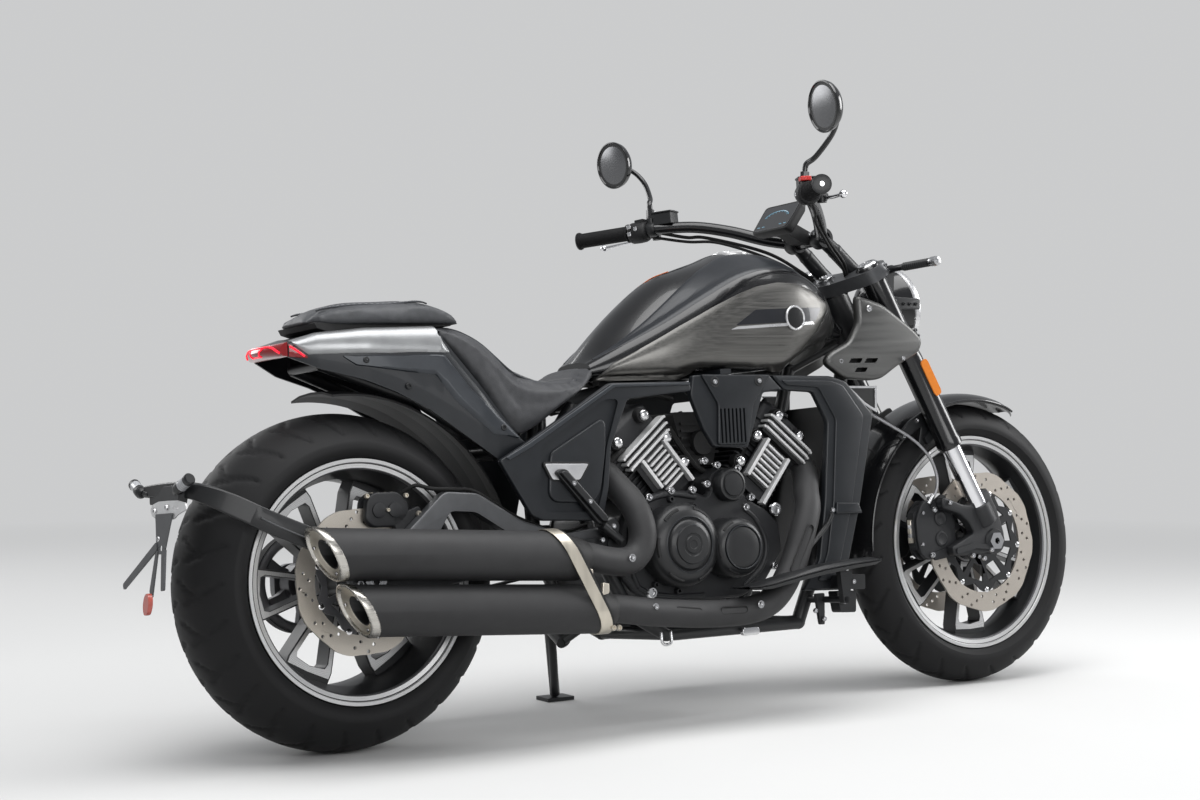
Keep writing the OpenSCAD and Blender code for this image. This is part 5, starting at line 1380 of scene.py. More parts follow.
# radiator with its fins and guards
radiator = Piece("radiatorFins", "deepPlastic", "chassis")
across = (Vector((1140, 0, 290)) - Vector((1240, 0, 640))).normalized()
face = Vector((-across.z, 0, across.x))
face = face if face.x > 0 else -face
top = Vector((1237, 0, 632))
for k in range(44):
    p = top + across * (6 + 7.6 * k)
    radiator.loft([[p + Vector((0, y, 0)) + face * a + across * b for a, b in ((-3, -0.5), (2.2, -0.5),
            (2.2, 0.5), (-3, 0.5))]
                   for y in (-132, 132)])
for s in (-1, 1):
    radiator.loft([[p + face * a + Vector((0, b, 0)) for a, b in ((-4, s * 132), (4, s * 132), (4, s * 149),
            (-4, s * 149))]
                   for p in (top, top + across * 348)])
radiator.done(slot="radiator")
print("stage: covers")


# engine
engine = {"crank": (832, 342), "tilt": 39.5, "fins": 11}
crankSpot = Vector((engine["crank"][0], 0, engine["crank"][1]))


def cylSpot(side, a, y, h):
    # a across the cylinder towards the valley for the rear one, h up from the crank
    t = math.radians(engine["tilt"])
    up = Vector((side * math.sin(t), 0, math.cos(t)))
    across = Vector((math.cos(t), 0, -side * math.sin(t)))
    return crankSpot + up * h + across * a + Vector((0, y, 0))


def roundBox(a0, a1, w, r=10, steps=3):
    return soften([(a0, -w), (a1, -w), (a1, w), (a0, w)], r, steps)


rails = {-1: {"rails": [(-22, 190, 263), (48, 150, 260)],
              "rungs": [(-12, 40, 252 - 12.5 * k) for k in range(7)],
              "bars": [(-56, 84, 295), (-57, 80, 281.5), (-56, 74, 267.5)],
              "domes": [(47, 328), (-41, 329), (60, 257), (58, 190)]},
         1: {"rails": [(-31, 172, 268), (37, 146, 265)],
             "rungs": [(-24, 28, 258 - 12.5 * k) for k in range(7)],
             "bars": [(-57, 79, 315), (-57, 79, 300), (-57, 79, 285.5)],
             "domes": [(-36, 326), (34, 325), (-58, 256), (-62, 184)]}}
for side, name in ((-1, "rear"), (1, "front")):
    block = Piece(name + "Cylinder", "castBlack", "chassis")
    where = lambda u, v, w: cylSpot(side, u, v, w)
    block.prism(roundBox(-60, 60, 90, 16), 112, 276, where)
    for k in range(engine["fins"]):
        h = 128 + 13 * k
        block.prism(roundBox(-70, 70, 98, 14), h, h + 4, where)
    rings = []
    for h, grow in ((270, -2), (273, 0), (290, 0), (293, -4), (296, -4), (299, 0), (334, 0), (340, -4),
                    (346, -14), (354, -18), (356, -22)):
        rings.append([cylSpot(side, a, y, h) for a, y in roundBox(-76 - grow, 76 + grow, 106 + grow, 18, 4)])
    block.loft(rings)
    for s in (-1, 1):
        block.prism(roundBox(-38, 52 if side < 0 else 40, 1, 0.4), 150, 262,
                    lambda u, v, w: cylSpot(side, u, s * (112 + 2 * v), w))
    for a, y in ((-52, 70), (-52, -70), (52, 70), (52, -70), (0, 84), (0, -84)):
        p = cylSpot(side, a, y, 354)
        block.bolt(p, p - cylSpot(side, a, y, 300), 8, 7)
    block.done(bevel=0.8, segments=1, sharp=40, standsFor=("cylinder_" + name,), slot="cylinder_" + name)
    bright = Piece(name + "Ladder", "ladderMetal", "chassis", True)
    dark = Piece(name + "LadderBack", "deepPlastic", "chassis", True)

    def bar(piece, p, q, wide, low, high):
        # a straight bar between two spots of the cylinder's side face
        (a0, h0), (a1, h1) = p, q
        d = Vector((a1 - a0, h1 - h0)).normalized()
        n = Vector((-d.y, d.x)) * wide / 2
        corners = [(a0 + n.x, h0 + n.y), (a1 + n.x, h1 + n.y), (a1 - n.x, h1 - n.y), (a0 - n.x, h0 - n.y)]
        rings = [[cylSpot(side, a, -y, h) for a, h in corners] for y in (low, high)]
        piece.loft(rings)

    for a, low, high in rails[side]["rails"]:
        bar(bright, (a, low), (a, high), 7.5, 108, 130)
    for a, b, h in rails[side]["rungs"]:
        bar(bright, (a, h), (b, h), 4.6, 110, 126.5)
        bar(dark, (a - 3, h - 6), (b + 3, h - 6), 8, 100, 118)
    for a, b, h in rails[side]["bars"]:
        bar(bright, (a + 6, h), (b - 6, h), 5.2, 104, 129.5)
        for u, v in ((a, a + 7), (b, b - 7)):
            bar(bright, (u, h - 2.2), (v, h), 5, 104, 128.5)
        bar(dark, (a + 4, h - 6.5), (b - 4, h - 6.5), 8.5, 100, 122)
    bright.done(bevel=0.9, sharp=40, slot="cylinder_" + name)
    dark.done(slot="cylinder_" + name)
    domes = Piece(name + "Domes", "boltSteel", "chassis", True)
    seatRing = Piece(name + "DomeSeats", "deepPlastic", "chassis", True)
    for a, h in rails[side]["domes"]:
        domes.lathe([(0.01, -6), (11.6, -6), (12, 2), (11, 6.5), (8, 9.2), (4, 10.4), (0.01, 10.8)],
                    cylSpot(side, a, -121, h), (0, -1, 0), 28, closedProfile=False)
        seatRing.lathe([(0.01, 0), (15.5, 0), (15.5, 14), (14, 17), (0.01, 17)], cylSpot(side, a, -104, h),
                       (0, -1, 0), 28)
    domes.done(sharp=60, slot="cylinder_" + name)
    seatRing.done(bevel=0.6, segments=1, slot="cylinder_" + name)

# crankcase
case = Piece("crankcase", "castBlack", "chassis")
outline = soften([(606, 262), (572, 300), (566, 350), (584, 424), (640, 458), (700, 469), (764, 466),
                  (800, 452), (818, 500),
                  (856, 512), (884, 480), (900, 446), (952, 420), (984, 392), (990, 330), (940, 268),
                  (880, 240), (660, 236)], 12)
rings = [[Vector((u, y, v)) for u, v in shrink(outline, d)] for y, d in
         ((-140, 6), (-136, 2), (-130, 0), (-126, 0), (-122, 4), (-108, 5), (108, 5), (122, 4), (126, 0),
          (134, 1), (138, 6))]
case.loft(rings)
case.prism(soften([(652, 262), (872, 262), (862, 212), (846, 203), (690, 203), (674, 212)], 8), -92, 92)
for k in range(9):
    case.prism(soften([(690 + 20 * k, 236), (696 + 20 * k, 236), (696 + 20 * k, 199), (690 + 20 * k, 199)],
                      2, 2), -96, 96)
case.lathe([(0.01, -138), (36, -138), (38, -134), (38, 134), (36, 138), (0.01, 138)], (842, 0, 473),
           (0, 1, 0), 40)
case.lathe([(0.01, 0), (18, 0), (18, 162), (12, 166), (0.01, 166)], (612, 0, 362), (0, 1, 0), 28)
case.lathe([(0.01, 128), (40, 128), (42, 132), (42, 156), (38, 160), (0.01, 160)], (612, 0, 362), (0, 1, 0), 40)
case.done(bevel=0.8, segments=1, sharp=40, standsFor=("crankcase",), slot="crankcase")

# round covers on the right, outer rims first
def disc(piece, centre, y0, profile, sides=72, sign=-1):
    piece.lathe([(0.01, profile[0][1])] + profile + [(0.01, profile[-1][1])],
                (centre[0], sign * y0, centre[1]), (0, sign, 0), sides,
                closedProfile=False)


covers = Piece("engineCovers", "satinBlack", "chassis")
disc(covers, (704, 356), 140, [(84, 0), (85.5, 8), (85.5, 34), (84, 42), (79, 50), (70, 56.5), (62, 59.5),
                               (58.5, 60), (56, 57.5),
                               (53, 57.5), (50, 62), (48, 64), (40, 66.5), (38.5, 69.5), (24, 71),
                               (22.5, 69.8), (18.5, 69.8),
                               (17, 71.6), (9.5, 72), (8.5, 71), (5, 71)])
disc(covers, (832, 344), 140, [(60, 0), (62, 6), (62, 46), (60, 55), (55, 63), (50, 66.5), (47, 67.5),
                               (45.5, 65.5), (43.5, 65.5),
                               (42, 68.5), (38, 70), (20, 70.5), (6, 70.7)])
disc(covers, (846, 474), 138, [(34, 0), (35, 6), (35, 24), (32, 29), (28, 30.5), (26.5, 29), (24.5, 29),
                               (23, 32), (12, 33)], 48)
disc(covers, (832, 342), 138, [(84, 0), (86, 6), (86, 32), (82, 42), (74, 48), (60, 50), (57, 47), (54, 47),
                               (51, 51), (30, 52.5)], 72, 1)
disc(covers, (700, 352), 132, [(58, 0), (60, 6), (60, 22), (55, 30), (48, 32), (45, 29.5), (42, 29.5),
                               (40, 33), (20, 34)], 56, 1)
covers.done(sharp=32, standsFor=("engine_covers",), slot="engine_covers")


def arcSlots(piece, centre, radius, depth, middles, half, wide):
    # dark curved slots sunk in a cover's sloping rim
    for m in middles:
        piece.tube([(centre[0] + radius * math.cos(a), -depth, centre[1] + radius * math.sin(a))
                    for a in (math.radians(t) for t in span(m - half, m + half, 12))], wide, 10)


slots = Piece("coverSlots", "deepPlastic", "chassis")
arcSlots(slots, (704, 356), 74, 191.5, (122, 182, 242, 302, 2, 62), 15, 4.4)
arcSlots(slots, (832, 344), 54.5, 200.5, (125, 185, 245), 15, 3.6)
slots.done(slot="engine_covers")
bead = Piece("clutchSteps", "charcoal", "chassis")
hexagon = [(704 + 47 * math.cos(math.radians(a)), 356 + 47 * math.sin(math.radians(a))) for a in range(15,
        375, 60)]
moulded(bead, soften(hexagon, 15, 5), -198, -207, 3.5)
bead.lathe([(60, 196), (60, 199.4), (57, 201), (55, 199.4), (55, 196)], (704, 0, 356), (0, -1, 0), 72)
bead.lathe([(46, 204), (46, 210.6), (44, 211.2), (42.6, 210), (42.6, 204)], (832, 0, 344), (0, -1, 0), 64)
bead.done(bevel=0.4, segments=1, sharp=40, slot="engine_covers")
rib = Piece("caseRibs", "castBlack", "chassis")
rib.tube(smoothPath([(612, -138, 276), (596, -140, 320), (600, -140, 400), (640, -140, 446),
                     (704, -140, 460), (766, -140, 452)]), 6, 10)
rib.tube(smoothPath([(776, -138, 250), (700, -140, 252), (640, -139, 262), (612, -138, 276)]), 6, 10)
rib.tube(smoothPath([(880, -138, 262), (930, -139, 300), (944, -139, 350), (920, -138, 400),
                     (890, -138, 424)]), 6, 10)
for a in range(20, 380, 36):
    rib.bolt((704 + 94 * math.cos(math.radians(a)), -136, 356 + 94 * math.sin(math.radians(a))), (0, -1, 0),
             7.5, 14, sides=14)
rib.done(sharp=40, slot="crankcase")
fixing = Piece("caseBolts", "boltSteel", "chassis")
for x, z in ((646, 456), (702, 467), (757, 467), (794, 478), (823, 516), (876, 508), (841, 447), (908, 446),
             (892, 426),
             (791, 526), (580, 318), (600, 424), (960, 300)):
    fixing.lathe([(0.01, 0), (8.2, 0), (8.2, 9), (7, 10.5), (0.01, 10.5)], (x, -138, z), (0, -1, 0), 16,
                 closedProfile=False)
    fixing.bolt((x, -148, z), (0, -1, 0), 5.2, 6)
for x, z, r in ((972, 418, 14), (641, 263, 12)):
    fixing.lathe([(0.01, 0), (r, 0), (r, 8), (r - 2, 10), (r * 0.62, 10), (r * 0.56, 6), (0.01, 6)],
                 (x, -139, z), (0, -1, 0), 24,
                 closedProfile=False)
fixing.done(sharp=40, slot="crankcase")
pad = Piece("leftCaseBolts", "castGrey", "chassis")
for a in range(0, 360, 45):
    pad.bolt((832 + 92 * math.cos(math.radians(a)), 136, 342 + 92 * math.sin(math.radians(a))), (0, 1, 0), 6, 7)
pad.done(sharp=40, slot="crankcase")

# the parts seen in the valley between the cylinders
valley = Piece("valleyParts", "deepPlastic", "chassis")
valley.prism(soften([(770, 632), (904, 632), (880, 560), (870, 520), (800, 520), (790, 560)], 8), -70, 70)
for k in range(5):
    valley.prism(soften([(788, 544 + 15 * k), (884, 544 + 15 * k), (884, 550 + 15 * k), (788, 550 + 15 * k)],
                        2, 2), -74, 74)
valley.lathe([(0.01, -84), (25, -84), (27, -80), (27, 80), (25, 84), (0.01, 84)], (837, 0, 566), (0, 1, 0), 32)
valley.lathe([(0.01, -64), (30, -64), (30, 64), (0.01, 64)], (762, 0, 480), (0, 1, 0), 28)
valley.done(bevel=0.8, segments=1, sharp=40, standsFor=("airbox",), slot="airbox")
loom = Piece("engineHoses", "hoseRubber", "chassis")
for y in (-84, 92):
    for pts in ([(748, y, 600), (770, y * 1.1, 560), (800, y * 1.15, 520), (828, y * 1.2, 500)],
                [(908, y, 640), (930, y * 1.1, 600), (940, y * 1.1, 560), (920, y * 1.1, 520)],
                [(620, y, 640), (640, y * 1.2, 660), (700, y * 1.2, 668), (760, y, 660)],
                [(560, y, 470), (572, y * 1.3, 520), (600, y * 1.35, 552), (640, y, 560)]):
        loom.tube(smoothPath(pts), 6.5, 10)
loom.done(slot="airbox")
print("stage: engine")


# exhaust
exhaust = {"slope": 3.4, "radius": 48.0, "headerRadius": 28.0, "frontSlant": 28.0, "endSlant": 30.0,
           "upper": ((385, -228, 349.7), 525.0), "lower": ((439, -228, 243.9), 521.0),
           "rearPath": [(600, -46, 552), (584, -72, 530), (571, -106, 506), (572, -142, 480),
                        (580, -178, 446), (583, -202, 406),
                        (579, -209, 368), (560, -211, 341), (528, -214, 331), (480, -220, 336),
                        (436, -226, 345.5),
                        (405, -228, 348.5), (378, -228, 350.1)],
           "frontPath": [(1066, -46, 550), (1080, -72, 529), (1086, -98, 506), (1074, -124, 480),
                         (1050, -152, 450),
                         (1034, -174, 416), (1006, -188, 368), (966, -196, 298), (914, -203, 240),
                         (850, -207, 216),
                         (740, -210, 214), (600, -219, 226), (500, -227, 240), (459, -228, 242.7),
                         (430, -228, 244.4)]}
back = math.radians(exhaust["slope"])
pipeDir, pipeUp = Vector((-math.cos(back), 0, math.sin(back))), Vector((math.sin(back), 0, math.cos(back)))


def pipeRing(front, s, r, slant, sides=64, tall=1.0):
    # a ring round a silencer in a plane slanted by that many degrees
    t = math.tan(math.radians(slant))
    return [Vector(front) + pipeDir * (s + r * tall * math.sin(a) * t)
            + Vector((0, r * math.cos(a), 0)) + pipeUp * r * tall * math.sin(a)
            for a in (math.tau * k / sides for k in range(sides))]


body = Piece("silencerBodies", "mattBlack", "chassis")
caps = Piece("silencerCaps", "deepPlastic", "chassis")
ends = Piece("endRings", "ringSteel", "chassis")
cups = Piece("endCups", "strapMetal", "chassis")
holes = Piece("outlets", "mattBlack", "chassis")
screw = Piece("endScrews", "boltSteel", "chassis")
r, noseSlant, endSlant = exhaust["radius"], exhaust["frontSlant"], exhaust["endSlant"]
for front, long in (exhaust["upper"], exhaust["lower"]):
    steps = [(0, r - 1.5, noseSlant), (2, r - 0.4, noseSlant), (8, r, noseSlant),
             (long * 0.5, r, (noseSlant + endSlant) / 2), (long - 14, r, endSlant),
             (long - 12, r - 1.5, endSlant)]
    body.loft([pipeRing(front, s, q, a) for s, q, a in steps], capStart=False, capEnd=False)
    caps.loft([pipeRing(front, s, q, a) for s, q, a in ((-46, 28.4, 4), (-40, 32, 8), (-28, 38, 16),
                                                        (-10, 43, 26), (-2, 44, 28), (6, 44, 28))],
              capStart=False)
    lip = ((-18, 44), (-18, 48.4), (-16, 49.7), (-4, 49.9), (-1.5, 49.2), (0, 47), (0, 44.5), (-1.5, 43.2), (-6, 42))
    ends.loft([pipeRing(front, long + s, q, endSlant) for s, q in lip], capStart=False, capEnd=False)
    cups.loft([pipeRing(front, long + s, q, endSlant) for s, q in ((-5.5, 43.6), (-6.5, 42), (-9, 33),
            (-11, 27.6), (-12.5, 25), (-20, 24.4))],
              capStart=False, capEnd=False)
    holes.loft([pipeRing(front, long + s, q, endSlant) for s, q in ((-11.5, 26.6), (-10.6, 25.4),
            (-12.5, 24.0), (-90, 23.6))], capStart=False)
    for a in (20, 140, 260):
        at = pipeRing(front, long - 7.2, 35, endSlant, 72)[a // 5]
        screw.bolt(at, (-1, 0, -0.5), 3.6, 2.6)
body.done(sharp=40, standsFor=("silencers",), slot="silencers")
caps.done(sharp=40, slot="silencers")
ends.done(sharp=30, standsFor=("silencer_ends",), slot="silencer_ends")
cups.done(sharp=40, slot="silencer_ends")
holes.done(sharp=40, slot="silencers")
screw.done(sharp=40, slot="silencer_ends")

# slanted band that runs down over both silencers
strap = Piece("strapBand", "strapMetal", "chassis")
strapEdge = Piece("strapEdge", "deepPlastic", "chassis")


def strapLine(r):
    high, low = exhaust["upper"][0], exhaust["lower"][0]
    pts = [(-228 + r * math.cos(math.radians(a)),
            high[2] + 4 + r * math.sin(math.radians(a))) for a in span(62, 180, 26)]
    pts += [(-228 - r, z) for z in span(high[2] - 8, low[2] + 12, 8)]
    return pts + [(-228 + r * math.cos(math.radians(a)),
                   low[2] + r * math.sin(math.radians(a))) for a in span(180, 292, 26)]


def strapRings(r, thick, shift, wide):
    inner, outer = strapLine(r), strapLine(r + thick)
    rings = []
    for (y0, z0), (y1, z1) in zip(inner, outer):
        x0, x1 = (385 + (349.7 - z) * 0.522 + shift for z in (z0, z1))
        rings.append([Vector((x0, y0, z0)), Vector((x1, y1, z1)), Vector((x1 - wide, y1, z1)),
                      Vector((x0 - wide, y0, z0))])
    return rings


strap.loft(strapRings(48.4, 2.2, 2, 27))
strapEdge.loft(strapRings(47.8, 1.5, 8, 6.5))
strap.done(bevel=0.5, segments=1, standsFor=("strap",), slot="strap")
strapEdge.done(slot="strap")
hanger = Piece("strapHanger", "satinBlack", "chassis")
moulded(hanger, soften([(366, 364), (390, 376), (540, 384), (550, 362), (530, 346), (452, 300), (448, 246),
                        (420, 238)], 6), -172.4, -178, 1.5)
hanger.tube([(530, -172, 366), (530, -182, 366)], 15, 24)
hanger.done(sharp=40, slot="strap")
clamps = Piece("strapFittings", "strapMetal", "chassis")
for x, z in ((412, 312), (448, 282)):
    moulded(clamps, soften([(x - 9, z - 12), (x + 8, z - 9), (x + 9, z + 10), (x - 6, z + 13)], 4), -258,
            -266, 1.5)
for x, y, z in ((412, -266, 312), (462, -262, 206), (478, -258, 205)):
    clamps.bolt((x, y, z), (0, -1, 0), 6, 5)
clamps.done(sharp=40, slot="strap")

# headers in their heat shields
for name, path, slot in (("rearHeader", exhaust["rearPath"], "header_rear"),
                         ("frontHeader", exhaust["frontPath"], "header_front")):
    pipe = Piece(name, "mattBlack", "chassis")
    pipe.tube(smoothPath(path, 6), exhaust["headerRadius"], 32)
    p, q = Vector(path[0]), Vector(path[1])
    pipe.tube([p, p + (q - p).normalized() * 9], 37, 28)
    pipe.done(sharp=50, standsFor=(slot,), slot=slot)
shieldPress = Piece("shieldPressings", "deepPlastic", "chassis")


def raceTrack(centreA, centreB, half, y):
    a, b = Vector((centreA[0], centreA[1])), Vector((centreB[0], centreB[1]))
    d = (b - a).normalized()
    n = Vector((-d.y, d.x))
    ring = [a + n * half * math.cos(t) - d * half * math.sin(t) for t in (math.pi * k / 8 for k in range(9))]
    ring += [b - n * half * math.cos(t) + d * half * math.sin(t) for t in (math.pi * k / 8 for k in range(9))]
    return [(p.x, y, p.y) for p in ring]


for a, b, half, y0, y1 in (((1004, 374), (948, 292), 9, -217.0, -224.6), ((688, 222), (636, 228), 7, -238.6, -241.2),
                           ((806, 219), (752, 220), 7, -235.2, -236.2)):
    ring = raceTrack(a, b, half, 0)
    pts = []
    for k, p in enumerate(ring + ring[:1]):
        t = (p[0] - a[0]) / (b[0] - a[0])
        pts.append((p[0], y0 + (y1 - y0) * t, p[2]))
    shieldPress.tube(pts, 1.7, 8)
shieldPress.done(slot="header_front")
shieldBolts = Piece("shieldBolts", "boltSteel", "chassis")
for x, y, z in ((530, -241.5, 338), (577, -245, 238), (848, -234, 226)):
    shieldBolts.lathe([(0.01, 0), (8, 0), (8, 2), (0.01, 2)], (x, y, z), (0, -1, 0), 20)
    shieldBolts.bolt((x, y - 1.5, z), (0, -1, 0), 5.5, 4)
shieldBolts.done(sharp=40, slot="header_front")
print("stage: exhaust")


# fork, clamps and headlight, all on the steering body
fork = {"apart": 108.0, "offset": 38.0, "bore": 27.7, "inner": 21.5, "clamps": (520.0, 684.0)}


def forkSpot(s, y=fork["apart"], ahead=0.0):
    return forkFoot + forkUp * s + forkFwd * ahead + Vector((0, y, 0))


def headSpot(u, v, w):
    return headFoot + forkFwd * u + forkUp * w + Vector((0, v, 0))


legs = Piece("forkOuters", "glossBlack", "steering", True)
legs.lathe([(22, 244), (26.5, 244), (29.3, 247), (29.3, 262), (27.5, 265), (27.5, 470), (26.8, 474),
            (26.8, 502), (27.5, 504),
            (27.5, 700), (26, 704), (20, 704), (20, 690), (0.5, 690), (0.5, 260), (22, 256)], forkSpot(0),
            forkUp, 48)
legs.done(sharp=32, standsFor=("fork_legs",), slot="fork_legs")
tubes = Piece("forkInners", "chrome", "steering", True)
tubes.lathe([(0.5, 62), (21.4, 62), (21.4, 252), (0.5, 252)], forkSpot(0), forkUp, 48)
tubes.done(sharp=40, standsFor=("fork_tubes",), slot="fork_tubes")
caps = Piece("forkCaps", "boltSteel", "steering", True)
caps.lathe([(0.01, 700), (22.5, 700), (23.5, 703), (23.5, 707), (21, 709.5), (15, 710), (14, 707.5),
            (12, 707.5), (11, 710), (7, 710),
            (6.5, 706), (0.01, 706)], forkSpot(0), forkUp, 40, closedProfile=False)
caps.done(sharp=35, slot="fork_legs")
feet = Piece("forkFeet", "castBlack", "steering", True)
foot = [(1570, 424), (1606, 442), (1634, 392), (1652, 336), (1650, 306), (1632, 292), (1600, 294),
        (1520, 290), (1494, 294), (1490, 312),
        (1516, 322), (1560, 340), (1544, 366), (1518, 386), (1470, 400), (1466, 416), (1474, 426),
        (1530, 406), (1556, 404)]
moulded(feet, soften(foot, 7), 96, 120, 5, holes=[[(1620 + 15.2 * math.cos(-t), 319.6 + 15.2 * math.sin(-t))
                                                  for t in (math.tau * k / 32 for k in range(32))]])
moulded(feet, soften(foot, 7), 100, 94, 4, holes=[[(1620 + 15.2 * math.cos(-t), 319.6 + 15.2 * math.sin(-t))
                                                  for t in (math.tau * k / 32 for k in range(32))]])
feet.lathe([(22, 40), (27, 44), (27.5, 84), (25.5, 90), (22, 92), (21.6, 92), (21.6, 40)], forkSpot(0),
           forkUp, 40)
feet.lathe([(15.4, 92), (27, 92), (29, 95), (29, 121), (26.5, 124), (15.4, 124)], (1620, 0, 319.6),
           (0, 1, 0), 40)
feet.prism(soften([(1500, 296), (1560, 306), (1600, 300), (1596, 312), (1556, 320), (1500, 308)], 4), 118, 124)
feet.done(bevel=0.8, segments=1, sharp=38, slot="fork_tubes")
axle = Piece("frontAxleEnds", "boltSteel", "steering", True)
axle.lathe([(7.4, 118), (18, 118), (18, 125), (16, 128), (12, 128), (11, 126), (8.4, 126), (7.4, 124)],
           (1620, 0, 319.6), (0, 1, 0), 6)
axle.done(bevel=0.8, sharp=30, slot="front_axle")
bits = Piece("forkBolts", "boltSteel", "steering", True)
for x, z, y in ((1581, 282, 121), (1547, 290, 121), (1486, 412, 121), (1604, 300, 122)):
    bits.bolt((x, y, z), (0, 1, 0), 6.2, 6)
for s in fork["clamps"]:
    for a in (-7, 7):
        p = headSpot(74, 108, s + a)
        bits.bolt(p, forkFwd, 4.6, 5)
        bits.bolt(headSpot(60, 128, s + a), (0, 1, 0), 4.6, 16)
bits.done(sharp=38, slot="triple_clamps")
outline = soften([(-32, -34), (0, -114), (14, -142), (58, -144), (74, -126), (72, -92), (44, -62), (36, -24),
                  (36, 24), (44, 62),
                  (72, 92), (74, 126), (58, 144), (14, 142), (0, 114), (-32, 34)], 15)
bores = [[(fork["offset"] + fork["bore"] * math.cos(-t), k * fork["apart"] + fork["bore"] * math.sin(-t))
          for t in (math.tau * i / 40 for i in range(40))] for k in (-1, 1)]
for name, coat, s in (("lowerClamp", "satinBlack", fork["clamps"][0]),
                      ("upperClamp", "greyPaint", fork["clamps"][1])):
    plate = Piece(name, coat, "steering")
    plate.prism([outline] + bores, s - 15, s + 15, headSpot)
    plate.prism(soften([(-20, -16), (22, -16), (22, 16), (-20, 16)], 6), s - 17, s + 16.5, headSpot)
    plate.done(bevel=2.5, sharp=40, standsFor=("triple_clamps",) if s < 600 else (), slot="triple_clamps")
stem = Piece("steeringStem", "satinBlack", "steering")
stem.lathe([(0.5, 505), (19, 505), (19, 700), (0.5, 700)], headFoot, forkUp, 32)
stem.done(sharp=40, slot="triple_clamps")
nut = Piece("stemNut", "boltSteel", "steering")
nut.lathe([(0.01, 699), (20, 699), (21, 702), (21, 706), (17, 709), (10, 709.5), (9.5, 706), (0.01, 706)],
          headFoot, forkUp, 32,
          closedProfile=False)
nut.done(sharp=35, slot="triple_clamps")
eye = Piece("forkReflectors", "amberReflector", "steering", True)
ring = soften([(-8, -44), (8, -44), (11, -36), (11, 36), (8, 44), (-8, 44), (-11, 36), (-11, -36)], 4)
eye.prism(ring, 26.5, 32, lambda u, v, w: forkSpot(414 + v, 108 + w * 0.94, u + 9))
eye.done(bevel=1.2, slot="fork_legs")

# calipers
caliper = Piece("frontCaliperBody", "castBlack", "steering", True)
shape = soften([(1424, 404), (1438, 420), (1472, 418), (1512, 398), (1526, 372), (1528, 322), (1510, 292),
                (1440, 286), (1420, 300),
                (1412, 330), (1410, 376)], 9)
moulded(caliper, shape, 83, 93.6, 4)
moulded(caliper, shape, 68, 56, 4)
caliper.prism(soften([(1408, 392), (1438, 412), (1432, 300), (1410, 316)], 5), 66, 86)
for z in (332, 378):
    caliper.lathe([(0.01, 0), (18, 0), (17, 3), (13, 5), (11, 4), (0.01, 4)], (1482, 92.5, z), (0, 1, 0), 32)
caliper.prism(soften([(1450, 404), (1484, 432), (1500, 428), (1490, 398)], 4), 93, 97.5)
caliper.prism(soften([(1450, 300), (1500, 312), (1500, 290), (1456, 284)], 4), 93, 97.5)
caliper.done(bevel=0.6, segments=1, sharp=38, standsFor=("front_calipers",), slot="front_calipers")
bits = Piece("caliperBolts", "boltSteel", "steering", True)
for x, z, y in ((1462, 398, 95), (1449, 297, 95), (1428, 392, 93), (1422, 322, 93), (1452, 424, 90)):
    bits.bolt((x, y, z), (0, 1, 0), 7 if y == 95 else 4.5, 6)
bits.prism(soften([(1404, 336), (1412, 336), (1412, 376), (1404, 376)], 2, 2), 70, 82)
bits.done(sharp=38, slot="front_calipers")
pads = Piece("brakePads", "strapMetal", "steering", True)
for z in (326, 346, 366):
    pads.prism(soften([(1402, z), (1411, z), (1411, z + 12), (1402, z + 12)], 1.5, 2), 72, 80)
pads.done(slot="front_calipers")
def freeLine(name, coat, points, radius, slot):
    # a hose or cable that goes back into the machine at both ends
    path = smoothPath(points, 8)
    line = Piece(name, coat, "steering").tube(path, radius, 12).done(slot=slot)
    long = sum((path[i + 1] - path[i]).length for i in range(len(path) - 1))
    2 * radius / 1000
    return line


for s, name in ((1, "Left"), (-1, "Right")):
    freeLine("brakeHose" + name, "hoseMetal", [(1300, s * 30, 640), (1332, s * 52, 618), (1368, s * 76, 590),
                                               (1416, s * 92, 557),
             (1455, s * 98, 518), (1474, s * 98, 478), (1473, s * 97, 444), (1458, s * 94, 420)], 3.6,
             "front_calipers")
union = Piece("hoseUnions", "boltSteel", "steering", True)
union.tube([(1463, 95, 430), (1450, 92, 412)], 5.6, 12)
union.done(slot="front_calipers")

# front fender
fender = Piece("fenderSkin", "glossBlack", "steering")
rings = []
for a in span(63, 184, 60):
    n = Vector((math.cos(math.radians(a)), 0, math.sin(math.radians(a))))
    tip, tail = max(0, (75 - a) / 12), max(0, (a - 172) / 12)
    half = 74 - 26 * tip ** 2.2 - 10 * tail ** 2
    outer = [(half * q, 344 - 20 * abs(q) ** 3.2 - (6 * tip ** 2 * (1 - abs(q)))) for q in span(-1, 1, 24)]
    ring = [Vector(frontAxle) + Vector((0, y, 0)) + n * r for y, r in outer]
    ring += [Vector(frontAxle) + Vector((0, y * 0.965, 0)) + n * (r - 4.5) for y, r in outer[::-1]]
    rings.append(ring)
fender.loft(rings)
fender.done(sharp=35, standsFor=("front_fender",), slot="front_fender")
lip = Piece("fenderLip", "glossBlack", "steering", True)
edge = []
for a in span(66, 181, 50):
    n = Vector((math.cos(math.radians(a)), 0, math.sin(math.radians(a))))
    edge.append(Vector(frontAxle) + Vector((0, 73 - 18 * max(0, (74 - a) / 12) ** 2, 0)) + n * 324.5)
lip.tube(edge, 2.6, 8)
lip.done(slot="front_fender")
stay = Piece("fenderStays", "satinBlack", "steering", True)
moulded(stay, soften([(1380, 566), (1420, 600), (1500, 640), (1512, 626), (1494, 590), (1458, 540),
                      (1440, 540), (1452, 586), (1400, 556)], 6),
        74, 82, 2.5)
stay.tube([(1476.5, 72, 604), (1476.5, 82, 604)], 12, 20)
stay.prism(soften([(1452, 560), (1490, 590), (1500, 578), (1462, 544)], 4), 78, 92)
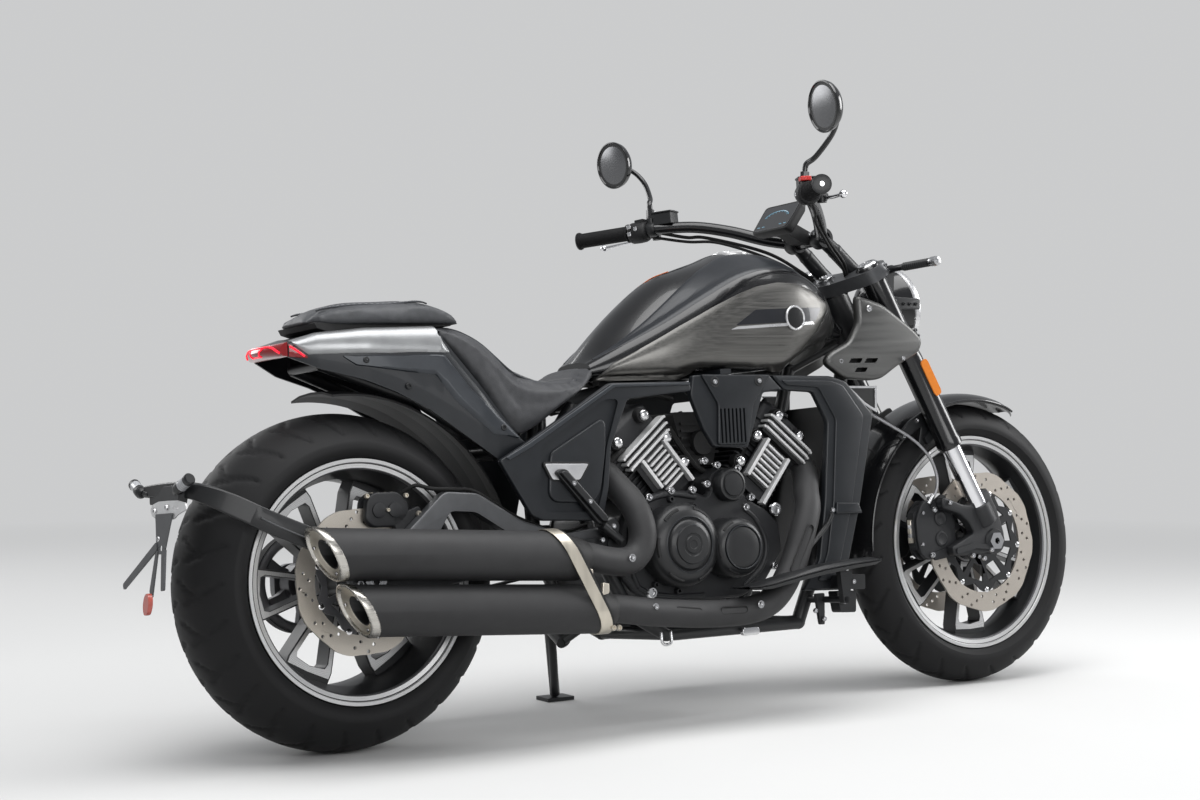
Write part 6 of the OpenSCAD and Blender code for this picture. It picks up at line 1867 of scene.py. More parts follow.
stay.done(bevel=0.8, segments=1, sharp=38, slot="front_fender")
bits = Piece("fenderBolts", "boltSteel", "steering", True)
for x, z in ((1398, 566), (1440, 600), (1486, 624)):
    bits.bolt((x, 82, z), (0, 1, 0), 5.5, 4)
bits.done(slot="front_fender")

# headlight, with its axis from the back of the shell to the lens
tilt = math.radians(84)
ahead = Vector((math.sin(tilt), 0, math.cos(tilt)))
shell0 = Piece("headlightShell", "glossBlack", "steering")
shell0.lathe([(0.5, -82), (24, -80.5), (42, -75), (58, -66), (70, -55), (80, -40), (87, -22), (91.5, -6),
              (92, 4), (86, 4), (80, -30),
              (60, -60), (0.5, -72)], (1455, 0, 862), ahead, 72)
shell0.done(sharp=40, standsFor=("headlight",), slot="headlight")
rim = Piece("headlightRim", "silverLine", "steering")
rim.lathe([(91, -9), (93.6, -7), (94.2, 0), (92.4, 7), (88, 9), (84, 7), (84, 1), (88, 0)], (1455, 0, 862),
          ahead, 72)
rim.done(sharp=35, slot="headlight")
bowl = Piece("headlightBowl", "chrome", "steering")
bowl.lathe([(86, 2), (74, -12), (54, -26), (30, -34), (28, -30), (52, -22), (71, -8), (82, 4)],
           (1455, 0, 862), ahead, 64)
for y, z in ((0, 24), (0, -26)):
    c = Vector((1455, y, 862)) + Vector((-ahead.z, 0, ahead.x)) * z
    bowl.lathe([(0.5, -30), (21, -28), (23, -12), (21, -6), (18, -8), (0.5, -6)], c, ahead, 36)
bowl.done(sharp=40, slot="headlight")
lens = Piece("headlightLens", "clearLens", "steering")
lens.lathe([(0.01, 24), (30, 22.5), (60, 16.5), (78, 9), (86, 4), (86, 1), (60, 8), (0.01, 14)],
           (1455, 0, 862), ahead, 64,
           closedProfile=False)
lens.done(sharp=50, slot="headlight")
ears = Piece("headlightEars", "satinBlack", "steering", True)
moulded(ears, soften([(1340, 846), (1452, 850), (1452, 874), (1340, 880)], 5), 94, 104, 2)
ears.prism(soften([(1400, 852), (1450, 854), (1450, 872), (1400, 874)], 4), 80, 96)
ears.prism(soften([(1338, 886), (1368, 886), (1374, 946), (1353, 946), (1353, 924), (1338, 908)], 4), 98, 112)
for k in range(4):
    ears.bolt((1384 + 18 * k, 104, 862), (0, 1, 0), 4, 3)
ears.done(bevel=0.8, segments=1, sharp=38, slot="headlight")
stalk = Piece("frontIndicatorStalks", "satinBlack", "steering", True)
stalk.lathe([(0.5, 92), (9, 92), (9, 118), (7, 122), (7, 150), (8, 154)] + [(9.6 if k % 2 else 7.9,
        156 + 3.4 * k) for k in range(26)] +
            [(8.6, 246), (0.5, 246)], (1362, 0, 938), (0, 1, 0), 28)
stalk.done(sharp=30, standsFor=("front_indicators",), slot="front_indicators")
tip = Piece("frontIndicatorTips", "boltSteel", "steering", True)
tip.lathe([(0.5, 246), (10.4, 246), (11, 249), (11, 262), (9.6, 266), (5, 267.5), (4.5, 265), (0.5, 265)],
          (1362, 0, 938), (0, 1, 0), 32)
tip.done(sharp=35, slot="front_indicators")
print("stage: front")


# handlebar and what is on it
bars = {"end": (903.0, 440.0, 1062.0), "bend": [(1222, 0, 1012), (1222, 40, 1012), (1180, 96, 1026),
                                                (1122, 156, 1052),
                                                 (1064, 210, 1068), (1000, 264, 1070)], "radius": 11.0}
barEnd = Vector(bars["end"])
barRun = (Vector(bars["bend"][-1]) - barEnd).normalized()
barUp = (Vector((0, 0, 1)) - barRun * barRun.z).normalized()
barBack = barRun.cross(barUp)
if barBack.x > 0:
    barBack = -barBack


def gripSpot(d, back=0.0, up=0.0, left=True):
    p = barEnd + barRun * d + barBack * back + barUp * up
    return p if left else Vector((p.x, -p.y, p.z))


bar = Piece("barTube", "glossBlack", "steering", True)
bar.tube(smoothPath(bars["bend"] + [tuple(gripSpot(178))], 7), 15, 28, endRadius=12)
bar.tube([gripSpot(178), gripSpot(2)], 11, 20)
bar.done(sharp=40, standsFor=("handlebar",), slot="handlebar")
riser = Piece("risers", "satinBlack", "steering", True)
foot = headFoot + forkUp * 699
for pts, r in (([Vector((1318, 52, 930)), Vector((1296, 52, 948)), Vector((1256, 50, 984))], 17),
               ([Vector((1256, 50, 984)), Vector((1222, 46, 1012))], 16)):
    riser.tube(pts, r, 28)
riser.ball((1256, 50, 984), 17.6, 24)
riser.lathe([(14.6, -15), (22, -15), (23.5, -12), (23.5, 12), (22, 15), (14.6, 15)], (1222, 46, 1012),
            (0, 1, 0), 32)
riser.done(sharp=38, slot="handlebar")
bits = Piece("riserBolts", "boltSteel", "steering", True)
for y in (37, 55):
    for a in (-1, 1):
        bits.bolt(Vector((1222, y, 1012)) + Vector((-0.62, 0, 0.78)) * 22 + Vector((0.78, 0, 0.62)) * 13 * a,
                  (-0.62, 0, 0.78), 4, 4)
bits.done(slot="handlebar")
grip = Piece("grips", "gripRubber", "steering", True)
rows = [(11.3, -1), (18.6, -1), (19.6, 1), (19.6, 4), (17, 6)]
for k in range(34):
    rows += [(17.1, 8 + 3.4 * k), (16.2, 9.2 + 3.4 * k), (16.2, 10.2 + 3.4 * k), (17.1, 11 + 3.4 * k)]
rows += [(17.2, 124), (20.5, 126), (21, 129), (19, 131), (11.3, 131)]
grip.lathe(rows, barEnd, barRun, 40)
grip.done(sharp=38, standsFor=("bar_controls",), slot="bar_controls")
weight = Piece("barEnds", "satinBlack", "steering", True)
weight.lathe([(0.01, -3), (9, -3), (17, -2.6), (20, -1.6), (20.4, 1.5), (11, 2.5), (0.01, 2.5)], barEnd,
             barRun, 40, closedProfile=False)
weight.lathe([(11.2, 178), (16, 178), (17, 180), (17, 196), (16, 198), (11.2, 198)], barEnd, barRun, 32)
weight.done(sharp=38, slot="bar_controls")
bits = Piece("barEndScrews", "boltSteel", "steering", True)
bits.bolt(barEnd - barRun * 2.6, -barRun, 5.5, 2.2)
bits.done(slot="bar_controls")
gear = Piece("switchgear", "deepPlastic", "steering", True)
rings = []
for d, r in ((133, 18), (135, 22.5), (140, 24.5), (156, 25), (170, 24), (176, 21.5), (178, 18)):
    rings.append([gripSpot(d, r * 1.06 * math.cos(t), r * 0.98 * math.sin(t) - 2) for t in (math.tau * k / 28
            for k in range(28))])
gear.loft(rings)
gear.loft([[gripSpot(d, b, u) for d, b, u in ((150, a, 18), (172, a, 18), (172, a, 27),
                                              (150, a, 26))] for a in (-14, 12)])
gear.done(bevel=0.8, segments=1, sharp=38, slot="bar_controls")
perch = Piece("leverPerches", "satinBlack", "steering", True)
perch.tube([gripSpot(188, 4), gripSpot(188, -22, -4), gripSpot(176, -44, -10)], 8.5, 16)
perch.tube([gripSpot(182, -34, 2), gripSpot(182, -34, -20)], 10, 20)
perch.tube([gripSpot(186, 0, 10), gripSpot(186, 0, 26)], 9, 20)
perch.done(sharp=40, slot="bar_controls")
lever = Piece("levers", "chrome", "steering", True)
line = smoothPath([gripSpot(184, -36, -8), gripSpot(170, -46, -11), gripSpot(130, -53, -13),
                   gripSpot(80, -54, -15), gripSpot(36, -50, -18)], 6)
rings = []
for i, p in enumerate(line):
    t = (line[min(i + 1, len(line) - 1)] - line[max(i - 1, 0)]).normalized()
    n = barUp
    b = t.cross(n).normalized()
    wide = lookup(i / (len(line) - 1), [(0, 9), (0.3, 7.5), (1, 5.5)])
    rings.append([p + b * wide * math.cos(a) + n * 4 * math.sin(a) for a in (math.tau * k / 14
            for k in range(14))])
lever.loft(rings)
lever.ball(line[-1], 8.6, 20)
lever.done(sharp=50, slot="bar_controls")
tank = Piece("reservoirs", "satinBlack", "steering", True)
tank.loft([[gripSpot(d, b, u) for d, b in ((196, 10), (240, 8), (242, -12), (240, -34), (198, -36),
                                           (194, -14))] for u in (8, 10, 32, 34)])
tank.loft([[gripSpot(d, b, u) for d, b in ((194, 12), (242, 10), (244, -12), (242, -36), (196, -38),
                                           (192, -14))] for u in (34, 38)])
tank.done(bevel=1.6, sharp=38, slot="bar_controls")
bits = Piece("reservoirScrews", "boltSteel", "steering", True)
for d, b in ((200, 4), (236, -30)):
    bits.bolt(gripSpot(d, b, 38), barUp, 3.2, 1.6)
bits.tube([gripSpot(183, -34, 3), gripSpot(183, -34, 4.6)], 6.5, 6)
bits.done(slot="bar_controls")
button = Piece("switchButtons", "boltSteel", "steering")
for d, u, w in ((142, 10, 9), (142, -6, 8), (158, 4, 7)):
    button.loft([[gripSpot(d + a * w, b, u + c * 4.5) for a, c in ((-0.5, -1), (0.5, -1), (0.6, 0), (0.5, 1),
            (-0.5, 1), (-0.6, 0))]
                 for b in (24, 29)])
button.loft([[gripSpot(d, b, u, False) for d, u in ((150, -8), (162, -8), (162, 0), (150, 0))] for b in (24, 28)])
button.done(bevel=1, slot="bar_controls")
kill = Piece("stopSwitch", "redPlastic", "steering")
kill.loft([[gripSpot(d, b, u, False) for d, b in ((140, 16), (168, 16), (170, 6), (166, -6), (144, -8),
                                                  (138, 4))] for u in (23, 33)])
kill.done(bevel=2.5, slot="bar_controls")

# mirrors
mirror = {"centre": (967.0, 381.0, 1233.0), "aim": (-1.0, -0.12, -0.12), "radius": 54.0}
aim = Vector(mirror["aim"]).normalized()
arms = Piece("mirrorArms", "glossBlack", "steering", True)
arms.tube(smoothPath([gripSpot(186, 0, 22), gripSpot(186, -2, 46), gripSpot(184, -6, 62),
                      Vector((1010, 300, 1146)), Vector((1024, 338, 1186)),
                      Vector((1016, 366, 1216)), Vector((986, 380, 1232))], 6), 6.4, 16, endRadius=5.4)
arms.tube([gripSpot(186, 0, 24), gripSpot(186, -2, 46)], 9.5, 6)
arms.lathe([(0.5, -29), (14, -28), (30, -26), (44, -20), (51, -12), (54, -3), (54, 1), (51.5, 1.6), (50, -1),
            (0.5, -2)],
           mirror["centre"], aim, 64)
arms.done(sharp=35, standsFor=("mirrors",), slot="mirrors")
glass = Piece("mirrorGlass", "mirrorGlass", "steering", True)
glass.lathe([(0.01, -0.4), (48, -1.2), (49.6, -1.8), (49.6, -3), (0.01, -3)], mirror["centre"], aim, 64,
            closedProfile=False)
glass.done(sharp=50, slot="mirrors")

# dash
dashTurn = Matrix.Rotation(math.radians(-52), 3, "Y")


def dashSpot(u, v, w):
    return Vector((1146, 0, 1056)) + dashTurn @ Vector((u, v, w))


case = Piece("dashCase", "deepPlastic", "steering")
face = soften([(-40, -58), (-34, -64), (34, -66), (40, -60), (40, 60), (34, 66), (-34, 64), (-40, 58)], 9)
case.loft([[dashSpot(u * k, v * k, w) for u, v in face] for w, k in ((-15, 0.66), (-12, 0.86), (-3, 0.97),
        (6, 1), (10, 0.995), (12, 0.975))])
case.prism(soften([(1130, 1036), (1150, 1058), (1226, 1024), (1224, 1004), (1190, 1004)], 5), -20, 20)
case.done(sharp=35, standsFor=("dash",), slot="dash")
screen = Piece("dashScreen", "darkScreen", "steering")
screen.loft([[dashSpot(u * 0.86, v * 0.9, w) for u, v in face] for w in (11, 12.9)])
screen.done(bevel=0.5, sharp=35, slot="dash")
lit = Piece("dashMarks", "dashBlue", "steering")
lit.tube([dashSpot(-6 + 24 * math.cos(math.radians(a)),
            44 * math.sin(math.radians(a)), 13.0) for a in span(-70, 70, 24)], 0.8, 6)
for k in range(9):
    a = math.radians(-64 + 16 * k)
    lit.tube([dashSpot(-6 + r * 24 * math.cos(a), r * 44 * math.sin(a), 13.0) for r in (0.86, 0.95)], 0.6, 6)
for v in (-46, -30, 30, 46):
    lit.tube([dashSpot(-24, v - 4, 13.0), dashSpot(-24, v + 4, 13.0)], 0.9, 6)
lit.done(slot="dash")
for s, name in ((1, "Left"), (-1, "Right")):
    for k, (a, b) in enumerate(((206, 20), (176, 8))):
        start = gripSpot(a, -10, -10 - 4 * k, s > 0)
        mid = Vector((1090 + 14 * k, s * (196 - 24 * k), 1042 - 14 * k))
        freeLine("barCable%s%d" % (name, k + 1), "hoseRubber", [
            start, (start + mid) / 2 + Vector((6, 0, -4)), mid, Vector((1188, s * 110, 1000 - 12 * k)),
            Vector((1262, s * (66 + b * 0.4), 950 - 10 * k)), Vector((1300, s * 30, 900 - 8 * k))],
            3.9 - 0.5 * k, "bar_controls")
print("stage: bars")


# swingarm, belt, plate bracket, pegs and stand
rear = {"axleZ": 324.0, "axleEnds": ((-1, -160), (1, 192)), "pulleyR": 95.0, "engineR": 38.0,
        "enginePulley": (612.0, 362.0), "beltThick": 4.6, "beltY": (134.6, 159.4)}
arm = Piece("swingArm", "greyPaint", "chassis")
right = [(-46, 300), (-30, 284), (60, 288), (250, 322), (520, 330), (560, 350), (560, 388), (520, 402),
         (430, 392), (330, 424),
         (236, 480), (162, 486), (62, 400), (-20, 362), (-46, 346)]
left = right[:9] + [(200, 372), (-20, 362), (-46, 346)]
window = soften([(120, 372), (230, 382), (300, 400), (228, 444), (172, 448)], 10)
moulded(arm, soften(right, 12), -136, -160, 5, holes=(window,))
moulded(arm, soften(right, 12), -138, -134, 2, holes=(window,))
moulded(arm, soften(left, 12), 168, 192, 5)
arm.prism(soften([(368, 330), (422, 330), (422, 388), (368, 388)], 8), -134, 168)
arm.prism(soften([(20, 326), (90, 330), (230, 344), (226, 356), (100, 350), (24, 342)], 5), 190, 194)
arm.tube([(530, -162, 366), (530, -134, 366)], 22, 28)
arm.tube([(530, 168, 366), (530, 196, 366)], 22, 28)
arm.done(bevel=0.6, segments=1, sharp=38, standsFor=("swingarm",), slot="swingarm")
joint = Piece("armPivotBolts", "boltSteel", "chassis")
for s, y in ((-1, -163), (1, 196)):
    joint.bolt((530, y, 366), (0, s, 0), 13, 7)
    joint.bolt((-30 if s < 0 else -28, -160.5 if s < 0 else 192, 322), (0, s, 0), 7, 5)
joint.done(sharp=40, slot="swingarm")
axle = Piece("rearAxleEnds", "boltSteel", "chassis")
for s, y in rear["axleEnds"]:
    axle.lathe([(8.4, 0), (23, 0), (23, 2.5), (8.4, 2.5)], (0, y, 324), (0, s, 0), 36)
    axle.lathe([(8.0, 2), (19, 2), (19, 8), (17, 10.5), (8.8, 10.5), (8.0, 8)], (0, y, 324), (0, s, 0), 6)
axle.done(bevel=0.7, segments=2, sharp=30, slot="rear_axle")
chainTug = Piece("axleBlocks", "castGrey", "chassis")
for s, y in rear["axleEnds"]:
    moulded(chainTug, soften([(-36, 306), (30, 306), (30, 342), (-36, 342)], 5), y, y + s * 3.5, 1)
chainTug.done(sharp=38, slot="swingarm")

caliper = Piece("rearCaliperBody", "castBlack", "chassis")
shape = soften([(2, 438), (8, 478), (24, 490), (74, 490), (96, 470), (98, 446), (74, 424), (20, 424)], 9)
moulded(caliper, shape, -120, -133, 4)
moulded(caliper, shape, -104, -92, 4)
caliper.prism(soften([(14, 470), (84, 470), (80, 489), (20, 489)], 4), -122, -102)
for x in (32, 66):
    caliper.lathe([(0.01, 0), (15, 0), (14, 4), (9, 5), (0.01, 5)], (x, -132, 456), (0, -1, 0), 24)
moulded(caliper, soften([(60, 440), (92, 452), (120, 462), (130, 436), (124, 396), (96, 380), (76, 398),
                         (66, 420)], 8), -118, -133, 2.5)
caliper.done(sharp=38, standsFor=("rear_caliper",), slot="rear_caliper")
bits = Piece("rearCaliperBits", "strapMetal", "chassis")
for x, y, z, r in ((8, -130, 484, 5), (92, -130, 482, 5), (50, -133, 456, 4), (116, -134, 446, 6),
                   (104, -134, 404, 6)):
    bits.bolt((x, y, z), (0, -1, 0), r, 6)
for x in (26, 40, 54, 68):
    bits.prism(soften([(x, 441), (x + 4, 441), (x + 4, 490.5), (x, 490.5)], 1, 1), -117, -107)
bits.done(sharp=38, slot="rear_caliper")
hose = Piece("rearBrakePipe", "hoseRubber", "chassis")
hose.tube(smoothPath([(88, -124, 488), (110, -140, 500), (140, -150, 492), (190, -152, 489),
                      (236, -150, 482), (330, -148, 428),
                      (430, -144, 397), (500, -130, 408)]), 4, 10)
hose.done(slot="rear_caliper")

# belt and its pulley
pulley = Piece("pulleyFace", "castGrey", "rear_wheel")
pulley.lathe([(84, 132), (96.5, 132), (99, 133.5), (99, 136), (95, 137), (95, 158), (98, 160), (98, 162),
              (84, 162), (80, 156),
              (80, 138)], (0, 0, 324), (0, 1, 0), 90)
for k in range(6):
    a = math.radians(60 * k + 30)
    n = Vector((math.cos(a), 0, math.sin(a)))
    t = Vector((-n.z, 0, n.x))
    pulley.loft([[Vector((0, 0, 324)) + n * r + t * w * s + Vector((0, y, 0)) for s,
                  y in ((-1, 138), (1, 138), (1, 156), (-1, 156))]
                 for r, w in ((30, 11), (56, 8), (84, 13))])
pulley.lathe([(17, 118), (40, 118), (40, 158), (34, 164), (26, 164), (24, 160), (17, 160)], (0, 0, 324),
             (0, 1, 0), 48)
for k in range(6):
    a = math.radians(60 * k)
    pulley.bolt((32 * math.cos(a), 163, 324 + 32 * math.sin(a)), (0, 1, 0), 4.5, 4)
pulley.done(bevel=0.7, segments=1, sharp=38, standsFor=("pulley",), slot="pulley")
belt = Piece("driveBelt", "gripRubber", "chassis")
dx, dz = rear["enginePulley"][0], rear["enginePulley"][1] - rear["axleZ"]
span0 = math.hypot(dx, dz)
lead, grip = math.atan2(dz, dx), math.acos((rear["pulleyR"] - rear["engineR"]) / span0)
beltLine = [(a, rear["pulleyR"] + 0.8, 0, rear["axleZ"]) for a in span(lead + grip, lead + math.tau - grip, 60)]
beltLine += [(a, rear["engineR"] + 5.2, *rear["enginePulley"]) for a in span(lead - grip, lead + grip, 30)]
rings = []
for a, r, cx, cz in beltLine:
    n = Vector((math.cos(a), 0, math.sin(a)))
    c = Vector((cx, 0, cz))
    top, (y0, y1) = r + rear["beltThick"], rear["beltY"]
    rings.append([c + n * q + Vector((0, y, 0)) for q, y in ((r, y0), (top, y0), (top, y1), (r, y1))])
belt.loft(rings, closed=True)
belt.done(bevel=0.6, segments=1, standsFor=("belt",), slot="belt")
guard = Piece("beltGuard", "deepPlastic", "chassis")
guard.prism(soften([(60, 424), (90, 436), (250, 428), (420, 414), (430, 396), (240, 404), (100, 410)], 5),
            166, 171)
guard.done(bevel=1.0, slot="swingarm")

print("stage: rear frame pieces")

# plate bracket and its arm
holder = Piece("plateArm", "satinBlack", "chassis")
path = smoothPath([(52, -166, 342), (20, -169, 356), (-60, -169, 384), (-140, -163, 415), (-210, -156, 446),
                   (-270, -140, 478),
                   (-306, -118, 498), (-322, -86, 508), (-330, -40, 513), (-334, 20, 514), (-338, 74, 513)], 5)
rings = []
for i, p in enumerate(path):
    t = (path[min(i + 1, len(path) - 1)] - path[max(i - 1, 0)]).normalized()
    u = Vector((0, 0, 1)) - t * t.z
    u.normalize()
    w = t.cross(u)
    k = i / (len(path) - 1)
    tall = lookup(k, [(0, 15), (0.15, 21), (0.5, 20), (0.7, 15), (1, 11)])
    wide = lookup(k, [(0, 7), (0.5, 8), (0.7, 10), (1, 13)])
    section = ((-1, -0.7), (-0.86, -1), (0.86, -1), (1, -0.7), (1, 0.7), (0.86, 1), (-0.86, 1), (-1, 0.7))
    rings.append([p + u * tall * a + w * wide * b for a, b in section])
holder.loft(rings)
holder.tube([(-20, -176, 338), (-20, -165, 338)], 13, 20)
holder.done(bevel=1.0, segments=2, sharp=40, standsFor=("plate_holder",), slot="plate_holder")
slot = Piece("plateArmSlot", "greyPaint", "chassis")
slot.tube(smoothPath([(-226, -163.5, 452), (-190, -166, 434), (-140, -172.6, 411), (-116, -174.8, 402),
                      (-106, -175.4, 402)]), 1.8, 8)
slot.done(slot="plate_holder")
facing = lambda u, v, w: Vector((w - (480 - v) * 0.12, u, v))
bracket = Piece("bracketPlate", "ladderMetal", "chassis")
bracket.prism([soften([(-122, 474), (-116, 486), (-80, 492), (-40, 493), (6, 493), (34, 488), (42, 478),
                       (30, 466), (8, 460), (-68, 458),
                       (-84, 466)], 5),
               soften([(-86, 481), (-78, 481), (-78, 475), (-86, 475)], 2, 2),
               soften([(-70, 483), (-63, 483), (-63, 477), (-70, 477)], 2, 2),
               soften([(26, 484), (33, 484), (33, 476), (26, 476)], 2, 2)], -352, -349, facing)
bracket.done(bevel=0.6, segments=1, slot="plate_holder")
stem = Piece("bracketStem", "greyPaint", "chassis")
stem.prism([soften([(-70, 470), (8, 470), (0, 440), (-6, 414), (-14, 396), (-44, 396), (-52, 420),
                    (-60, 444)], 4),
            soften([(-34, 412), (-22, 412), (-22, 402), (-34, 402)], 3, 3)], -356, -353, facing)
for a, b in (((-12, 412), (132, 338)), ((-44, 404), (-52, 330))):
    d = Vector((b[0] - a[0], b[1] - a[1])).normalized()
    n = Vector((-d.y, d.x)) * 8
    stem.prism(soften([(a[0] + n.x, a[1] + n.y), (b[0] + n.x * 0.8, b[1] + n.y * 0.8),
                       (b[0] - n.x * 0.8, b[1] - n.y * 0.8),
                       (a[0] - n.x, a[1] - n.y)], 4), -358, -354, facing)
stem.prism(soften([(-18, 404), (-8, 404), (8, 330), (2, 318), (-6, 318), (-8, 332)], 3), -357, -354, facing)
stem.done(bevel=0.6, segments=1, slot="plate_holder")
base = Piece("bracketBase", "satinBlack", "chassis")
base.prism(soften([(-80, 520), (60, 520), (54, 488), (-74, 484)], 6), -349, -330, facing)
base.done(bevel=1.5, slot="plate_holder")
# the reflector's lens carries a painted glow (emission), not a lamp's light
eye = Piece("rearReflector", "salmonLensPaintedGlow", "chassis")
eye.prism([(0 + 13 * math.cos(t), 306 + 20 * math.sin(t)) for t in (math.tau * k / 28 for k in range(28))],
          -366, -357, facing)
eye.done(bevel=2, slot="plate_holder")
screw = Piece("bracketScrews", "boltSteel", "chassis")
for y, z in ((-38, 481), (-14, 424), (16, 476)):
    screw.bolt((-353 - (480 - z) * 0.12, y, z), (-1, 0, 0), 5.5, 4)
screw.done(slot="plate_holder")
turn = Piece("rearIndicatorArms", "satinBlack", "chassis", True)
turn.tube([(-344, 60, 508), (-348, 84, 512)], 7, 16)
turn.lathe([(0.01, 0), (7, 0), (11, 6), (11.4, 12), (11.4, 22), (10.6, 23), (0.01, 23)], (-351.5, 78, 509),
           (0.1, 0.9, 0.36), 28)
turn.lathe([(0.01, 46), (11.2, 46), (11.2, 54), (9, 57), (0.01, 57)], (-351.5, 78, 509), (0.1, 0.9, 0.36), 28)
turn.done(sharp=35, standsFor=("rear_indicators",), slot="rear_indicators")
lens = Piece("rearIndicatorLens", "clearLens", "chassis", True)
lens.lathe([(0.01, 22)] + [(10.8 - 0.5 * (k % 2), 23 + 2.3 * k) for k in range(11)] + [(0.01, 47)],
           (-351.5, 78, 509), (0.1, 0.9, 0.36), 28)
lens.done(sharp=25, slot="rear_indicators")

# pillion pegs, front foot controls and the guard under them
pegs = Piece("pillionPegs", "satinBlack", "chassis", True)
bar = soften([(400, 513), (412, 520), (426, 518), (520, 420), (512, 408), (496, 406)], 5)
moulded(pegs, bar, 174.6, 186, 2.5)
moulded(pegs, soften([(404, 512), (413, 516), (424, 512), (512, 420), (508, 412), (498, 412)], 4), 184, 197, 3)
pegs.lathe([(0.01, 172), (20, 172), (20, 190), (16, 194), (0.01, 194)], (520, 0, 400), (0, 1, 0), 28)
pegs.tube([(500, 190, 404), (538, 196, 372)], 9, 16)
pegs.done(sharp=38, standsFor=("pillion_pegs",), slot="pillion_pegs")
pegBolts = Piece("pegBolts", "boltSteel", "chassis", True)
for x, z, y in ((431, 490, 196), (467, 453, 196), (522, 402, 193), (498, 376, 186)):
    pegBolts.bolt((x, y, z), (0, 1, 0), 5.5, 5)
pegBolts.done(slot="pillion_pegs")
blade = Piece("footBlades", "satinBlack", "chassis", True)
rings = []
for x, low, high in ((799, 261, 263), (830, 256, 268), (860, 255, 274), (930, 266, 287), (1000, 276, 298),
                     (1080, 284, 305),
                     (1140, 289, 307), (1154, 296, 304)):
    m = (low + high) / 2
    rings.append([Vector((x, y, z)) for y, z in ((200, m + (high - low) * 0.2), (214, high - 1), (236, high),
                                                 (258, high - 2), (264, m + 3),
                                                (264, m + 1), (261.5, m), (264, m - 1.5), (262, low + 2),
                                                (244, low), (210, low + 2))])
blade.loft(rings)
blade.done(bevel=0.5, segments=1, sharp=38, standsFor=("foot_controls",), slot="foot_controls")
under = Piece("footLinks", "satinBlack", "chassis", True)
under.tube([(1064, 126, 222), (1064, 250, 222)], 7, 16)
under.prism(soften([(1056, 214), (1072, 214), (1082, 282), (1050, 282)], 4), 236, 250)
under.tube(smoothPath([(949, 205, 290), (1010, 196, 330), (1060, 184, 366), (1082, 182, 384),
                       (1093, 182, 403)]), 4.5, 12)
under.tube(smoothPath([(959, 205, 282), (1025, 192, 338), (1070, 186, 372), (1093, 184, 400)]), 4.0, 12)
under.prism(soften([(1086, 242), (1162, 238), (1164, 270), (1090, 273)], 5), 150, 196)
under.prism(soften([(1040, 236), (1064, 236), (1060, 170), (1048, 170)], 4), 170, 178)
under.prism(soften([(1096, 238), (1150, 236), (1146, 190), (1104, 192)], 6), 150, 180)
under.done(bevel=0.8, segments=1, sharp=38, slot="foot_controls")
small = Piece("footBolts", "boltSteel", "chassis", True)
for x, z, y in ((1091, 410, 186), (1112, 214, 182), (1056, 182, 180), (1040, 200, 172), (1128, 256, 197)):
    small.bolt((x, y, z), (0, 1, 0), 5.5, 5)
small.prism(soften([(1098, 262), (1122, 264), (1122, 268), (1098, 267)], 1.5, 2), 196, 199)
small.done(slot="foot_controls")
lowFit = Piece("lowerFittings", "boltSteel", "chassis")
lowFit.tube(smoothPath([(657, -148, 182), (656, -150, 164), (662, -150, 157), (674, -150, 157),
                        (680, -150, 164), (681, -148, 182)], 4), 3.2, 10)
moulded(lowFit, soften([(869, 176), (914, 176), (914, 159), (869, 159)], 8), -132, -142, 2)
lowFit.done(bevel=0.4, segments=1, sharp=38, slot="frame")

# side stand
stand = Piece("standLeg", "satinBlack", "side_stand")
stand.tube(smoothPath([(600, 185, 200), (624, 214, 150), (652, 256, 90), (667, 280, 57), (674, 290, 42)]),
           10, 20, endRadius=8.5)
stand.done(sharp=40, slot="side_stand")
print("stage: rear")


# floor, backdrop and lamps
studio = {"floor": (0.66, 0.66, 0.655), "bounce": (0.22, 0.22, 0.22), "backdrop": (0.60, 0.605, 0.61),
          "near": 1.6, "far": 5.5, "reach": 60.0, "key": 130.0, "fill": 78.0, "rim": 95.0, "world": 0.42}
rayKinds = ("Is Camera Ray", "Is Glossy Ray", "Is Transmission Ray")
floorPaint = Finish("studioFloor", studio["floor"], 0.75, shine=0.0)
cloudy = floorPaint.mix(floorPaint.noise(0.8, 3) * 0.25, shade(*studio["floor"]), shade(0.64, 0.64, 0.635))
seen = sum((floorPaint.node("ShaderNodeLightPath", out=kind) for kind in rayKinds), 0.0)
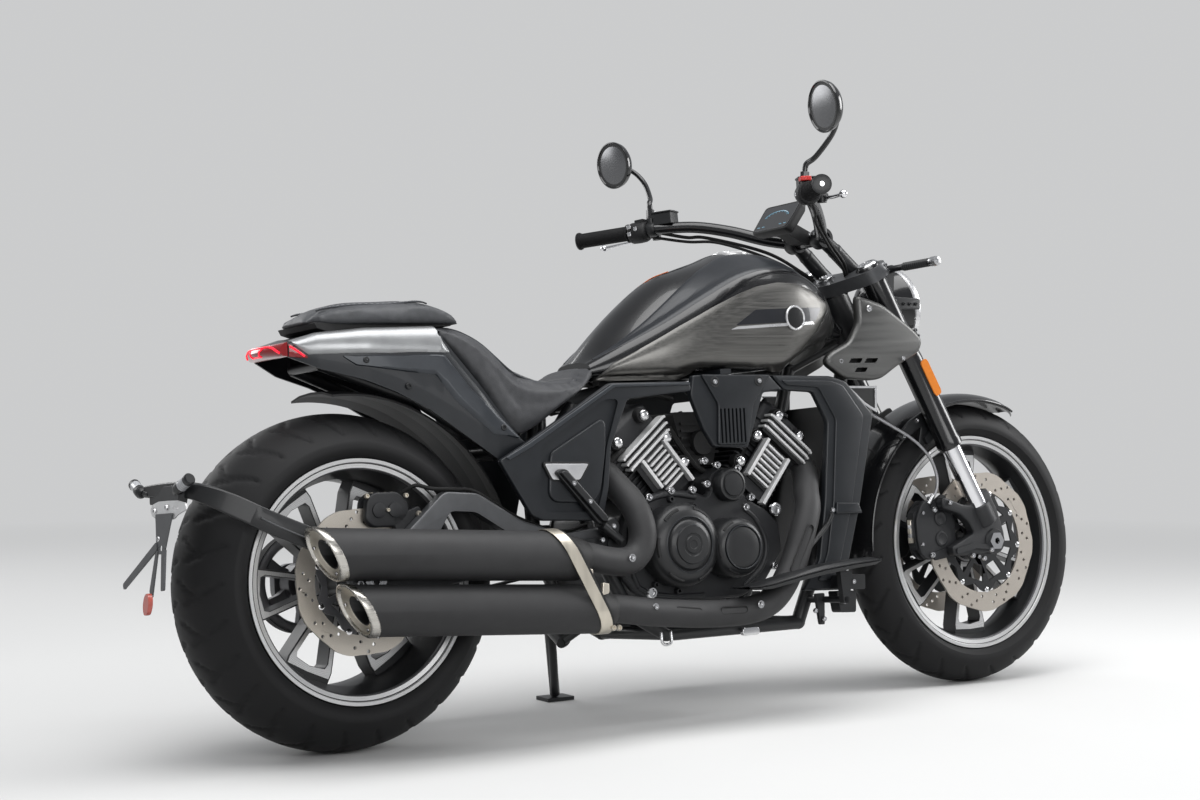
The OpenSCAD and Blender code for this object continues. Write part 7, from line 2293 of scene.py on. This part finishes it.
# far away the floor takes the backdrop's colour, which lights nothing
reach = floorPaint.node("ShaderNodeVectorMath", {"operation": "LENGTH"}, [floorPaint.place()], out="Value")
far = floorPaint.span(reach, studio["near"], studio["far"])
floorPaint.put("Base Color", floorPaint.mix(seen, shade(*studio["bounce"]),
                                            floorPaint.mix(far, cloudy, shade(0, 0, 0))))
floorPaint.put("Emission Color", floorPaint.mix(seen * far, shade(0, 0, 0), shade(*studio["backdrop"])))
floorPaint.put("Emission Strength", 1.0)
floorMesh = bpy.data.meshes.new("studioFloor")
corners = [(-1, -1), (1, -1), (1, 1), (-1, 1)]
floorMesh.from_pydata([(x * studio["reach"], y * studio["reach"], -0.0006) for x, y in corners], [],
                      [[0, 1, 2, 3]])
floorMesh.materials.append(floorPaint.material)
studioFloor = bpy.data.objects.new("studioFloor", floorMesh)
bpy.context.scene.collection.objects.link(studioFloor)


def areaLamp(name, place, aim, size, power, colour=(1, 1, 1)):
    lamp = bpy.data.lights.new(name, "AREA")
    lamp.shape, lamp.size, lamp.size_y = "RECTANGLE", size[0], size[1]
    lamp.energy, lamp.color = power, colour
    holder = bpy.data.objects.new(name, lamp)
    holder.location = place
    holder.rotation_mode = "QUATERNION"
    holder.rotation_quaternion = (Vector(aim) - Vector(place)).to_track_quat("-Z", "Y")
    bpy.context.scene.collection.objects.link(holder)


areaLamp("overheadLamp", (0.0, -0.6, 3.6), (0, 0, 0.4), (4.5, 2.2), studio["key"])
areaLamp("sideLamp", (-1.2, -4.2, 1.7), (0, 0, 0.6), (3.6, 1.8), studio["fill"])
areaLamp("noseLamp", (4.0, -1.4, 2.0), (0.4, 0, 0.6), (1.6, 2.0), studio["rim"])
areaLamp("farLamp", (-1.5, 4.0, 2.2), (0, 0, 0.6), (3.6, 1.6), studio["fill"] * 0.8)
world = bpy.data.worlds.new("studioWorld")
bpy.context.scene.world = world
world.use_nodes = True
sky = world.node_tree
sky.nodes["Background"].inputs["Color"].default_value = (0.9, 0.92, 0.95, 1)
sky.nodes["Background"].inputs["Strength"].default_value = studio["world"]
shown, chooser, rays, either = [sky.nodes.new("ShaderNode" + kind)
                                for kind in ("Background", "MixShader", "LightPath", "Math")]
shown.inputs["Color"].default_value = shade(*studio["backdrop"])
either.operation = "ADD"
sky.links.new(rays.outputs["Is Camera Ray"], either.inputs[0])
sky.links.new(rays.outputs["Is Transmission Ray"], either.inputs[1])
for source, socket in [(either, 0), (sky.nodes["Background"], 1), (shown, 2)]:
    sky.links.new(source.outputs[0], chooser.inputs[socket])
sky.links.new(chooser.outputs[0], sky.nodes["World Output"].inputs["Surface"])
bpy.context.scene.view_settings.view_transform = "Standard"
print("stage: studio")
